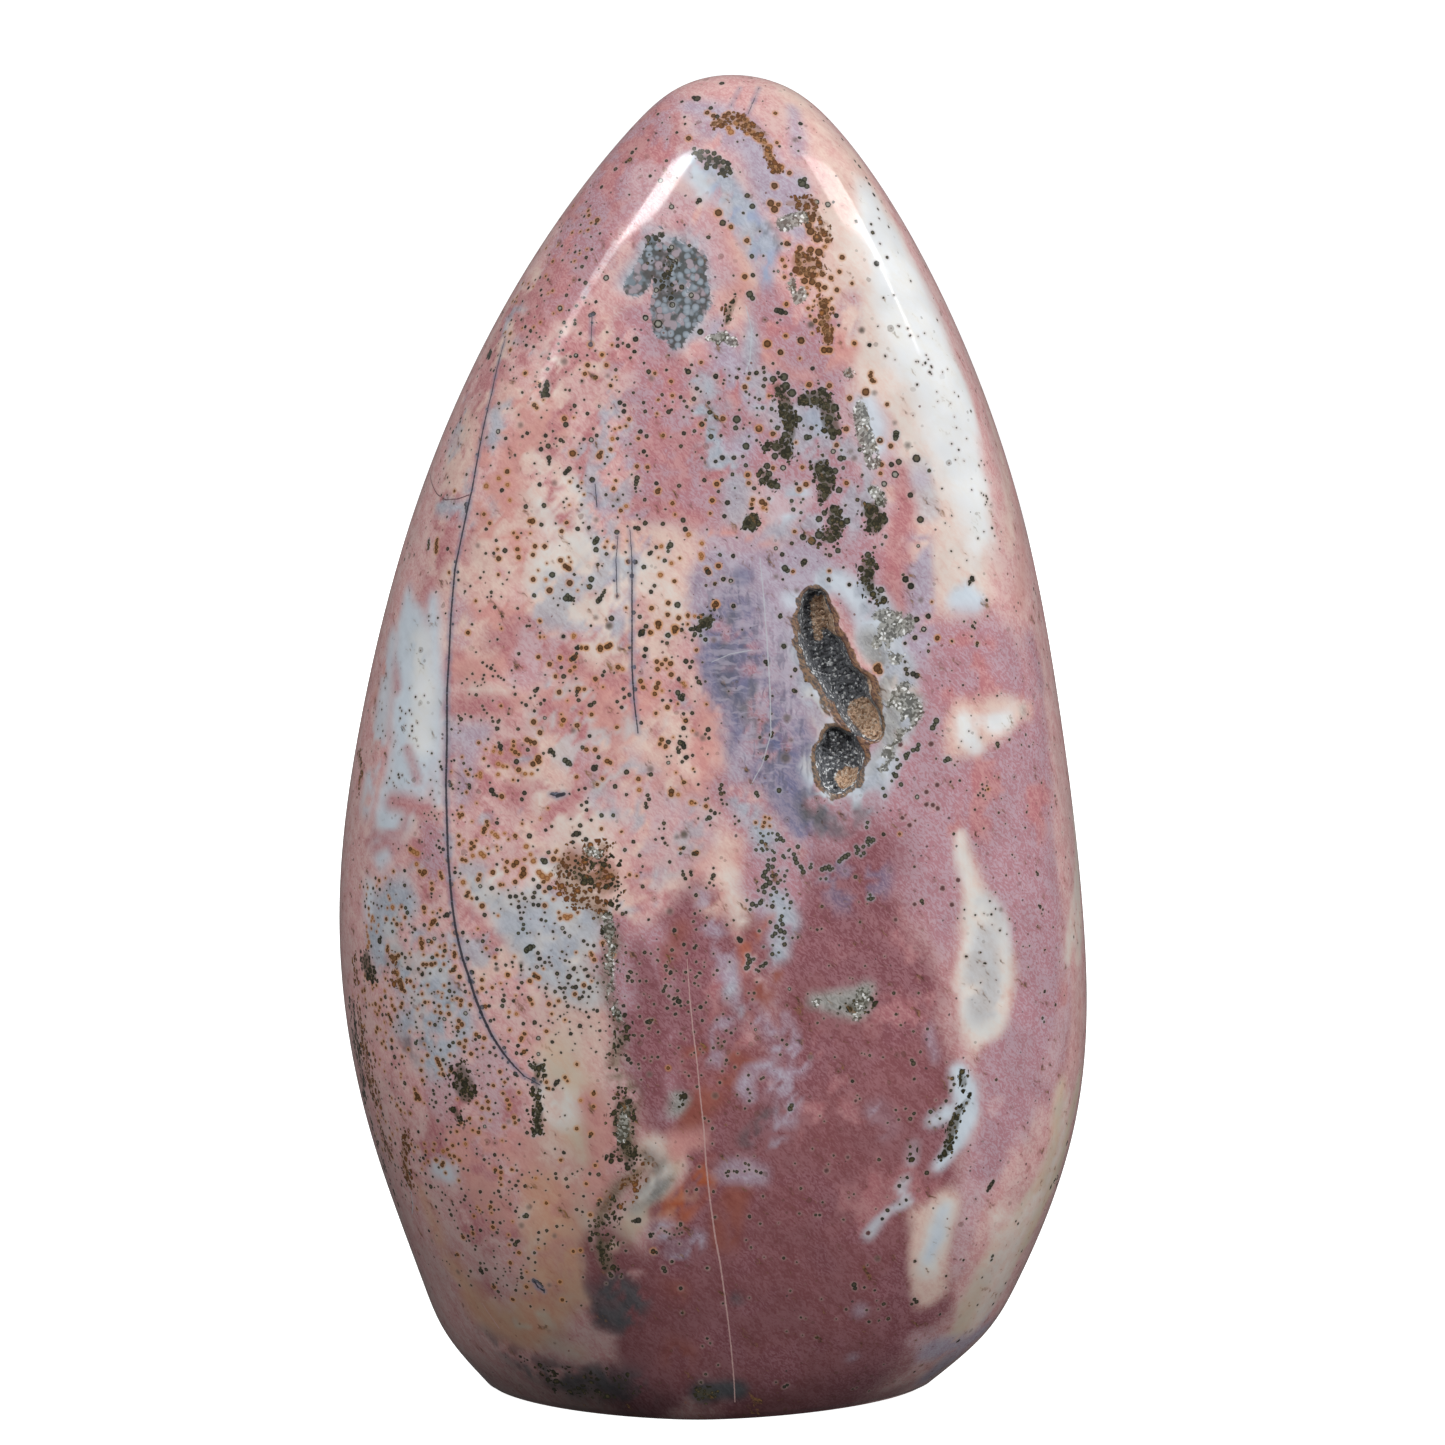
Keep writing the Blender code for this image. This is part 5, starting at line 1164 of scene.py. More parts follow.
# ---- left face
crop_dots(400, 300, 4.356, 0, [
    (545, 117, 7), (571, 138, 6), (549, 197, 8), (585, 204, 5), (386, 235, 11), (393, 220, 9), (380, 250, 9),
    (357, 285, 6), (345, 300, 6), (480, 303, 5), (410, 306, 5), (762, 102, 7), (784, 148, 6), (643, 301, 8),
    (817, 284, 10), (846, 289, 5), (853, 337, 10), (916, 372, 7), (1017, 404, 7), (640, 355, 9), (643, 372, 9),
    (640, 390, 9), (637, 410, 13), (645, 415, 10), (430, 450, 8), (376, 474, 4), (333, 513, 5), (265, 515, 8),
    (285, 520, 4), (262, 530, 7), (300, 566, 5), (230, 575, 10), (220, 560, 8), (245, 555, 5), (197, 660, 7),
    (215, 680, 5), (334, 672, 6), (290, 760, 7), (207, 773, 6), (215, 795, 5), (190, 735, 5), (180, 850, 6),
    (205, 850, 5), (173, 780, 4), (168, 795, 4), (517, 500, 6), (460, 603, 9), (405, 642, 7), (375, 600, 5),
    (554, 580, 9), (635, 591, 10), (666, 572, 6), (645, 636, 12), (614, 650, 11), (700, 610, 10), (712, 617, 7),
    (722, 543, 13), (761, 461, 10), (817, 495, 9), (842, 561, 7), (857, 590, 9), (801, 606, 8), (947, 603, 8),
    (909, 552, 6), (649, 688, 12), (650, 704, 9), (649, 716, 6), (737, 736, 12), (729, 744, 11), (720, 753, 11),
    (837, 783, 13), (608, 804, 10), (775, 811, 8), (790, 820, 5), (958, 447, 11), (978, 458, 9), (975, 486, 11),
    (1061, 447, 8), (1068, 486, 9), (1047, 573, 11), (1074, 593, 10), (1062, 660, 10), (1170, 487, 11),
    (1182, 478, 7), (1280, 431, 11), (1249, 465, 8), (1235, 510, 6), (1314, 541, 12), (1237, 581, 10),
    (1223, 637, 9), (1376, 332, 12), (1257, 313, 11), (1244, 302, 6), (1294, 330, 6), (1160, 306, 6),
    (1083, 315, 9), (1063, 275, 6), (1021, 225, 9), (1026, 171, 12), (1117, 799, 10), (1216, 809, 10),
    (1033, 775, 12), (1030, 790, 11), (1028, 803, 9), (1026, 820, 7), (1028, 835, 5), (1066, 870, 9),
    (1233, 959, 12), (1145, 975, 10), (1156, 912, 5), (1068, 972, 12), (1037, 995, 12), (1022, 992, 8),
    (1243, 999, 12), (945, 1011, 12), (948, 870, 5), (444, 829, 10), (548, 900, 11), (627, 895, 11),
    (712, 880, 6), (725, 865, 6), (716, 905, 4), (337, 932, 6), (375, 998, 8), (260, 988, 7), (205, 945, 6),
    (290, 890, 12), (289, 906, 10), (288, 920, 7), (616, 979, 10), (774, 997, 11), (823, 991, 9), (882, 1005, 5),
    (419, 1047, 8), (457, 1091, 12), (408, 1103, 8), (374, 1104, 7), (207, 1084, 9), (862, 1152, 8),
    (880, 1158, 5), (921, 1387, 13), (413, 1338, 8), (398, 1273, 8), (397, 1292, 5), (380, 1294, 5),
    (306, 1246, 6), (255, 1220, 7), (252, 1185, 7), (240, 1140, 7), (350, 1210, 7), (365, 1185, 5),
    (447, 1237, 5), (466, 1218, 5), (475, 1187, 5), (446, 1378, 6), (441, 1293, 5), (283, 1270, 6),
    (198, 1365, 5), (165, 1385, 6), (520, 1387, 5), (553, 1420, 7), (568, 1418, 4), (610, 1450, 5),
    (425, 1478, 5), (517, 1540, 5), (230, 1412, 6), (30, 1080, 6), (62, 1110, 6), (20, 1130, 8), (35, 1060, 6),
    (1025, 1141, 11), (1010, 1202, 11), (1087, 1105, 10), (1095, 1098, 8), (1116, 1078, 9), (1109, 1245, 9),
    (1093, 1271, 10), (1052, 1448, 14), (1046, 1458, 10), (1060, 1440, 9), (1072, 1421, 10), (1019, 1362, 9),
    (1070, 1522, 11), (1066, 1550, 8), (1225, 1437, 8), (1242, 1470, 5), (770, 1517, 9), (777, 1505, 5),
    (769, 1540, 8), (756, 1560, 12), (1000, 1515, 6), (1270, 1432, 9), (870, 1302, 12), (862, 1312, 11),
    (880, 1288, 9), (888, 1274, 8), (892, 1264, 6), (757, 1310, 6), (760, 1298, 5), (755, 1325, 4),
])
crop_dots(400, 300, 4.356, 1, [
    (611, 97, 5), (545, 319, 8), (829, 193, 11), (880, 239, 8), (237, 832, 7), (585, 457, 10), (595, 470, 8),
    (716, 517, 12), (752, 668, 15), (917, 651, 9), (868, 680, 13), (876, 664, 9), (1038, 603, 8), (1146, 590, 8),
    (1120, 495, 6), (1125, 435, 6), (1380, 801, 11), (1515, 762, 10), (1360, 873, 10), (1122, 835, 12),
    (1128, 825, 8), (1078, 728, 9), (1187, 885, 9), (1198, 935, 6), (962, 917, 9), (467, 747, 11), (365, 933, 8),
    (391, 972, 8), (577, 963, 13), (566, 963, 10), (704, 1007, 10), (588, 1073, 10), (630, 1074, 11),
    (579, 1110, 10), (512, 1086, 10), (517, 1121, 10), (511, 1034, 8), (495, 1015, 7), (430, 1126, 12),
    (700, 1134, 11), (718, 1158, 11), (728, 1165, 11), (737, 1171, 11), (739, 1233, 14), (651, 1265, 14),
    (580, 1217, 11), (873, 1517, 13), (910, 1507, 12), (900, 1511, 11), (790, 1517, 7), (810, 1516, 8),
    (697, 1560, 8), (297, 1449, 9), (428, 1197, 7), (608, 1397, 6), (603, 1558, 5), (158, 1060, 11),
    (159, 1078, 12), (157, 1095, 11), (162, 1045, 9), (994, 1140, 10), (1219, 1125, 6), (1195, 1225, 9),
    (1168, 1320, 11), (1096, 1343, 11), (1166, 1371, 10), (1214, 1385, 11), (1254, 1372, 8), (1127, 1411, 13),
    (1199, 1430, 14), (1196, 1444, 10), (1093, 1449, 9), (1388, 1158, 10), (1370, 1330, 12), (1375, 1318, 9),
    (425, 1085, 7),
])
crop_dots(400, 300, 4.356, 5, [
    (375, 811, 12), (430, 777, 9), (468, 805, 9), (478, 872, 7), (1257, 1022, 10), (985, 898, 8), (635, 1218, 7),
    (755, 1468, 7), (1138, 1073, 8), (1182, 1147, 8), (1134, 1198, 11), (1310, 1108, 9), (1312, 1126, 8),
    (1128, 1424, 8), (925, 605, 9),
])
crop_dots(400, 300, 4.356, 3, [
    (697, 35, 12), (714, 97, 8), (702, 140, 8), (690, 190, 6), (765, 241, 9), (768, 26, 8), (427, 573, 11),
    (868, 463, 7), (833, 609, 12), (1440, 1224, 9), (1070, 79, 12),
])
crop_dots(400, 300, 4.356, 2, [
    (792, 355, 7), (525, 545, 9), (673, 797, 9), (950, 869, 9), (855, 957, 9), (339, 1070, 7), (913, 1420, 13),
    (853, 1383, 8), (709, 1467, 9), (905, 330, 6), (820, 1000, 6),
])
crop_dots(400, 300, 4.356, 4, [
    (1307, 140, 12), (1350, 489, 10), (1378, 511, 9), (852, 1050, 14), (858, 1040, 12), (847, 1058, 10),
    (854, 1088, 13), (663, 1197, 14), (585, 1287, 10), (833, 1216, 14), (826, 1249, 13), (735, 1298, 16),
    (722, 1300, 14), (745, 1302, 12), (730, 1286, 10), (1178, 1067, 14), (1168, 1078, 9), (1168, 1095, 8),
    (1153, 1135, 10), (1062, 1163, 11), (1209, 1328, 14), (1168, 1461, 12), (1044, 1380, 10), (1285, 1455, 10),
    (1310, 1462, 8), (1330, 1480, 8), (125, 1050, 10), (125, 1065, 11), (124, 1080, 9),
])
# ---- upper right
crop_dots(700, 300, 4.356, 0, [
    (68, 332, 11), (160, 338, 9), (247, 316, 9), (277, 295, 9), (280, 315, 8), (283, 345, 10), (277, 375, 10),
    (258, 433, 8), (240, 425, 6), (200, 400, 7), (215, 412, 6), (348, 48, 14), (360, 52, 10), (318, 276, 7),
    (490, 298, 10), (514, 350, 4), (738, 195, 9), (807, 243, 5), (849, 260, 3), (862, 112, 3), (906, 125, 4),
    (918, 153, 4), (950, 158, 3), (978, 145, 4), (1033, 88, 4), (985, 240, 4), (995, 258, 4), (941, 268, 4),
    (970, 283, 3), (1010, 295, 4), (997, 315, 4), (1008, 323, 4), (945, 370, 4), (1032, 400, 3), (1036, 442, 3),
    (1108, 403, 3), (1108, 509, 3), (1180, 484, 6), (1243, 540, 4), (1096, 626, 5), (1243, 784, 4), (1268, 797, 3),
    (1184, 827, 4), (1054, 822, 5), (1235, 850, 5), (1247, 854, 6), (1252, 866, 5), (1248, 880, 5), (1243, 892, 4),
    (1225, 842, 4), (1272, 993, 7), (1284, 1028, 4), (1068, 972, 4), (1097, 940, 4), (1094, 1094, 5),
    (1163, 1134, 4), (1128, 1166, 3), (1184, 1212, 10), (1176, 1228, 8), (1172, 1240, 6), (1190, 1222, 7),
    (1249, 1308, 7), (1253, 1376, 4), (1148, 1400, 4), (1187, 1420, 6), (1195, 1402, 5), (1196, 1430, 4),
    (1183, 1465, 5), (993, 1378, 11), (943, 1392, 11), (935, 1471, 11), (894, 1495, 8), (995, 1530, 8),
    (894, 1217, 12), (919, 1247, 13), (960, 956, 16), (916, 850, 13), (943, 690, 18), (866, 705, 14),
    (834, 717, 12), (400, 1060, 9), (436, 962, 5), (358, 1108, 11), (456, 1137, 12), (447, 1155, 8), (566, 1112, 10),
    (547, 1108, 6), (562, 1221, 9), (650, 1240, 9), (625, 1165, 6), (548, 1085, 5), (360, 1217, 6), (760, 1077, 8),
    (183, 1436, 4), (145, 1332, 9), (64, 1238, 8), (35, 1185, 13), (145, 1115, 10), (100, 1215, 9),
    (19, 785, 10), (95, 784, 9), (80, 835, 8), (120, 883, 12), (106, 942, 10), (187, 682, 8), (148, 687, 11),
    (97, 687, 12), (68, 703, 9), (70, 511, 10), (43, 489, 11), (236, 820, 10), (300, 865, 9), (495, 788, 9),
    (424, 700, 5), (535, 680, 6), (686, 870, 9), (258, 840, 4), (340, 318, 9), (1092, 450, 3), (1150, 700, 3),
    (1225, 700, 4), (1215, 720, 4), (30, 1000, 5), (160, 1035, 5), (66, 1078, 4),
])
crop_dots(700, 300, 4.356, 1, [
    (210, 341, 7), (195, 379, 11), (300, 418, 7), (441, 178, 13), (293, 190, 15), (374, 157, 8), (352, 228, 11),
    (435, 255, 6), (476, 369, 12), (564, 373, 12), (540, 218, 14), (560, 218, 13), (672, 187, 8), (1098, 1487, 6),
    (1035, 1470, 9), (1010, 1315, 6), (784, 612, 13), (831, 636, 11), (790, 717, 11), (786, 755, 9), (652, 428, 12),
    (722, 401, 17), (815, 455, 9), (637, 562, 12), (757, 640, 10), (412, 1008, 8), (563, 1180, 7), (405, 1183, 8),
    (70, 1325, 13), (80, 1158, 11), (73, 802, 11), (44, 930, 7), (54, 872, 10), (207, 762, 10), (212, 798, 9),
    (256, 561, 15), (100, 517, 12), (8, 543, 11), (318, 583, 11), (318, 732, 9), (432, 825, 12), (462, 803, 12),
    (446, 729, 9), (638, 797, 10), (594, 632, 10), (230, 870, 9), (225, 890, 8), (270, 880, 13), (285, 890, 9),
    (290, 912, 5), (418, 620, 6), (376, 20, 8), (470, 372, 7), (1208, 1497, 7), (742, 330, 10), (750, 350, 11),
    (745, 316, 8), (760, 355, 7),
])
crop_dots(700, 300, 4.356, 5, [(8, 1115, 9), (8, 1060, 9), (275, 905, 8), (256, 555, 7)])
crop_dots(700, 300, 4.356, 3, [
    (802, 801, 13), (850, 760, 16), (975, 1434, 11), (330, 1082, 10), (133, 1222, 9), (362, 731, 13),
    (951, 1071, 8), (580, 660, 12), (784, 610, 6),
])
crop_dots(700, 300, 4.356, 2, [
    (706, 131, 9), (905, 633, 12), (848, 535, 7), (760, 405, 9), (331, 1205, 8), (422, 1265, 8), (60, 1480, 8),
    (656, 660, 8), (672, 690, 10), (485, 105, 9),
])
crop_dots(700, 300, 4.356, 4, [
    (998, 743, 9), (855, 580, 14), (853, 592, 14), (852, 603, 11), (200, 637, 16), (160, 520, 18), (155, 558, 12),
    (48, 595, 12), (465, 598, 14), (478, 598, 11), (612, 690, 14), (628, 688, 10), (370, 1168, 15), (380, 1178, 12),
    (350, 1378, 10), (365, 1508, 12), (87, 1110, 9), (25, 1405, 20), (12, 1412, 14), (45, 1400, 12), (5, 1400, 12),
    (205, 975, 20), (225, 990, 16), (215, 955, 16), (245, 948, 12), (195, 990, 14), (235, 975, 14),
])
# ---- middle left
crop_dots(330, 620, 4.238, 0, [
    (710, 82, 6), (677, 90, 4), (800, 143, 7), (845, 25, 6), (989, 70, 9), (1049, 118, 10), (980, 201, 8),
    (990, 239, 11), (1162, 219, 8), (1155, 235, 8), (1290, 200, 8), (1047, 305, 9), (1016, 300, 5), (1054, 340, 9),
    (1045, 320, 7), (1106, 360, 10), (1120, 350, 9), (1098, 362, 8), (1217, 346, 8), (1247, 329, 9), (1269, 317, 10),
    (1293, 293, 10), (1236, 370, 9), (1243, 292, 8), (1338, 124, 11), (1332, 153, 9), (1339, 28, 11), (1322, 55, 14),
    (1489, 42, 10), (1540, 40, 9), (1562, 38, 14), (1478, 250, 10), (1360, 245, 5), (1410, 340, 7), (1535, 395, 9),
    (1498, 458, 11), (1319, 436, 9), (1434, 517, 11), (1485, 520, 13), (1477, 545, 11), (1500, 530, 10),
    (1478, 560, 9), (1510, 582, 11), (1360, 655, 10), (1257, 645, 12), (1256, 740, 8), (1346, 742, 9),
    (1352, 760, 9), (1338, 778, 8), (1341, 793, 9), (1120, 628, 15), (1128, 620, 8), (1208, 706, 11), (1138, 582, 9),
    (1070, 540, 9), (1100, 492, 9), (866, 385, 7), (838, 550, 9), (813, 350, 6), (831, 360, 9), (893, 355, 8),
    (908, 340, 8), (870, 300, 10), (880, 290, 8), (850, 330, 6), (868, 320, 6), (780, 284, 6), (785, 315, 7),
    (785, 258, 4), (760, 375, 5), (757, 398, 6), (647, 180, 6), (665, 195, 6), (682, 205, 9), (690, 190, 5),
    (700, 215, 5), (604, 228, 6), (653, 233, 6), (648, 250, 6), (614, 265, 5), (580, 250, 5), (560, 268, 5),
    (625, 280, 4), (690, 238, 6), (713, 238, 6), (725, 245, 5), (737, 253, 6), (770, 214, 5), (655, 265, 4),
    (640, 275, 4), (620, 317, 8), (590, 315, 4), (690, 342, 5), (646, 365, 6), (653, 380, 6), (665, 395, 6),
    (687, 413, 6), (690, 430, 7), (712, 432, 8), (718, 424, 6), (708, 460, 10), (640, 425, 5), (597, 410, 7),
    (555, 420, 10), (545, 407, 6), (572, 400, 5), (515, 463, 6), (545, 440, 4), (670, 505, 6), (722, 535, 12),
    (715, 520, 7), (725, 550, 8), (797, 463, 8), (790, 600, 12), (797, 680, 6), (880, 635, 6), (905, 565, 7),
    (935, 552, 11), (945, 562, 10), (928, 560, 7), (950, 575, 7), (1081, 713, 8), (1054, 720, 7), (1015, 737, 5),
    (960, 738, 10), (973, 740, 9), (947, 738, 8), (984, 740, 6), (938, 736, 5), (1087, 772, 9), (1066, 785, 8),
    (1087, 805, 9), (1107, 848, 8), (1020, 843, 5), (1060, 870, 10), (1045, 906, 14), (1030, 912, 9), (1058, 904, 9),
    (1085, 930, 11), (1030, 942, 9), (1286, 940, 9), (1312, 998, 8), (1325, 1045, 6), (914, 890, 8), (940, 875, 7),
    (845, 915, 12), (824, 733, 10), (813, 760, 9), (685, 722, 13), (693, 738, 10), (707, 745, 7), (590, 700, 9),
    (592, 712, 8), (510, 700, 10), (505, 685, 7), (470, 622, 7), (475, 633, 6), (465, 600, 5), (527, 595, 6),
    (515, 598, 5), (497, 580, 5), (595, 632, 7), (548, 690, 5), (560, 735, 5), (543, 715, 5), (520, 715, 6),
    (445, 790, 5), (430, 815, 5), (443, 830, 5), (452, 845, 5), (428, 905, 5), (480, 910, 6), (460, 935, 6),
    (463, 965, 8), (480, 972, 9), (450, 955, 5), (470, 985, 5), (400, 820, 4), (425, 740, 5), (440, 762, 4),
    (408, 853, 4), (390, 940, 5), (325, 955, 4), (290, 970, 4), (393, 990, 4), (512, 965, 6), (520, 825, 5),
    (525, 850, 4), (708, 860, 9), (710, 842, 5), (926, 985, 9), (707, 1036, 7), (685, 1137, 11), (755, 1145, 5),
    (715, 1160, 5), (763, 1172, 10), (788, 1172, 10), (800, 1192, 6), (825, 1180, 9), (800, 1216, 10),
    (815, 1160, 7), (862, 1175, 10), (867, 1155, 9), (885, 1130, 12), (862, 1100, 9), (930, 1135, 12),
    (883, 1208, 10), (862, 1207, 9), (622, 1180, 9), (573, 1170, 5), (655, 1250, 10), (530, 1070, 9), (530, 1050, 6),
    (995, 1325, 7), (945, 1320, 7), (1075, 1360, 8), (895, 1270, 8), (810, 1265, 9), (805, 1240, 6), (820, 1240, 6),
    (848, 1325, 5), (890, 1435, 9), (1010, 1383, 3), (810, 1465, 6), (810, 1485, 6), (808, 1505, 4), (770, 1450, 5),
    (775, 1470, 5), (583, 1362, 8), (650, 1335, 6), (645, 1407, 5), (563, 1325, 9), (963, 1500, 8), (1035, 1475, 8),
    (1015, 1510, 11), (1085, 1480, 8), (1090, 1510, 7), (940, 1465, 6), (1010, 1540, 6), (915, 1560, 8),
    (972, 1558, 7), (1100, 1558, 10), (600, 1493, 10), (595, 1530, 12), (580, 1434, 9), (550, 1512, 10),
    (486, 1403, 9), (478, 1337, 8), (497, 1250, 12), (485, 1255, 8), (510, 1240, 6), (455, 1243, 5), (465, 1260, 6),
    (360, 1310, 8), (350, 1325, 6), (345, 1300, 5), (335, 1290, 5), (255, 1120, 6), (240, 1147, 4), (316, 1125, 9),
    (316, 1062, 8), (430, 1160, 6), (465, 1170, 4), (430, 1175, 5), (183, 1137, 8), (147, 1192, 5), (218, 1213, 6),
    (210, 1360, 14), (215, 1345, 8), (305, 1415, 8), (320, 1357, 8), (330, 1475, 10), (342, 1480, 7),
    (345, 1395, 4), (390, 1503, 8), (393, 1495, 6), (405, 1475, 5), (230, 1490, 5), (245, 1530, 5), (290, 655, 6),
    (293, 668, 6), (235, 490, 4), (233, 565, 5), (260, 640, 4), (240, 690, 5), (266, 595, 3), (1415, 885, 6),
    (1380, 930, 7), (1410, 925, 8), (1420, 945, 7), (1415, 862, 9), (1395, 885, 5), (1430, 955, 5), (1500, 965, 7),
    (1530, 1080, 8), (1505, 1095, 7), (1495, 1065, 6), (1550, 1165, 8), (1325, 1130, 9), (1440, 1025, 8),
    (1240, 1245, 9), (1255, 1240, 7), (1215, 1225, 7), (1350, 1270, 6), (1450, 1435, 5), (1390, 1395, 5),
    (1425, 1485, 6), (1440, 1500, 6), (1545, 1390, 8), (1460, 1315, 10), (1500, 1375, 8), (1270, 1490, 7),
    (1300, 1500, 5), (1245, 1460, 5), (1260, 1530, 6), (1340, 1530, 6), (1500, 1530, 5), (1545, 1540, 6),
    (1215, 1190, 8), (1190, 1190, 7),
])
crop_dots(330, 620, 4.238, 1, [
    (584, 54, 8), (883, 156, 9), (890, 72, 6), (890, 5, 7), (1066, 113, 6), (1086, 118, 10), (1040, 155, 10),
    (1023, 167, 10), (974, 160, 9), (931, 187, 11), (1036, 200, 8), (1018, 216, 8), (955, 239, 8), (1146, 115, 11),
    (1146, 127, 10), (1186, 107, 12), (1174, 112, 10), (1125, 250, 10), (1221, 200, 11), (1270, 117, 7),
    (1052, 293, 12), (1078, 293, 8), (971, 306, 11), (1157, 284, 5), (1108, 401, 9), (1062, 395, 5), (1357, 53, 10),
    (1391, 14, 13), (1391, 30, 10), (1462, 36, 14), (1460, 50, 9), (1385, 176, 10), (1406, 187, 9), (1422, 168, 9),
    (1443, 185, 11), (1388, 208, 10), (1446, 231, 11), (1316, 259, 11), (1327, 285, 9), (1391, 268, 10),
    (1383, 287, 11), (1376, 313, 10), (1430, 370, 11), (1381, 396, 8), (1507, 425, 9), (1216, 455, 8), (1406, 507, 10),
    (1398, 526, 8), (1422, 536, 10), (1307, 674, 10), (1500, 687, 8), (1447, 726, 12), (1446, 740, 11), (1174, 598, 11),
    (1188, 605, 9), (1087, 549, 10), (1124, 549, 10), (1047, 447, 11), (989, 424, 11), (980, 400, 5), (863, 432, 12),
    (890, 478, 11), (867, 520, 11), (835, 508, 11), (850, 515, 9), (630, 520, 7), (660, 548, 5), (778, 515, 7),
    (778, 533, 7), (785, 560, 10), (800, 570, 7), (770, 550, 6), (750, 623, 6), (800, 635, 11), (860, 610, 12),
    (883, 583, 12), (885, 600, 12), (878, 592, 10), (1045, 665, 8), (1155, 673, 8), (1132, 697, 8), (1150, 885, 8),
    (1235, 898, 6), (785, 915, 9), (728, 748, 11), (560, 580, 5), (585, 655, 7), (575, 640, 5), (620, 660, 5),
    (560, 825, 9), (550, 835, 7), (545, 822, 6), (545, 915, 8), (548, 950, 8), (600, 945, 9), (610, 960, 8),
    (620, 935, 6), (655, 885, 10), (650, 900, 9), (665, 855, 8), (668, 870, 7), (597, 970, 8), (560, 1015, 9),
    (575, 1020, 8), (948, 1013, 12), (790, 1028, 13), (778, 1040, 11), (750, 1025, 9), (825, 1015, 8),
    (820, 1055, 11), (820, 1075, 13), (812, 1085, 11), (785, 1110, 10), (750, 1065, 9), (742, 1050, 6),
    (690, 1070, 11), (635, 1080, 8), (628, 1100, 10), (722, 1122, 8), (735, 1122, 5), (905, 1110, 9), (910, 1150, 8),
    (910, 1210, 10), (645, 1212, 12), (585, 1155, 9), (580, 1170, 9), (600, 1180, 6), (515, 1120, 9), (498, 1018, 9),
    (975, 1265, 8), (970, 1240, 6), (1050, 1240, 6), (870, 1510, 10), (882, 1516, 7), (848, 1530, 8), (865, 1500, 6),
    (753, 1503, 9), (645, 1525, 8), (530, 1470, 8), (525, 1485, 8), (510, 1490, 6), (530, 1415, 7), (487, 1378, 6),
    (465, 1385, 6), (453, 1420, 7), (437, 1280, 12), (430, 1290, 9), (445, 1272, 8), (420, 1310, 5), (530, 1325, 10),
    (540, 1335, 8), (430, 1365, 8), (388, 1370, 12), (390, 1390, 9), (385, 1350, 7), (398, 1220, 11), (400, 1240, 6),
    (283, 1290, 9), (270, 1270, 6), (380, 1065, 9), (400, 1068, 12), (392, 1078, 9), (340, 970, 9), (467, 1070, 7),
    (470, 1085, 8), (475, 1095, 7), (430, 1115, 7), (432, 1140, 9), (245, 1385, 8), (243, 1400, 10), (262, 1428, 12),
    (278, 1432, 11), (290, 1422, 9), (270, 1440, 8), (395, 1460, 9), (410, 1460, 8), (430, 1460, 10), (445, 1455, 7),
    (300, 1540, 12), (305, 1555, 10), (290, 1530, 8), (325, 1525, 6), (235, 1520, 6), (1300, 1085, 6), (1270, 1080, 7),
    (1190, 1080, 6), (1485, 970, 6), (1545, 990, 9), (1555, 985, 9), (1200, 1420, 8), (1110, 1420, 8), (1120, 1440, 9),
    (1105, 1410, 6),
])
crop_dots(330, 620, 4.238, 5, [
    (1034, 65, 8), (1240, 208, 8), (1407, 300, 6), (1310, 720, 9), (1475, 740, 8), (1533, 775, 7), (982, 445, 7),
    (722, 562, 8), (693, 556, 6), (713, 610, 9), (733, 620, 8), (712, 655, 8), (827, 652, 8), (855, 652, 7),
    (637, 650, 8), (637, 665, 7), (565, 935, 5), (685, 900, 6), (700, 910, 9), (710, 920, 8), (640, 990, 11),
    (652, 1000, 10), (605, 1000, 8), (740, 905, 5), (832, 960, 10), (850, 995, 8), (862, 1022, 11), (564, 1112, 10),
    (886, 1070, 12), (900, 1085, 13), (920, 1095, 12), (935, 1080, 9), (265, 1217, 10), (367, 1035, 9), (355, 982, 11),
    (370, 990, 11), (345, 976, 9), (285, 1495, 9), (712, 1253, 5), (1005, 1262, 12), (995, 1255, 9), (1020, 1255, 8),
    (180, 1260, 9), (165, 1250, 7), (175, 1275, 6), (160, 1340, 8), (165, 1365, 9), (160, 1385, 9), (155, 1300, 6),
])
crop_dots(330, 620, 4.238, 3, [
    (1434, 605, 9), (910, 415, 8), (637, 1128, 9), (985, 1306, 9), (1015, 1340, 8), (418, 1360, 11), (443, 1350, 9),
    (467, 1485, 8), (877, 1470, 7), (1138, 582, 9), (970, 1045, 9),
])
crop_dots(330, 620, 4.238, 2, [
    (1030, 468, 9), (1358, 632, 11), (707, 1478, 7), (625, 1360, 6), (1180, 25, 10), (1500, 905, 12), (1470, 920, 8),
    (1440, 1235, 12),
])
crop_dots(330, 620, 4.238, 4, [
    (1433, 65, 12), (1484, 327, 13), (1474, 308, 12), (1492, 336, 10), (1010, 605, 14), (996, 595, 13), (1018, 612, 10),
    (1150, 828, 10), (1200, 828, 9), (1250, 975, 9), (910, 1023, 14), (900, 1018, 10), (848, 1390, 13), (832, 1404, 11),
    (862, 1384, 10), (820, 1290, 8), (818, 1310, 9), (798, 1328, 8), (835, 1328, 6), (915, 1275, 7), (707, 1397, 8),
    (455, 1290, 8), (328, 1240, 10), (320, 1220, 9), (265, 1320, 8), (1485, 990, 7),
])
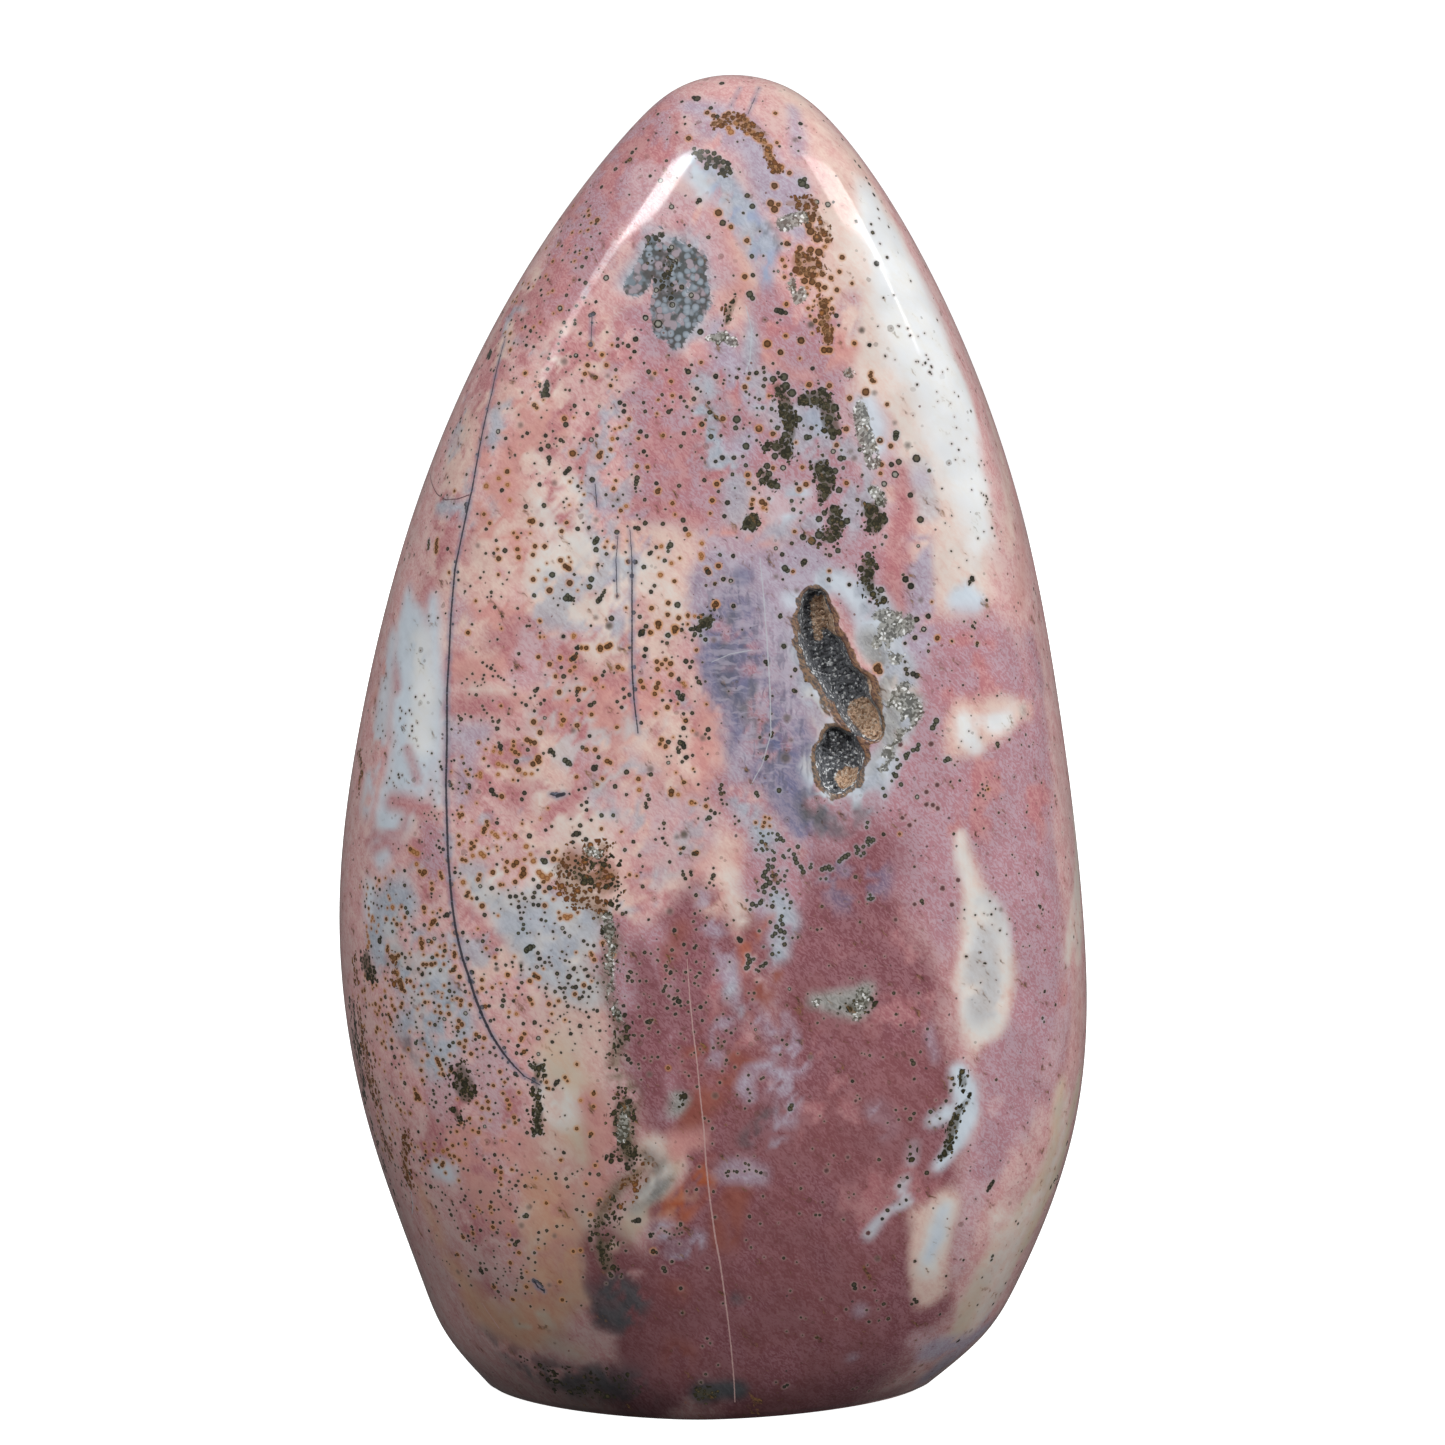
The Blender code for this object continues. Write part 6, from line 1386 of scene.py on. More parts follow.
# ---- lower left
crop_dots(330, 940, 4.021, 0, [
    (370, 138, 8), (480, 205, 9), (500, 210, 6), (490, 225, 5), (440, 315, 6), (515, 368, 7), (510, 385, 5),
    (600, 390, 9), (585, 400, 7), (640, 265, 8), (612, 270, 10), (605, 290, 7), (660, 320, 6), (645, 325, 8),
    (630, 345, 7), (610, 160, 8), (571, 130, 10), (552, 75, 9), (565, 165, 10), (575, 170, 7), (540, 180, 6),
    (570, 195, 4), (700, 222, 7), (697, 243, 10), (738, 245, 8), (718, 310, 7), (797, 230, 6), (818, 145, 6),
    (733, 90, 6), (768, 110, 6), (771, 122, 4), (843, 75, 9), (880, 70, 6), (883, 90, 6), (980, 117, 9),
    (960, 148, 11), (1022, 120, 7), (1038, 145, 8), (913, 135, 9), (963, 88, 5), (925, 75, 4), (933, 47, 6),
    (903, 265, 6), (905, 208, 8), (945, 193, 8), (975, 190, 8), (988, 190, 10), (930, 195, 7), (1020, 210, 7),
    (1003, 235, 9), (1015, 228, 7), (1040, 228, 6), (870, 193, 5), (840, 190, 5), (823, 332, 10), (879, 325, 5),
    (893, 410, 8), (968, 377, 8), (750, 455, 8), (770, 458, 7), (792, 443, 6), (700, 433, 8), (705, 450, 5),
    (667, 465, 7), (643, 452, 8), (668, 410, 5), (655, 395, 5), (685, 400, 4), (540, 450, 7), (640, 507, 7),
    (710, 521, 5), (745, 538, 10), (752, 545, 7), (715, 558, 6), (690, 560, 5), (745, 580, 5), (738, 632, 4),
    (628, 630, 7), (665, 655, 5), (600, 757, 5), (550, 727, 5), (487, 752, 5), (485, 773, 6), (483, 680, 8),
    (470, 690, 5), (675, 697, 5), (445, 780, 5), (415, 605, 7), (418, 620, 7), (440, 590, 5), (400, 660, 5),
    (380, 580, 5), (390, 550, 5), (398, 430, 4), (372, 375, 5), (905, 582, 8), (912, 572, 11), (920, 565, 6),
    (897, 600, 7), (870, 595, 5), (935, 597, 4), (1062, 610, 5), (1145, 635, 7), (1120, 660, 5), (1045, 790, 7),
    (945, 705, 4), (940, 855, 8), (1113, 870, 8), (905, 840, 5), (949, 960, 8), (955, 992, 8), (907, 940, 7),
    (910, 958, 7), (975, 940, 6), (995, 930, 5), (850, 942, 4), (686, 913, 8), (663, 935, 5), (620, 883, 7),
    (590, 860, 6), (590, 840, 4), (604, 1012, 8), (545, 1030, 7), (540, 1045, 7), (525, 1055, 6), (528, 1000, 6),
    (660, 1085, 6), (640, 1082, 4), (660, 1018, 5), (725, 1062, 7), (487, 1105, 9), (480, 1085, 6), (565, 1092, 5),
    (613, 1095, 5), (570, 1153, 7), (555, 1190, 7), (530, 1183, 5), (575, 1165, 5), (655, 1135, 7), (652, 1188, 5),
    (628, 1127, 4), (684, 1137, 7), (757, 1210, 8), (745, 1225, 10), (750, 1215, 8), (723, 1318, 5), (768, 1325, 5),
    (771, 1357, 9), (770, 1340, 6), (785, 1422, 5), (747, 1408, 7), (712, 1388, 5), (697, 1350, 4), (657, 1385, 5),
    (670, 1378, 5), (676, 1362, 6), (806, 1473, 6), (812, 1420, 3), (860, 1487, 4), (605, 1300, 7), (607, 1330, 12),
    (612, 1338, 9), (628, 1325, 9), (605, 1318, 6), (660, 1275, 5), (620, 1300, 5), (505, 1268, 6), (535, 1268, 5),
    (1020, 1270, 5), (820, 1370, 10), (833, 1374, 8), (845, 1382, 8), (853, 1393, 7), (859, 1406, 6), (861, 1417, 4),
    (1020, 1030, 6), (1058, 1020, 4), (1080, 943, 9), (1045, 940, 7), (1090, 1053, 5), (1015, 1093, 6),
    (1045, 1150, 8), (1040, 1130, 5), (1055, 1185, 8), (1110, 1110, 10), (1120, 1120, 8), (1150, 1110, 5),
    (1240, 1127, 13), (1228, 1130, 9), (1215, 1130, 6), (1185, 1083, 7), (1175, 1115, 5), (1232, 1032, 5),
    (1290, 1190, 9), (1300, 1180, 5), (1190, 1250, 6), (1180, 1218, 5), (1375, 1293, 7), (1410, 1140, 7),
    (1395, 1160, 5), (1415, 1177, 5), (1345, 1170, 5), (1330, 1160, 4), (1405, 1222, 5), (1520, 1320, 4),
    (1200, 150, 9), (1210, 130, 8), (1215, 165, 8), (1195, 145, 6), (1275, 330, 9), (1290, 325, 8), (1255, 385, 7),
    (1240, 270, 6), (1180, 265, 8), (1245, 95, 5), (1265, 50, 8), (1290, 55, 5), (1350, 105, 8), (1370, 130, 9),
    (1350, 185, 7), (1340, 205, 8), (1400, 245, 10), (1385, 235, 7), (1440, 250, 7), (1490, 270, 9), (1410, 265, 6),
    (1430, 130, 6), (1490, 135, 5), (1470, 150, 6), (1315, 80, 5), (1245, 165, 6), (1375, 40, 8), (1085, 365, 7),
    (1070, 450, 6), (1200, 480, 10), (1190, 465, 7), (1210, 495, 7), (1240, 500, 6), (1265, 475, 5), (1295, 470, 5),
    (1005, 345, 10), (1040, 310, 7), (1030, 290, 6), (1060, 280, 6), (1075, 285, 8), (1010, 1470, 5), (1190, 50, 6),
    (1130, 1350, 10), (1125, 1340, 7), (1170, 1355, 5), (270, 435, 5), (250, 330, 5), (255, 350, 5), (225, 300, 6),
    (240, 310, 6), (310, 300, 6), (320, 295, 5), (345, 330, 5),
])
crop_dots(330, 940, 4.021, 1, [
    (462, 42, 8), (430, 60, 6), (455, 65, 6), (500, 52, 8), (500, 66, 8), (520, 148, 9), (510, 235, 7),
    (527, 243, 9), (525, 262, 8), (478, 298, 9), (445, 293, 8), (423, 288, 6), (518, 325, 9), (530, 340, 10),
    (513, 352, 9), (588, 380, 9), (620, 395, 9), (625, 268, 9), (612, 195, 8), (805, 240, 9), (813, 258, 7),
    (803, 165, 9), (838, 152, 8), (715, 142, 8), (880, 258, 9), (870, 367, 8), (782, 377, 8), (770, 395, 9),
    (767, 405, 6), (722, 362, 6), (780, 450, 9), (567, 458, 9), (683, 530, 8), (702, 572, 6), (657, 585, 7),
    (695, 617, 7), (712, 643, 8), (722, 663, 7), (760, 613, 7), (635, 650, 8), (612, 675, 8), (637, 678, 8),
    (590, 655, 7), (740, 713, 9), (745, 735, 7), (700, 752, 7), (610, 718, 7), (597, 773, 8), (560, 718, 7),
    (525, 735, 8), (510, 770, 6), (370, 485, 6), (430, 478, 9), (435, 490, 9), (441, 503, 9), (455, 540, 8),
    (450, 520, 6), (485, 525, 7), (545, 405, 8), (520, 415, 9), (540, 430, 8), (353, 630, 13), (345, 618, 9),
    (360, 640, 9), (345, 640, 8), (870, 572, 7), (880, 597, 7), (945, 553, 8), (955, 567, 6), (992, 500, 7),
    (1060, 618, 9), (1060, 670, 7), (992, 758, 8), (1050, 780, 9), (928, 885, 7), (870, 1058, 7), (665, 925, 8),
    (686, 958, 7), (688, 985, 6), (645, 1073, 8), (575, 1180, 8), (535, 1195, 9), (655, 1155, 8), (760, 1258, 8),
    (725, 1298, 8), (790, 1395, 8), (660, 1395, 9), (735, 1445, 8), (934, 1447, 8), (925, 1375, 7), (513, 1265, 8),
    (978, 1252, 7), (1007, 1248, 7), (1030, 980, 7), (1067, 907, 7), (1085, 1045, 6), (1047, 1105, 8),
    (1300, 1250, 10), (1360, 515, 8), (250, 265, 8), (260, 280, 8), (285, 270, 8), (290, 255, 8), (235, 300, 8),
    (245, 320, 8), (285, 180, 12), (288, 195, 11), (282, 165, 9), (300, 205, 8), (260, 130, 9), (270, 140, 7),
    (205, 240, 8), (200, 270, 7), (190, 300, 7), (190, 355, 10), (185, 370, 8), (315, 440, 6), (290, 470, 7),
    (340, 600, 7), (450, 905, 10), (455, 895, 8), (425, 885, 7), (520, 885, 8), (500, 870, 8), (480, 865, 7),
    (430, 885, 6), (395, 890, 6), (380, 820, 6), (385, 850, 6), (420, 820, 6), (415, 845, 6),
])
crop_dots(330, 940, 4.021, 5, [(720, 290, 6), (750, 298, 7), (1008, 645, 6), (827, 958, 5), (220, 205, 6), (545, 820, 7), (455, 850, 8)])
crop_dots(330, 940, 4.021, 3, [
    (545, 295, 9), (460, 318, 9), (832, 108, 8), (838, 395, 10), (838, 458, 9), (622, 750, 8), (445, 120, 7),
])
crop_dots(330, 940, 4.021, 2, [
    (670, 118, 6), (768, 95, 8), (718, 730, 6), (882, 1388, 7), (770, 1148, 9), (903, 1190, 8), (515, 1335, 9),
    (800, 1075, 8), (410, 1210, 6),
])
crop_dots(330, 940, 4.021, 4, [
    (495, 120, 10), (628, 210, 6), (693, 265, 9), (790, 40, 12), (805, 28, 12), (798, 34, 12), (495, 412, 8),
    (345, 415, 9), (350, 405, 6), (806, 503, 9), (815, 512, 9), (828, 515, 9), (840, 514, 11), (852, 508, 12),
    (858, 525, 8), (843, 605, 8), (838, 632, 9), (845, 678, 13), (838, 665, 8), (836, 694, 10), (833, 708, 8),
    (829, 728, 12), (833, 745, 11), (836, 765, 15), (822, 775, 11), (845, 775, 11), (818, 788, 7), (822, 1258, 7),
    (790, 1108, 11), (780, 1112, 8),
])
# ---- middle and right
crop_dots(680, 560, 3.733, 0, [
    (45, 570, 6), (22, 600, 9), (14, 628, 8), (10, 686, 11), (14, 698, 10), (22, 737, 9), (8, 515, 10), (12, 505, 8),
    (15, 830, 8), (68, 838, 6), (55, 790, 4), (105, 633, 10), (95, 650, 6), (108, 665, 7), (163, 72, 9), (130, 88, 7),
    (97, 95, 6), (200, 172, 9), (128, 185, 7), (125, 150, 6), (7, 260, 7), (53, 283, 7), (22, 378, 10), (45, 380, 8),
    (38, 400, 8), (70, 455, 9), (62, 440, 7), (78, 463, 5), (95, 453, 5), (320, 380, 9), (326, 390, 7), (430, 410, 9),
    (415, 435, 5), (450, 385, 9), (455, 378, 7), (470, 450, 6), (425, 488, 9), (433, 490, 7), (492, 505, 4),
    (345, 508, 5), (340, 655, 9), (345, 645, 6), (298, 662, 6), (318, 740, 9), (326, 734, 7), (375, 205, 7),
    (372, 215, 5), (342, 575, 4), (182, 490, 4), (155, 840, 8), (150, 855, 8), (153, 872, 9), (165, 868, 6),
    (155, 895, 6), (175, 912, 5), (160, 910, 5), (115, 935, 7), (130, 945, 8), (205, 957, 5), (220, 975, 6),
    (205, 985, 5), (113, 990, 5), (68, 965, 5), (95, 895, 6), (105, 890, 5), (148, 945, 4), (345, 1293, 9),
    (325, 1290, 5), (390, 1435, 9), (760, 1024, 8), (655, 1183, 8), (842, 72, 13), (862, 97, 13), (833, 55, 6),
    (632, 93, 7), (555, 72, 8), (557, 40, 6), (462, 10, 12), (927, 210, 11), (883, 222, 12), (877, 290, 10),
    (1015, 303, 5), (928, 315, 5), (840, 312, 6), (840, 380, 6), (843, 408, 9), (848, 425, 9), (870, 425, 11),
    (884, 431, 12), (1060, 230, 4), (1092, 248, 7), (1100, 255, 5), (1103, 235, 4), (1145, 150, 6), (1090, 68, 10),
    (1082, 82, 8), (1148, 210, 4), (1057, 467, 5), (1340, 385, 6), (1370, 467, 6), (1320, 108, 8), (1328, 125, 6),
    (1340, 195, 4), (1262, 160, 4), (1255, 190, 4), (1390, 370, 5), (1185, 687, 10), (1187, 697, 6), (1123, 663, 4),
    (1275, 690, 4), (1398, 690, 3), (1128, 838, 5), (1130, 855, 5), (1132, 880, 6), (1113, 878, 5), (1140, 860, 4),
    (1145, 843, 4), (1070, 860, 3), (1120, 870, 4), (1400, 880, 6), (1190, 943, 5), (1215, 985, 3), (1200, 890, 3),
    (1022, 1023, 6), (672, 1352, 5), (530, 1293, 6), (512, 1380, 5), (528, 1377, 4), (875, 1145, 5), (1335, 1173, 7),
    (1330, 1165, 5), (1345, 1295, 8), (1340, 1290, 5), (1355, 1305, 5), (1350, 1320, 4), (1470, 1407, 6),
    (1230, 1340, 4), (1067, 1480, 5), (1102, 1325, 4), (1135, 1505, 4), (1365, 1455, 3), (1305, 1440, 4),
    (1300, 1520, 4), (1440, 1110, 5), (1240, 1100, 4), (1250, 1110, 3), (12, 1075, 8), (40, 1165, 7), (12, 1175, 8),
    (20, 1190, 7), (35, 1222, 5), (60, 1252, 7), (55, 1320, 6), (100, 1335, 5), (50, 1350, 6), (60, 1380, 5),
    (95, 1365, 5), (200, 1345, 5), (175, 1362, 6), (225, 1420, 11), (218, 1412, 8), (185, 1500, 5), (125, 1470, 4),
    (75, 1310, 4), (60, 1440, 6), (125, 1150, 5), (125, 1178, 9), (119, 1188, 7), (110, 1205, 6), (125, 1215, 5),
    (98, 1225, 5), (902, 1272, 8), (906, 1282, 6), (440, 1408, 5), (420, 1410, 5),
])
crop_dots(680, 560, 3.733, 1, [
    (43, 905, 8), (57, 908, 5), (97, 920, 8), (135, 165, 11), (282, 980, 6), (315, 980, 7), (318, 960, 5),
    (333, 965, 5), (335, 993, 5), (310, 995, 6), (960, 292, 9), (30, 212, 5), (100, 35, 10), (110, 48, 7),
    (820, 1023, 6), (735, 405, 14), (745, 415, 12), (740, 395, 10), (1150, 855, 5),
])
crop_dots(680, 560, 3.733, 5, [(55, 210, 6), (78, 212, 5), (12, 460, 6), (20, 470, 5)])
crop_dots(680, 560, 3.733, 3, [(192, 76, 7), (910, 258, 11), (885, 885, 9), (1010, 745, 6)])
crop_dots(680, 560, 3.733, 2, [
    (85, 665, 9), (62, 650, 7), (388, 320, 10), (898, 150, 8), (415, 672, 6), (15, 1028, 12), (1198, 1305, 6),
    (395, 740, 16), (400, 590, 12),
])
crop_dots(680, 560, 3.733, 6, [
    (1038, 1195, 9), (980, 1225, 10), (1015, 1287, 9), (876, 1285, 8), (805, 1343, 8), (857, 990, 9), (830, 963, 8),
    (878, 973, 5), (920, 866, 9), (960, 840, 9), (920, 913, 9), (944, 915, 9), (962, 927, 9), (937, 687, 10),
    (823, 689, 9),
])
crop_dots(680, 560, 3.733, 4, [
    (100, 232, 18), (88, 242, 13), (112, 222, 12), (108, 245, 12), (60, 255, 10), (75, 265, 8), (40, 258, 8),
    (95, 297, 9), (110, 962, 10), (100, 968, 7), (285, 870, 9), (290, 880, 8), (370, 860, 10), (365, 1025, 8),
    (375, 1040, 10), (385, 1048, 8), (360, 1045, 7), (310, 1030, 6), (330, 1022, 6), (345, 1020, 5), (305, 1052, 9),
    (300, 1020, 6), (320, 1060, 7), (305, 1078, 7), (310, 1085, 6), (325, 1080, 6), (345, 1085, 6), (352, 1092, 6),
    (350, 1118, 9), (330, 1120, 7), (328, 1140, 9), (345, 1145, 9), (330, 1155, 8), (318, 1165, 10), (312, 1180, 10),
    (325, 1190, 9), (345, 1180, 9), (360, 1175, 7), (335, 1205, 11), (320, 1215, 11), (310, 1222, 9), (350, 1225, 9),
    (360, 1240, 7), (315, 1240, 9), (340, 1250, 7), (365, 1205, 8), (375, 1195, 6), (390, 1200, 5), (400, 1160, 6),
    (425, 1098, 8), (430, 1115, 10), (435, 1130, 10), (450, 1145, 9), (460, 1165, 10), (455, 1150, 7), (487, 1148, 8),
    (490, 1135, 6), (440, 1070, 9), (385, 1105, 8), (390, 1112, 6), (405, 1085, 6), (410, 1080, 5), (270, 1285, 10),
    (285, 1290, 8), (300, 1280, 10), (305, 1270, 7), (262, 1305, 6), (250, 1270, 6), (380, 1330, 8), (375, 1345, 8),
    (383, 1360, 9), (360, 1370, 10), (375, 1385, 11), (390, 1390, 9), (355, 1395, 9), (345, 1405, 8), (385, 1412, 7),
    (400, 1250, 7), (385, 1265, 6), (395, 1230, 5), (390, 1300, 5), (410, 1300, 5), (530, 1155, 9), (543, 1150, 10),
    (556, 1145, 9), (560, 1156, 8), (570, 1152, 6), (595, 1125, 9), (605, 1115, 9), (617, 1107, 11), (628, 1100, 9),
    (660, 1095, 7), (665, 1082, 9), (658, 1070, 8), (685, 1070, 8), (686, 1095, 8), (700, 1052, 9), (705, 1040, 9),
    (722, 1045, 9), (714, 1052, 7), (705, 1065, 6), (675, 1105, 6), (700, 980, 7), (697, 998, 7), (545, 1190, 6),
    (525, 1190, 5), (758, 853, 7), (765, 880, 9), (825, 838, 9), (805, 805, 11), (798, 798, 8), (790, 825, 6),
    (812, 775, 9), (822, 765, 8), (810, 745, 7), (845, 730, 11), (852, 722, 8), (844, 740, 8), (870, 710, 9),
    (886, 706, 10), (890, 690, 9), (943, 627, 11), (957, 600, 12), (950, 615, 8), (710, 1250, 6), (712, 1265, 9),
    (702, 1265, 6), (722, 1262, 6), (60, 1095, 10), (50, 1096, 8), (1000, 743, 11), (990, 750, 8), (1110, 310, 7),
    (1108, 320, 6), (320, 1505, 8), (310, 1515, 8), (275, 1490, 7), (262, 1500, 8), (255, 1520, 7), (285, 1530, 6),
])
# ---- lower right
crop_dots(640, 940, 3.2, 0, [
    (147, 103, 5), (190, 105, 5), (247, 97, 5), (183, 115, 4), (82, 125, 4), (97, 100, 4), (58, 67, 4), (78, 155, 5),
    (98, 148, 4), (107, 190, 5), (125, 197, 9), (110, 205, 5), (120, 185, 5), (30, 262, 9), (22, 262, 5), (40, 255, 4),
    (130, 300, 4), (45, 205, 4), (155, 230, 4), (192, 215, 4), (365, 170, 5), (348, 170, 4), (360, 190, 4),
    (380, 100, 5), (400, 75, 5), (373, 135, 4), (385, 85, 5), (812, 170, 6), (820, 238, 5), (568, 265, 4),
    (875, 293, 4), (920, 285, 5), (735, 370, 5), (778, 375, 3), (680, 452, 6), (875, 395, 8), (870, 385, 6),
    (1295, 165, 6), (1330, 208, 6), (1295, 32, 4), (1105, 75, 4), (1045, 52, 4), (1140, 447, 5), (1310, 510, 3),
    (1000, 443, 7), (1005, 462, 6), (995, 482, 6), (980, 515, 6), (962, 538, 4), (960, 572, 5), (925, 582, 4),
    (865, 572, 7), (877, 555, 6), (850, 540, 4), (828, 575, 4), (575, 563, 3), (590, 580, 3), (620, 690, 4),
    (765, 703, 6), (515, 795, 5), (510, 875, 4), (562, 880, 5), (575, 880, 5), (350, 885, 6), (337, 715, 5),
    (348, 720, 5), (310, 742, 6), (335, 740, 4), (300, 740, 4), (350, 735, 4), (372, 740, 6), (387, 745, 6),
    (283, 740, 6), (280, 755, 5), (275, 745, 4), (394, 820, 4), (385, 908, 4), (460, 1018, 5), (918, 745, 8),
    (855, 760, 6), (830, 787, 7), (792, 865, 7), (775, 892, 6), (755, 860, 3), (880, 1028, 6), (980, 1075, 5),
    (1045, 892, 4), (1035, 1025, 5), (1222, 995, 6), (1210, 908, 5), (1203, 900, 4), (1170, 1098, 5), (1080, 1168, 5),
    (1130, 1165, 6), (1095, 1080, 4), (960, 1198, 5), (885, 1158, 8), (878, 1150, 7), (870, 1165, 6), (1020, 1282, 7),
    (1015, 1285, 5), (685, 1103, 9), (688, 1115, 7), (718, 1112, 5), (780, 1165, 7), (795, 1212, 7), (733, 1222, 6),
    (660, 1182, 5), (765, 1218, 4), (628, 1213, 3), (565, 1272, 5), (520, 1265, 3), (515, 1208, 4), (462, 1430, 7),
    (471, 1424, 6), (435, 1415, 4), (733, 1443, 4), (680, 1437, 4), (878, 1382, 5), (780, 1358, 3), (1124, 782, 9),
    (1118, 792, 9), (1130, 773, 7), (1112, 802, 6), (75, 1050, 8), (80, 1060, 7), (42, 998, 8), (52, 1000, 6),
    (130, 1115, 7), (215, 1050, 5), (100, 1030, 4), (135, 1193, 5), (265, 1163, 4), (350, 1145, 3), (240, 887, 5),
    (235, 805, 5), (33, 943, 7), (95, 940, 4), (110, 943, 4), (125, 940, 4), (130, 912, 6), (85, 935, 4),
    (215, 1275, 5), (225, 1290, 4), (200, 1300, 4), (210, 1390, 5), (195, 1415, 5), (250, 1360, 4), (852, 832, 6),
    (1290, 380, 3), (1090, 40, 4), (270, 325, 5), (262, 340, 4), (250, 330, 4), (235, 345, 5), (250, 315, 4),
    (345, 478, 5), (352, 490, 4), (350, 515, 5), (388, 445, 5), (395, 440, 4), (455, 320, 5), (470, 335, 5),
])
crop_dots(640, 940, 3.2, 3, [(370, 287, 5), (478, 157, 6)])
crop_dots(640, 940, 3.2, 6, [(597, 738, 8), (665, 695, 6), (730, 938, 8), (690, 515, 5)])
crop_dots(640, 940, 3.2, 2, [(545, 375, 7), (760, 1020, 8), (240, 498, 9), (30, 430, 7)])
crop_dots(640, 940, 3.2, 4, [
    (345, 50, 8), (350, 62, 8), (340, 90, 8), (345, 75, 7), (1288, 250, 6), (1293, 262, 5), (930, 550, 7),
    (1128, 1012, 7), (1125, 1024, 6), (480, 540, 9), (485, 530, 8),
])
for x, y, r in [(1057, 1184, 3.2), (1067, 1143, 3.0)]:
    dot(x, y, r, 0)
#DOTS-END
HEROES = len(DOTS)


def scatter(marks, amount, low, high, kind=0.0, spread=1.0, share=0.0, other=1.0):
    """Strews dots along a stroke. amount is how many, low and high are radii in pixels."""
    flat = []
    for a, b in zip(marks, marks[1:] or marks):
        flat.append((a, b))
    weights = np.array([max(4.0, math.dist(a[:2], b[:2])) + a[2] + b[2] for a, b in flat])
    weights = weights / weights.sum()
    for _ in range(amount):
        a, b = flat[int(RNG.choice(len(flat), p=weights))]
        t = RNG.random()
        r = (a[2] + (b[2] - a[2]) * t) * spread * math.sqrt(RNG.random())
        turn = RNG.random() * 2 * math.pi
        x = a[0] + (b[0] - a[0]) * t + r * math.cos(turn)
        y = a[1] + (b[1] - a[1]) * t + r * math.sin(turn)
        size = low + (high - low) * RNG.random() ** 1.7
        dot(x, y, size, other if RNG.random() < share else kind)


def scatter_side(code, marks, amount, low, high, kind=0.0, share=0.0, other=1.0):
    for _ in range(amount):
        a, b, r = marks[int(RNG.integers(len(marks)))]
        turn, reach = RNG.random() * 2 * math.pi, r * math.sqrt(RNG.random())
        where = side_point(code, a + reach * math.cos(turn), b + reach * math.sin(turn))
        size = (low + (high - low) * RNG.random() ** 1.7) * MM_PER_PX
        DOTS.append((where, size, other if RNG.random() < share else kind))


#SCATTER-BEGIN
scatter([(590, 210, 24), (540, 290, 30), (500, 360, 24)], 90, 0.9, 2.0, share=0.3)
scatter([(680, 400, 40), (750, 430, 60), (820, 470, 60), (860, 530, 40)], 110, 1.2, 3.0, kind=4.0, share=0.4, other=0.0)
scatter([(640, 360, 50), (600, 500, 60), (640, 640, 50)], 70, 0.9, 2.2, share=0.4)
scatter([(400, 1120, 30), (470, 1170, 50), (520, 1230, 50), (480, 1270, 40)], 150, 0.9, 2.0, share=0.2)
scatter([(680, 960, 30), (720, 1060, 40), (700, 1180, 40)], 50, 0.9, 1.9)
scatter([(800, 260, 24), (830, 330, 24)], 40, 1.2, 2.6, kind=1.0, share=0.3, other=0.0)
scatter([(372, 980, 22), (380, 1060, 26), (400, 1140, 26), (420, 1200, 20)], 190, 0.9, 2.6, share=0.4)
scatter([(440, 960, 50), (470, 1030, 60), (480, 1110, 60)], 170, 0.9, 2.3, share=0.3)
scatter([(520, 930, 60), (560, 1000, 50), (600, 960, 40)], 110, 0.9, 2.2, share=0.25)
scatter([(370, 880, 16), (390, 930, 26)], 60, 0.9, 2.0, share=0.4)
scatter([(600, 350, 40), (560, 420, 50), (640, 500, 40)], 60, 0.9, 1.7, share=0.2)
scatter([(690, 620, 24), (680, 700, 30), (690, 780, 30)], 40, 1.0, 1.9, share=0.4)
scatter([(560, 260, 60), (520, 380, 60), (500, 500, 70)], 60, 0.8, 1.5)
scatter([(560, 560, 110), (560, 700, 130)], 60, 0.8, 1.6, share=0.4)
scatter([(480, 760, 40), (500, 860, 50), (520, 900, 60)], 50, 0.9, 1.7, share=0.5)
scatter([(400, 900, 40), (420, 980, 60), (430, 1060, 60)], 120, 0.8, 2.0, share=0.4)
scatter([(440, 1120, 70), (480, 1200, 80)], 60, 0.8, 1.8, share=0.1)
scatter([(560, 1000, 60), (640, 1000, 50), (660, 1080, 50)], 60, 0.8, 1.8)
scatter([(770, 860, 20), (780, 920, 26), (765, 970, 20)], 24, 1.2, 2.2, kind=4.0)
scatter([(720, 420, 60), (760, 360, 50)], 30, 0.9, 1.8)
scatter([(810, 240, 18), (815, 285, 16)], 26, 1.6, 3.2, kind=5.0)
scatter([(700, 120, 60), (780, 130, 50), (860, 180, 22)], 20, 0.8, 1.6)
scatter([(960, 300, 30), (980, 450, 26), (985, 560, 20)], 16, 0.8, 1.4)
scatter([(990, 700, 70), (1010, 850, 70), (1030, 1000, 50)], 60, 0.7, 1.4)
scatter([(860, 950, 90), (860, 1150, 120), (840, 1300, 110)], 60, 0.7, 1.5)
scatter([(540, 1120, 60), (560, 1250, 60)], 30, 0.9, 2.0)
scatter([(370, 760, 18), (400, 700, 30), (420, 840, 30)], 60, 0.7, 1.4)
scatter_side("b", [(0, 150, 26), (10, 110, 40), (-10, 80, 46), (20, 50, 40), (-20, 120, 26)], 620, 1.3, 3.2, share=0.35)
scatter_side("l", [(8, 60, 12), (8, 90, 12), (8, 120, 10)], 120, 1.1, 2.6, share=0.35)
scatter_side("r", [(8, 60, 12), (8, 90, 12)], 40, 0.9, 1.8)
#SCATTER-END

LINES = []     # from, to (mm), radius (mm), kind


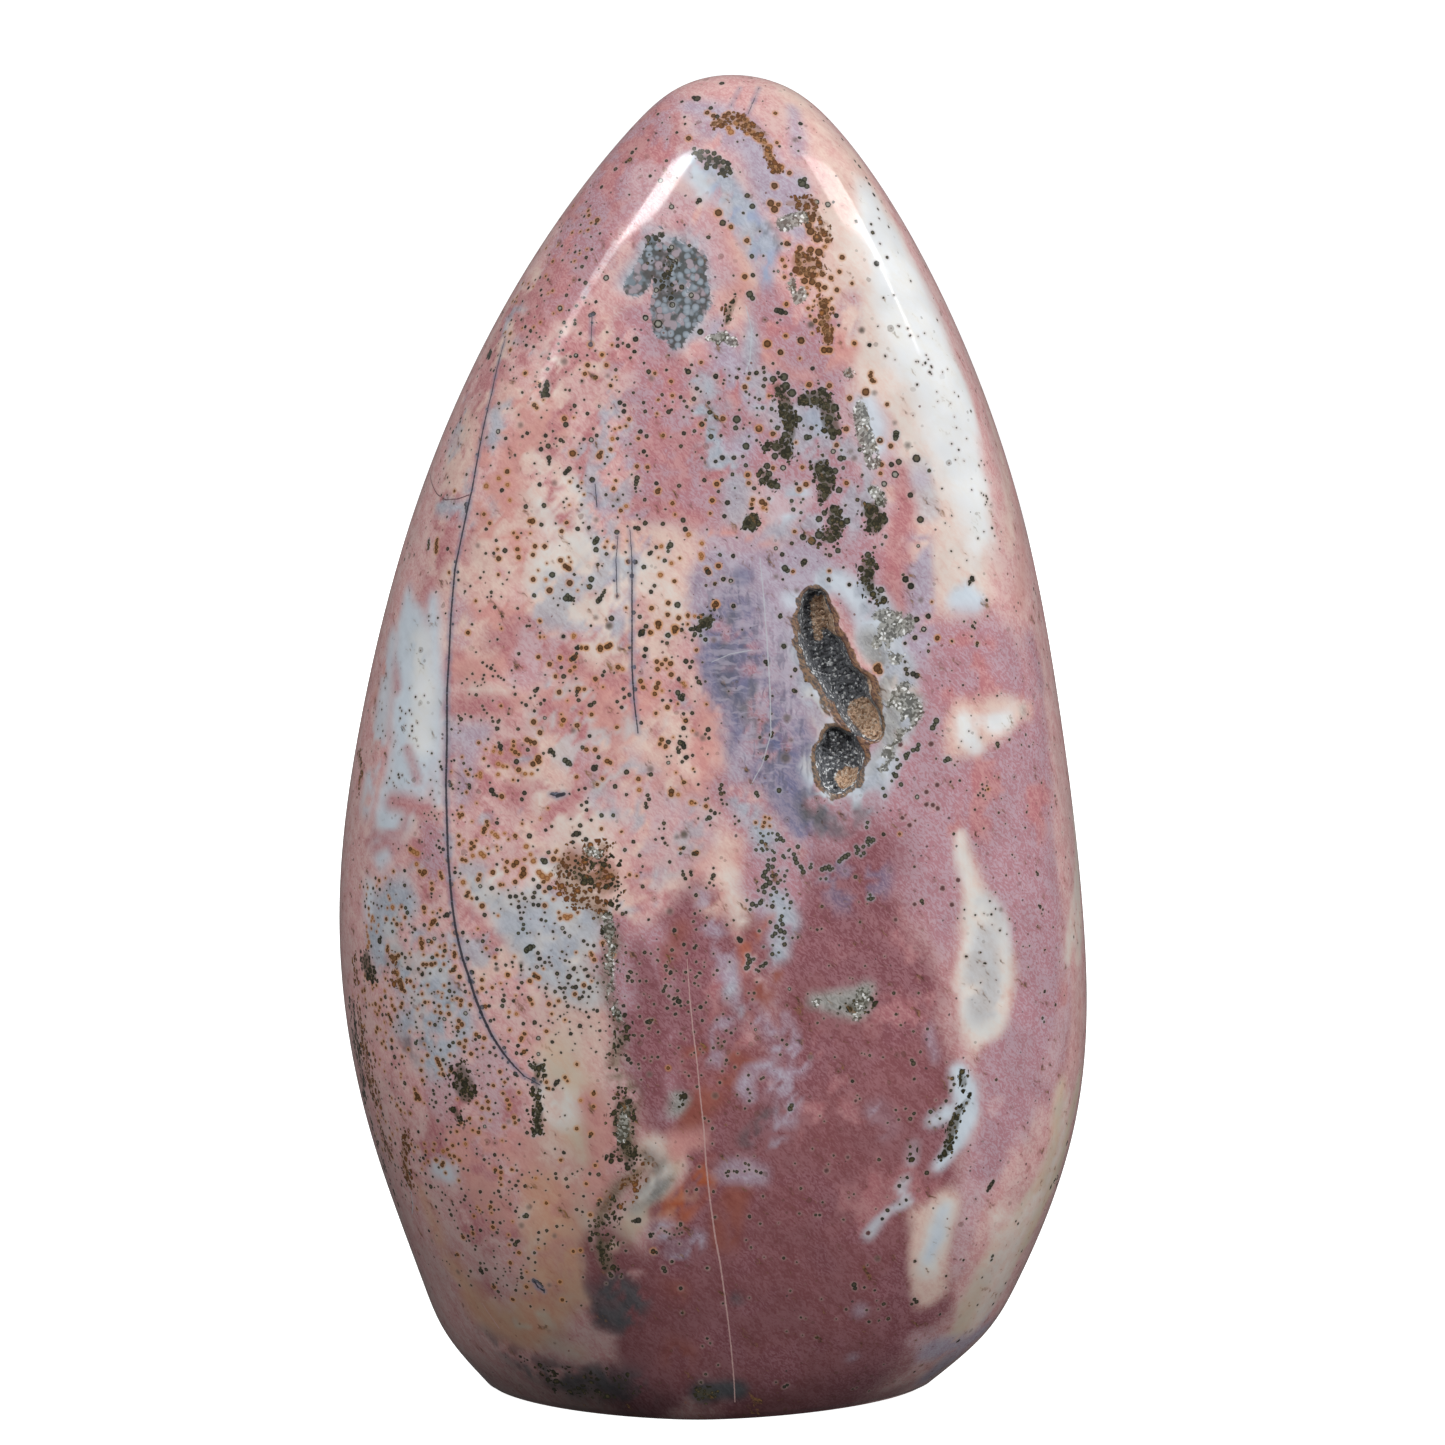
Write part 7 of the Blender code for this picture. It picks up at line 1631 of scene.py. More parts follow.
def line(marks, kind):
    where, radii = spots(marks)
    fine_p, fine_r = [where[0]], [radii[0]]
    for k in range(len(where) - 1):
        steps = max(1, int(np.linalg.norm(where[k + 1] - where[k]) / 2.2))
        for s in range(1, steps + 1):
            t = s / steps
            q = where[k] + (where[k + 1] - where[k]) * t
            hit, _, _, _ = tree.find_nearest(Vector(q / 1000))
            fine_p.append(np.array(hit) * 1000)
            fine_r.append(radii[k] + (radii[k + 1] - radii[k]) * t)
    for a, b, r in zip(fine_p, fine_p[1:], fine_r):
        LINES.append((a, b, r, kind))


#LINES-BEGIN
MAIN_CRACK = [(505, 340, 0.4), (503, 346, 0.6), (492, 392, 0.7), (484, 425, 0.8), (478, 456, 0.8), (472, 490, 0.9), (469, 502, 0.9), (462, 535, 0.9), (455, 569, 1.0), (451, 615, 1.0), (449, 658, 1.1), (447, 691, 1.1), (447, 740, 1.1), (446, 785, 1.1), (448, 856, 1.2), (450, 880, 1.2), (452, 903, 1.2), (455, 925, 1.2), (458, 940, 1.3), (463, 960, 1.3), (469, 977, 1.3), (475, 997, 1.4), (482, 1015, 1.3), (492, 1036, 1.2), (504, 1054, 1.0), (514, 1066, 0.8), (524, 1076, 0.5), (540, 1085, 0.25)]
line(MAIN_CRACK, 0)
line([(430, 474, 0.5), (432, 484, 0.6), (437, 494, 0.6), (446, 500, 0.6), (458, 499, 0.6), (469, 495, 0.5)], 1)
line([(630, 530, 0.3), (632, 560, 0.6), (632, 600, 0.7), (632, 640, 0.7), (632, 667, 0.8), (634, 700, 0.7), (638, 733, 0.4)], 0)
line([(595, 484, 0.35), (596, 495, 0.45), (597, 507, 0.3)], 0)
line([(618, 536, 0.3), (616, 560, 0.4), (617, 598, 0.3)], 0)
line([(592, 316, 0.4), (591, 344, 0.3)], 0)
line([(740, 88, 0.3), (731, 106, 0.4)], 0)
line([(759, 88, 0.4), (754, 100, 0.4), (748, 114, 0.4)], 0)
line([(760, 558, 0.5), (764, 600, 0.6), (767, 640, 0.7), (770, 689, 0.6), (771, 734, 0.5), (762, 765, 0.4), (751, 785, 0.3)], 2)
line([(687, 959, 0.4), (690, 1000, 0.6), (693, 1030, 0.6), (697, 1062, 0.6), (700, 1094, 0.6), (704, 1130, 0.7), (706, 1164, 0.7), (710, 1200, 0.7), (715, 1236, 0.8), (720, 1262, 0.7), (724, 1290, 0.7), (728, 1320, 0.6), (731, 1346, 0.6), (734, 1380, 0.5), (735, 1402, 0.4)], 3)
line([(405, 1179, 0.4), (411, 1192, 0.7), (413, 1206, 0.7), (412, 1214, 0.4)], 2)
line([(482, 1303, 0.4), (490, 1315, 0.6), (499, 1328, 0.4)], 3)
line([(746, 306, 0.4), (752, 330, 0.5), (750, 360, 0.5), (746, 372, 0.3)], 2)
line([(712, 662, 0.3), (730, 654, 0.4), (752, 650, 0.3)], 2)
line([(534, 1281, 0.8), (538, 1287, 1.0), (544, 1291, 0.7)], 0)
line([(550, 794, 0.5), (557, 796, 1.8), (564, 794, 0.5)], 0)
#LINES-END

# strewn dots give way to the ones listed one by one, and to one another
spot_tree = KDTree(len(DOTS))
for k, (where, r, kind) in enumerate(DOTS):
    spot_tree.insert(Vector(where), k)
spot_tree.balance()
gone = set()
for k, (where, r, kind) in enumerate(DOTS):
    if k in gone:
        continue
    for _, other, distance in spot_tree.find_range(Vector(where), r + 1.2):
        if other > k and other >= HEROES and distance < (r + DOTS[other][1]) * 1.1 + 0.12:
            gone.add(other)
DOTS = [d for k, d in enumerate(DOTS) if k not in gone]
# none inside the open pocket
share, _ = in_hollow(np.array([d[0] for d in DOTS]))
DOTS = [d for d, s in zip(DOTS, share) if s > 1.25]
print("dots", len(DOTS), "line pieces", len(LINES))

# ============================================================ marks onto the faces
faces = len(mesh.polygons)
centre = np.empty(faces * 3, np.float32)
mesh.polygons.foreach_get("center", centre)
centre = centre.reshape(-1, 3).astype(float) * 1000
area = np.empty(faces, np.float32)
mesh.polygons.foreach_get("area", area)
reach = np.sqrt(area.astype(float) * 1e6) * 0.95
face_tree = KDTree(faces)
for k in range(faces):
    face_tree.insert(Vector(centre[k]), k)
face_tree.balance()

DOT_SLOTS, LINE_SLOTS = 4, 2
FAR = 9999.0
dot_gap = np.full((faces, DOT_SLOTS), 1e3)
dot_who = np.full((faces, DOT_SLOTS), -1)
HALO = 0.55
for k, (where, r, kind) in enumerate(DOTS):
    for _, f, distance in face_tree.find_range(Vector(where), r + HALO + 1.3):
        gap = distance - r
        if gap > HALO + reach[f]:
            continue
        row = dot_gap[f]
        if gap < row[-1]:
            at = int(np.searchsorted(row, gap))
            dot_gap[f, at + 1 :] = dot_gap[f, at:-1]
            dot_who[f, at + 1 :] = dot_who[f, at:-1]
            dot_gap[f, at], dot_who[f, at] = gap, k

line_gap = np.full((faces, LINE_SLOTS), 1e3)
line_who = np.full((faces, LINE_SLOTS), -1)
for k, (a, b, r, kind) in enumerate(LINES):
    middle, half = (a + b) / 2, np.linalg.norm(b - a) / 2
    found = [f for _, f, _ in face_tree.find_range(Vector(middle), half + r + 2.2)]
    if not found:
        continue
    ab = b - a
    t = np.clip((centre[found] - a) @ ab / max(ab @ ab, 1e-9), 0, 1)
    gaps = np.linalg.norm(centre[found] - (a + t[:, None] * ab), axis=1) - r
    for f, gap in zip(found, gaps):
        if gap > 1.1 + reach[f]:
            continue
        row = line_gap[f]
        if gap < row[-1]:
            at = int(np.searchsorted(row, gap))
            line_gap[f, at + 1 :] = line_gap[f, at:-1]
            line_who[f, at + 1 :] = line_who[f, at:-1]
            line_gap[f, at], line_who[f, at] = gap, k


def face_vector(name, values):
    made = mesh.attributes.new(name, "FLOAT_VECTOR", "FACE")
    made.data.foreach_set("vector", np.ascontiguousarray(values, np.float32).reshape(-1))


def point_vector(name, values):
    made = mesh.attributes.new(name, "FLOAT_VECTOR", "POINT")
    made.data.foreach_set("vector", np.ascontiguousarray(values, np.float32).reshape(-1))


dot_where = np.array([d[0] for d in DOTS] + [(FAR, FAR, FAR)])
dot_facts = np.array([(d[1], d[2], RNG.random()) for d in DOTS] + [(0.1, 0.0, 0.0)])
for s in range(DOT_SLOTS):
    face_vector(f"dot{s}_at", dot_where[dot_who[:, s]])
    face_vector(f"dot{s}_is", dot_facts[dot_who[:, s]])
line_from = np.array([l[0] for l in LINES] + [(FAR, FAR, FAR)])
line_to = np.array([l[1] for l in LINES] + [(FAR, FAR, FAR + 1)])
line_facts = np.array([(l[2], l[3], 0.0) for l in LINES] + [(0.1, 0.0, 0.0)])
for s in range(LINE_SLOTS):
    face_vector(f"line{s}_from", line_from[line_who[:, s]])
    face_vector(f"line{s}_to", line_to[line_who[:, s]])
    face_vector(f"line{s}_is", line_facts[line_who[:, s]])

share, deep = in_hollow(P)
vug = smooth(1.02, 0.90, share)
rim = smooth(1.38, 1.06, share) * (1 - smooth(1.0, 0.80, share))
point_vector("stone_a", A)
point_vector("stone_b", B)
point_vector("texture", TEX)
point_vector("masks1", np.stack([MASKS["botry"], MASKS["moss"], MASKS["rust"]], axis=1))
point_vector("masks2", np.stack([MASKS["druse"], MASKS["dark"], MASKS["fibre"]], axis=1))
# colour inside the pocket: brown sugar at the ends, slate between
sugar = np.zeros(count)
for marks in ([(820, 602, 13), (828, 616, 15), (836, 629, 8)], [(812, 612, 5), (817, 634, 5)], [(878, 676, 8)], [(864, 712, 15), (873, 734, 8)], [(849, 781, 14)], [(871, 664, 9), (876, 690, 8)]):
    inside, cover = coverage(marks, 0.9, 0.0, 3.0, 1, True)
    sugar[inside] = np.maximum(sugar[inside], cover)
point_vector("pocket", np.stack([vug, rim, sugar], axis=1))


# ============================================================ the material
class Tree:
    """Short names for building a node tree."""

    def __init__(self, material):
        material.use_nodes = True
        self.nodes = material.node_tree.nodes
        self.links = material.node_tree.links
        self.nodes.clear()

    def put(self, socket, value):
        if isinstance(value, bpy.types.NodeSocket):
            self.links.new(value, socket)
        elif isinstance(value, (tuple, list)):
            socket.default_value = (*value, 1.0)[:len(socket.default_value)] if len(value) < len(socket.default_value) else value
        else:
            socket.default_value = value

    def math(self, operation, a, b=0.0, c=0.0, clamp=False):
        n = self.nodes.new("ShaderNodeMath")
        n.operation, n.use_clamp = operation, clamp
        for socket, value in zip(n.inputs, (a, b, c)):
            self.put(socket, value)
        return n.outputs[0]

    def vec(self, operation, a, b=(0.0, 0.0, 0.0), scale=None):
        n = self.nodes.new("ShaderNodeVectorMath")
        n.operation = operation
        self.put(n.inputs[0], a)
        if operation != "SCALE":
            self.put(n.inputs[1], b)
        if scale is not None:
            self.put(n.inputs["Scale"], scale)
        return n.outputs["Value"] if operation in ("LENGTH", "DISTANCE", "DOT_PRODUCT") else n.outputs["Vector"]

    def mix(self, factor, a, b, blend="MIX"):
        n = self.nodes.new("ShaderNodeMix")
        n.data_type, n.blend_type, n.clamp_factor = "RGBA", blend, True
        self.put(n.inputs["Factor"], factor)
        self.put(n.inputs[6], a)
        self.put(n.inputs[7], b)
        return n.outputs[2]

    def blend(self, factor, a, b):
        n = self.nodes.new("ShaderNodeMix")
        n.data_type, n.clamp_factor = "FLOAT", True
        self.put(n.inputs["Factor"], factor)
        self.put(n.inputs[2], a)
        self.put(n.inputs[3], b)
        return n.outputs[0]

    def step(self, value, low, high, to_low=0.0, to_high=1.0):
        n = self.nodes.new("ShaderNodeMapRange")
        n.interpolation_type = "SMOOTHSTEP"
        for name, v in (("Value", value), ("From Min", low), ("From Max", high), ("To Min", to_low), ("To Max", to_high)):
            self.put(n.inputs[name], v)
        return n.outputs["Result"]

    def attribute(self, name):
        n = self.nodes.new("ShaderNodeAttribute")
        n.attribute_type, n.attribute_name = "GEOMETRY", name
        return n.outputs["Vector"]

    def split(self, vector):
        n = self.nodes.new("ShaderNodeSeparateXYZ")
        self.put(n.inputs[0], vector)
        return n.outputs[0], n.outputs[1], n.outputs[2]

    def noise(self, vector, scale, detail=2.0, roughness=0.5, distortion=0.0, colour=False):
        n = self.nodes.new("ShaderNodeTexNoise")
        self.put(n.inputs["Vector"], vector)
        for name, v in (("Scale", scale), ("Detail", detail), ("Roughness", roughness), ("Distortion", distortion)):
            self.put(n.inputs[name], v)
        return n.outputs["Color"] if colour else n.outputs["Fac"]

    def voronoi(self, vector, scale, feature="F1", randomness=1.0, smoothness=None):
        n = self.nodes.new("ShaderNodeTexVoronoi")
        n.feature = feature
        self.put(n.inputs["Vector"], vector)
        self.put(n.inputs["Scale"], scale)
        self.put(n.inputs["Randomness"], randomness)
        if smoothness is not None:
            self.put(n.inputs["Smoothness"], smoothness)
        return n.outputs


def jasper_material():
    made = bpy.data.materials.new("ocean_jasper")
    t = Tree(made)
    out = t.nodes.new("ShaderNodeOutputMaterial")
    bsdf = t.nodes.new("ShaderNodeBsdfPrincipled")
    t.links.new(bsdf.outputs["BSDF"], out.inputs["Surface"])

    coords = t.nodes.new("ShaderNodeTexCoord")
    p = t.vec("SCALE", coords.outputs["Object"], scale=1000.0)      # millimetres

    # small wanderings that make every edge ragged
    wander = t.vec("SUBTRACT", t.noise(p, 0.9, 1.0, 0.6, colour=True), (0.5, 0.5, 0.5))
    fine = t.vec("SUBTRACT", t.noise(p, 3.2, 0.0, 0.5, colour=True), (0.5, 0.5, 0.5))
    q = t.vec("ADD", p, t.vec("SCALE", wander, scale=0.9))
    dot_p = t.vec("ADD", p, t.vec("SCALE", fine, scale=0.15))

    # ---- two tones, speckled or cloudy
    share, crisp, pepper = t.split(t.attribute("texture"))
    drawn = t.nodes.new("ShaderNodeMapping")
    drawn.vector_type = "TEXTURE"
    drawn.inputs["Rotation"].default_value = (0.0, math.radians(48), 0.0)
    drawn.inputs["Scale"].default_value = (2.1, 1.0, 0.75)
    t.links.new(q, drawn.inputs["Vector"])
    drawn = drawn.outputs["Vector"]
    grain = t.noise(drawn, 2.9, 1.5, 0.6)
    cloud = t.noise(drawn, 0.50, 3.0, 0.62)
    swirl = t.noise(q, 0.16, 1.5, 0.55)
    weight = t.math("MULTIPLY", crisp, 0.62)
    value = t.blend(weight, t.math("ADD", t.math("MULTIPLY", cloud, 0.75), t.math("MULTIPLY", swirl, 0.25)), grain)
    spread = t.blend(crisp, 0.20, 0.07)
    level = t.math("SUBTRACT", 1.0, share)
    level = t.math("ADD", 0.5, t.math("MULTIPLY", t.math("SUBTRACT", level, 0.5), 0.42))
    tone = t.step(value, t.math("SUBTRACT", level, spread), t.math("ADD", level, spread))
    colour = t.mix(tone, t.attribute("stone_a"), t.attribute("stone_b"))

    # slow light and dark
    lift = t.step(swirl, 0.25, 0.75, 0.93, 1.07)
    colour = t.vec("SCALE", colour, scale=lift)

    botry, moss, rust = t.split(t.attribute("masks1"))
    druse, dark, fibre = t.split(t.attribute("masks2"))

    # ---- fibrous violet field: fine crossed pale and dark strokes
    f1 = t.noise(t.vec("MULTIPLY", q, (0.5, 1.0, 2.2)), 0.62, 1.0, 0.7)
    f2 = t.noise(t.vec("MULTIPLY", q, (2.2, 1.0, 0.5)), 0.50, 1.0, 0.7)
    colour = t.mix(t.math("MULTIPLY", t.math("MULTIPLY", fibre, t.step(f2, 0.50, 0.64)), 0.60), colour, (0.125, 0.125, 0.185, 1.0))
    colour = t.mix(t.math("MULTIPLY", t.math("MULTIPLY", fibre, t.step(f1, 0.50, 0.66)), 0.55), colour, (0.44, 0.40, 0.48, 1.0))

    # ---- little blue-grey spheres with dark seams
    cell_p = t.vec("ADD", p, t.vec("SCALE", wander, scale=0.5))
    cells_f = t.voronoi(cell_p, 0.92, "F1", 0.9)
    tint = t.split(cells_f["Color"])[0]
    ball = t.mix(t.step(cells_f["Distance"], 0.05, 0.65), (0.31, 0.36, 0.41, 1.0), (0.17, 0.21, 0.245, 1.0))
    ball = t.mix(t.step(tint, 0.58, 0.64), ball, (0.34, 0.28, 0.31, 1.0))
    seam = t.math("MULTIPLY", t.step(cells_f["Distance"], 0.40, 0.58), 0.92)
    seam = t.math("MULTIPLY", seam, t.step(t.noise(p, 0.45, 2.0, 0.6), 0.40, 0.54))
    ball = t.mix(seam, ball, (0.045, 0.05, 0.042, 1.0))
    in_botry = t.step(t.math("ADD", botry, t.math("MULTIPLY", t.math("SUBTRACT", grain, 0.5), 0.7)), 0.34, 0.52)
    colour = t.mix(t.math("MULTIPLY", in_botry, 0.9), colour, ball)

    # ---- pepper: specks strewn by how peppered the stone is
    coarse = cells_f
    coarse_rgb = t.split(coarse["Color"])
    small = t.voronoi(dot_p, 1.75, "F1", 1.0)
    small_rgb = t.split(small["Color"])
    speck = coarse
    speck_r, speck_g, speck_b = coarse_rgb
    here = t.math("LESS_THAN", speck_r, pepper)
    size = t.math("ADD", 0.05, t.math("MULTIPLY", speck_g, 0.14))
    speck_in = t.math("MULTIPLY", here, t.step(speck["Distance"], t.math("ADD", size, 0.05), t.math("SUBTRACT", size, 0.03)))
    speck_colour = t.mix(t.math("GREATER_THAN", speck_b, 0.6), (0.045, 0.04, 0.035, 1.0), (0.16, 0.07, 0.055, 1.0))
    colour = t.mix(t.math("MULTIPLY", speck_in, 0.8), colour, speck_colour)

    # ---- dots: each face knows the nearest few, and the shader draws them exactly
    cores, halos = [], []
    for s in range(DOT_SLOTS):
        radius, kind, luck = t.split(t.attribute(f"dot{s}_is"))
        distance = t.vec("DISTANCE", dot_p, t.attribute(f"dot{s}_at"))
        ratio = t.math("DIVIDE", distance, radius)
        gap = t.math("SUBTRACT", distance, radius)
        rusty = t.math("MULTIPLY", t.math("GREATER_THAN", kind, 4.5), t.math("LESS_THAN", kind, 5.5))
        wine = t.math("GREATER_THAN", kind, 5.5)
        brown = t.math("MULTIPLY", t.math("GREATER_THAN", kind, 0.5), t.math("LESS_THAN", kind, 1.5))
        brown = t.math("ADD", brown, rusty)
        soft = t.math("MULTIPLY", t.math("GREATER_THAN", kind, 1.5), t.math("LESS_THAN", kind, 2.5))
        ringed = t.math("MULTIPLY", t.math("GREATER_THAN", kind, 2.5), t.math("LESS_THAN", kind, 3.5))
        olive = t.math("MULTIPLY", t.math("GREATER_THAN", kind, 3.5), t.math("LESS_THAN", kind, 4.5))
        rim_colour = t.mix(brown, (0.022, 0.022, 0.017, 1.0), (0.078, 0.034, 0.015, 1.0))
        rim_colour = t.mix(rusty, rim_colour, (0.26, 0.105, 0.040, 1.0))
        rim_colour = t.mix(wine, rim_colour, (0.16, 0.085, 0.085, 1.0))
        rim_colour = t.mix(olive, rim_colour, (0.030, 0.030, 0.020, 1.0))
        core_colour = t.mix(luck, (0.030, 0.030, 0.022, 1.0), (0.100, 0.085, 0.050, 1.0))
        core_colour = t.mix(brown, core_colour, t.mix(luck, (0.20, 0.085, 0.025, 1.0), (0.11, 0.06, 0.03, 1.0)))
        core_colour = t.mix(olive, core_colour, (0.085, 0.085, 0.055, 1.0))
        core_colour = t.mix(rusty, core_colour, (0.42, 0.20, 0.075, 1.0))
        core_colour = t.mix(wine, core_colour, (0.10, 0.045, 0.045, 1.0))
        core_colour = t.mix(ringed, core_colour, (0.30, 0.29, 0.25, 1.0))
        inner = t.step(ratio, 0.35, 0.80)
        body = t.mix(inner, core_colour, rim_colour)
        edge_width = t.blend(soft, 0.045, 0.35)
        cover = t.step(gap, edge_width, t.math("MULTIPLY", edge_width, -1.0))
        cover = t.math("MULTIPLY", cover, t.blend(soft, 0.97, 0.6))
        # a faint rusty or pale halo round some
        halo = t.math("MULTIPLY", t.step(gap, 0.42, 0.0), t.blend(brown, 0.30, 0.62))
        warm = t.mix(brown, t.mix(olive, (0.42, 0.31, 0.27, 1.0), (0.40, 0.44, 0.46, 1.0)), (0.55, 0.26, 0.10, 1.0))
        halos.append((halo, warm))
        cores.append((cover, body))
    for factor, tinted in halos:
        colour = t.mix(factor, colour, tinted)
    for factor, body in cores:
        colour = t.mix(factor, colour, body)
    dotted = cores[0][0]

    # ---- moss and rust: crowds of round grains, thicker where the mask is fuller
    def crowd(base, amount, v, v_rgb, dark_tone, light_tone):
        red, green, blue = v_rgb
        present = t.step(t.math("SUBTRACT", amount, t.math("MULTIPLY", red, 0.85)), -0.02, 0.04)
        ball_in = t.step(v["Distance"], 0.52, 0.40)
        tone_in = t.mix(green, dark_tone, light_tone)
        tone_in = t.mix(t.step(v["Distance"], 0.10, 0.42), tone_in, dark_tone)
        factor = t.math("MULTIPLY", present, ball_in)
        return t.mix(factor, base, tone_in), factor

    colour = t.mix(t.math("MULTIPLY", t.step(rust, 0.25, 0.8), 0.55), colour, (0.30, 0.16, 0.08, 1.0))
    colour, rust1 = crowd(colour, rust, coarse, coarse_rgb, (0.13, 0.05, 0.02, 1.0), (0.36, 0.15, 0.045, 1.0))
    colour, rust2 = crowd(colour, rust, small, small_rgb, (0.10, 0.045, 0.02, 1.0), (0.30, 0.15, 0.06, 1.0))
    colour = t.mix(t.math("MULTIPLY", t.step(moss, 0.35, 0.9), 0.75), colour, (0.075, 0.066, 0.038, 1.0))
    colour, moss1 = crowd(colour, moss, coarse, coarse_rgb, (0.022, 0.021, 0.013, 1.0), (0.095, 0.078, 0.036, 1.0))
    colour, moss2 = crowd(colour, moss, small, small_rgb, (0.030, 0.027, 0.016, 1.0), (0.130, 0.100, 0.050, 1.0))

    # ---- druse flecks: tiny dark and pale facets, with painted glints: a few facets near white, standing in for light caught on the crystals
    facets = t.voronoi(p, 2.9, "F1", 1.0)
    fr, fg, fb = t.split(facets["Color"])
    in_druse = t.step(t.math("ADD", druse, t.math("MULTIPLY", t.math("SUBTRACT", grain, 0.5), 0.9)), 0.36, 0.50)
    fleck_and_glint = t.mix(t.step(fr, 0.35, 0.75), (0.085, 0.080, 0.060, 1.0), (0.34, 0.335, 0.30, 1.0))
    # painted glints: the rare near-white facets
    fleck_and_glint = t.mix(t.math("GREATER_THAN", fg, 0.90), fleck_and_glint, (0.80, 0.80, 0.78, 1.0))
    colour = t.mix(t.math("MULTIPLY", in_druse, 0.85), colour, fleck_and_glint)

    # ---- lines: cracks, veins and hairs
    crack_cover = 0.0
    crack_any = None
    for s in reversed(range(LINE_SLOTS)):
        width, kind, _ = t.split(t.attribute(f"line{s}_is"))
        a, b = t.attribute(f"line{s}_from"), t.attribute(f"line{s}_to")
        line_p = t.vec("ADD", p, t.vec("SCALE", fine, scale=0.10))
        pa, ba = t.vec("SUBTRACT", line_p, a), t.vec("SUBTRACT", b, a)
        h = t.math("DIVIDE", t.vec("DOT_PRODUCT", pa, ba), t.math("MAXIMUM", t.vec("DOT_PRODUCT", ba, ba), 1e-6), clamp=True)
        away = t.vec("LENGTH", t.vec("SUBTRACT", pa, t.vec("SCALE", ba, scale=h)))
        gap = t.math("SUBTRACT", away, width)
        is_dark = t.math("LESS_THAN", kind, 1.5)
        line_colour = t.mix(t.math("GREATER_THAN", kind, 0.5), (0.022, 0.020, 0.030, 1.0), (0.12, 0.05, 0.06, 1.0))
        line_colour = t.mix(t.math("GREATER_THAN", kind, 1.5), line_colour, (0.50, 0.52, 0.56, 1.0))
        line_colour = t.mix(t.math("GREATER_THAN", kind, 2.5), line_colour, (0.52, 0.34, 0.32, 1.0))
        cover = t.math("MULTIPLY", t.step(gap, 0.05, -0.03), t.blend(is_dark, 0.75, 0.93))
        shade = t.math("MULTIPLY", t.step(gap, 0.75, 0.0), t.math("MULTIPLY", t.math("LESS_THAN", kind, 0.5), 0.40))
        colour = t.mix(shade, colour, (0.22, 0.23, 0.32, 1.0))
        colour = t.mix(cover, colour, line_colour)
        groove = t.math("MULTIPLY", t.step(gap, 0.10, -0.05), is_dark)
        crack_any = groove if crack_any is None else t.math("MAXIMUM", crack_any, groove)

    # ---- the open pocket: brown sugar and slate druse, a rusty rim, and painted glints on a few of its crystals
    vug_in, rim_in, sugar_in = t.split(t.attribute("pocket"))
    sparkle = facets
    sr, sg, sb = fr, fg, fb
    slate = t.mix(sr, (0.045, 0.048, 0.055, 1.0), (0.25, 0.26, 0.28, 1.0))
    # painted glints: rare near-white crystals in the slate
    slate = t.mix(t.math("GREATER_THAN", sg, 0.86), slate, (0.80, 0.81, 0.82, 1.0))
    brown = t.mix(sr, (0.30, 0.16, 0.085, 1.0), (0.85, 0.60, 0.42, 1.0))
    # painted glints: rare pale crystals in the brown sugar
    brown = t.mix(t.math("GREATER_THAN", sg, 0.86), brown, (0.72, 0.58, 0.46, 1.0))
    sugar_edge = t.step(t.math("ADD", sugar_in, t.math("MULTIPLY", t.math("SUBTRACT", grain, 0.5), 0.9)), 0.38, 0.56)
    lining_with_glints = t.mix(sugar_edge, slate, brown)
    rim_noise = t.math("ADD", rim_in, t.math("MULTIPLY", t.math("SUBTRACT", cloud, 0.5), 2.4))
    rim_colour = t.mix(t.step(grain, 0.40, 0.60), (0.24, 0.125, 0.045, 1.0), (0.050, 0.032, 0.016, 1.0))
    colour = t.mix(t.math("MULTIPLY", t.step(rim_noise, 0.30, 0.62), 0.85), colour, rim_colour)
    in_vug = t.step(vug_in, 0.45, 0.60)
    colour = t.mix(in_vug, colour, lining_with_glints)

    t.put(bsdf.inputs["Base Color"], colour)

    # ---- polish
    rough = t.step(swirl, 0.2, 0.8, 0.085, 0.125)
    rough = t.blend(t.math("MULTIPLY", in_druse, 0.7), rough, 0.34)
    rough = t.blend(t.math("MAXIMUM", moss1, moss2), rough, 0.26)
    rough = t.blend(crack_any, rough, 0.55)
    rough = t.blend(in_vug, rough, t.math("ADD", 0.30, t.math("MULTIPLY", sb, 0.35)))
    t.put(bsdf.inputs["Roughness"], rough)
    bsdf.inputs["IOR"].default_value = 1.54
    bsdf.inputs["Metallic"].default_value = 0.0

    relief = t.math("ADD", t.math("MULTIPLY", vug_in, 0.30), t.math("MULTIPLY", druse, 0.04))
    height = t.math("MULTIPLY", t.math("MULTIPLY", relief, facets["Distance"]), -1.0)
    bump = t.nodes.new("ShaderNodeBump")
    bump.inputs["Strength"].default_value = 1.0
    bump.inputs["Distance"].default_value = 0.001
    t.put(bump.inputs["Height"], height)
    t.links.new(bump.outputs["Normal"], bsdf.inputs["Normal"])
    return made


mesh.materials.append(jasper_material())
mesh.shade_smooth()
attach(stone, "root")
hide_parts("jasper_stone")


# ============================================================ floor, backdrop and light
def stage_material():
    made = bpy.data.materials.new("pale_sweep")
    made.use_nodes = True
    bsdf = made.node_tree.nodes["Principled BSDF"]
    bsdf.inputs["Base Color"].default_value = (0.60, 0.60, 0.60, 1.0)
    bsdf.inputs["Roughness"].default_value = 1.0
    bsdf.inputs["Specular IOR Level"].default_value = 0.0
    bsdf.inputs["Emission Color"].default_value = (1.0, 1.0, 1.0, 1.0)
    bsdf.inputs["Emission Strength"].default_value = 0.95
    return made


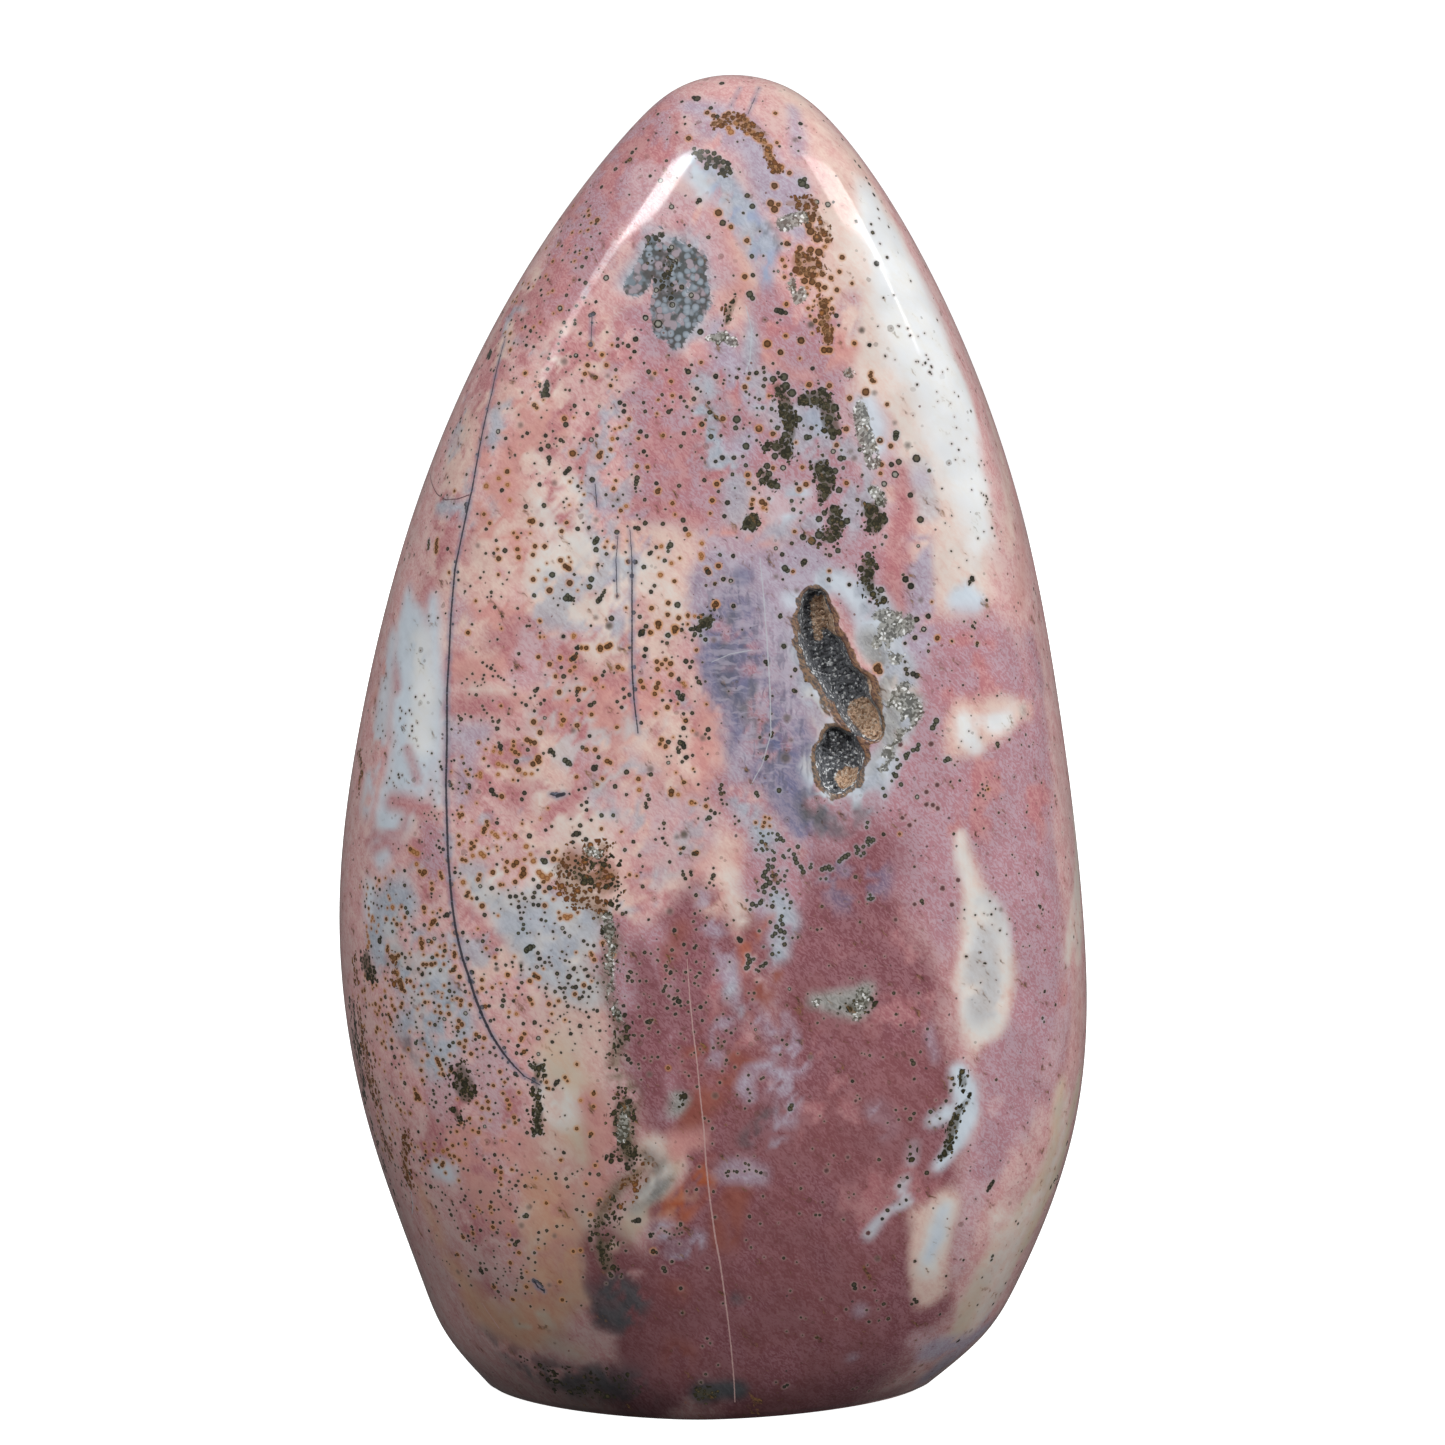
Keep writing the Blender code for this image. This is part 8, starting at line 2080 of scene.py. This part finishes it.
def sweep():
    """A pale floor that curves up into a wall all round, so that every view ends on it."""
    around, flat, bend, top = 64, 1.7, 0.9, 3.4
    rows = [(r, 0.0) for r in (0.3, 0.9, flat)]
    rows += [(flat + bend * math.sin(a), bend * (1 - math.cos(a))) for a in np.linspace(0.12, math.pi / 2, 12)]
    rows += [(flat + bend, top)]
    verts, polys = [(0.0, 0.0, 0.0)], []
    for r, z in rows:
        for k in range(around):
            a = 2 * math.pi * k / around
            verts.append((r * math.cos(a), r * math.sin(a), z))
    for k in range(around):
        polys.append((0, 1 + k, 1 + (k + 1) % around))
    for row in range(len(rows) - 1):
        low, high = 1 + row * around, 1 + (row + 1) * around
        for k in range(around):
            n = (k + 1) % around
            polys.append((low + k, high + k, high + n, low + n))
    made = bpy.data.meshes.new("sweep")
    made.from_pydata(verts, [], polys)
    made.materials.append(stage_material())
    made.shade_smooth()
    obj = bpy.data.objects.new("sweep", made)
    bpy.context.scene.collection.objects.link(obj)
    # it shows, and takes shadow, but throws no light up at the stone
    obj.visible_diffuse = obj.visible_glossy = obj.visible_shadow = False
    return obj


sweep()


def softbox(name, where, target, width, height, power):
    data = bpy.data.lights.new(name, "AREA")
    data.shape, data.size, data.size_y = "RECTANGLE", width, height
    data.energy = power
    lamp = bpy.data.objects.new(name, data)
    lamp.location = Vector(where)
    lamp.rotation_euler = (Vector(target) - Vector(where)).to_track_quat("-Z", "Y").to_euler()
    bpy.context.scene.collection.objects.link(lamp)
    return lamp


#LIGHT-BEGIN
def reflected(centre, way, distance=1.0):
    return tuple(c + w * distance for c, w in zip(centre, way)), centre


LEFT_SHEEN, RIGHT_SHEEN = (-0.01, -0.012, 0.178), (0.02, -0.012, 0.18)
softbox("sheen_left", *reflected(LEFT_SHEEN, (-0.29, -0.70, 0.65)), 0.20, 0.27, 2.3)
softbox("sheen_left_low", *reflected(LEFT_SHEEN, (-0.46, -0.76, 0.46)), 0.12, 0.30, 0.55)
softbox("sheen_right", *reflected(RIGHT_SHEEN, (0.46, -0.60, 0.65)), 0.52, 0.30, 3.2)
softbox("sheen_right_low", *reflected(RIGHT_SHEEN, (0.62, -0.62, 0.48)), 0.07, 0.26, 0.36)
for name, where, size, power in (
    ("fill_right", (0.95, -0.55, 0.25), 0.5, 5.8),
    ("fill_left", (-0.95, -0.55, 0.38), 0.5, 3.1),
    ("fill_front", (0.0, -0.55, 0.62), 0.4, 0.25),
    ("fill_back", (0.15, 1.05, 0.45), 0.7, 7.0),
):
    lamp = softbox(name, where, (0.0, 0.0, 0.09), size, size, power)
    lamp.visible_glossy = False
#LIGHT-END

world = bpy.data.worlds.new("studio")
bpy.context.scene.world = world
world.use_nodes = True
w_nodes, w_links = world.node_tree.nodes, world.node_tree.links
w_coords = w_nodes.new("ShaderNodeTexCoord")
w_split = w_nodes.new("ShaderNodeSeparateXYZ")
w_range = w_nodes.new("ShaderNodeMapRange")
w_range.interpolation_type = "SMOOTHSTEP"
w_links.new(w_coords.outputs["Generated"], w_split.inputs[0])
w_links.new(w_split.outputs["Z"], w_range.inputs["Value"])
for name, value in (("From Min", -0.4), ("From Max", 0.75), ("To Min", 0.06), ("To Max", 0.30)):
    w_range.inputs[name].default_value = value
w_nodes["Background"].inputs["Color"].default_value = (1.0, 1.0, 1.0, 1.0)
w_links.new(w_range.outputs["Result"], w_nodes["Background"].inputs["Strength"])

scene = bpy.context.scene
scene.view_settings.view_transform = "Standard"
scene.view_settings.look = "None"
scene.view_settings.exposure = 0.0
scene.view_settings.gamma = 1.0
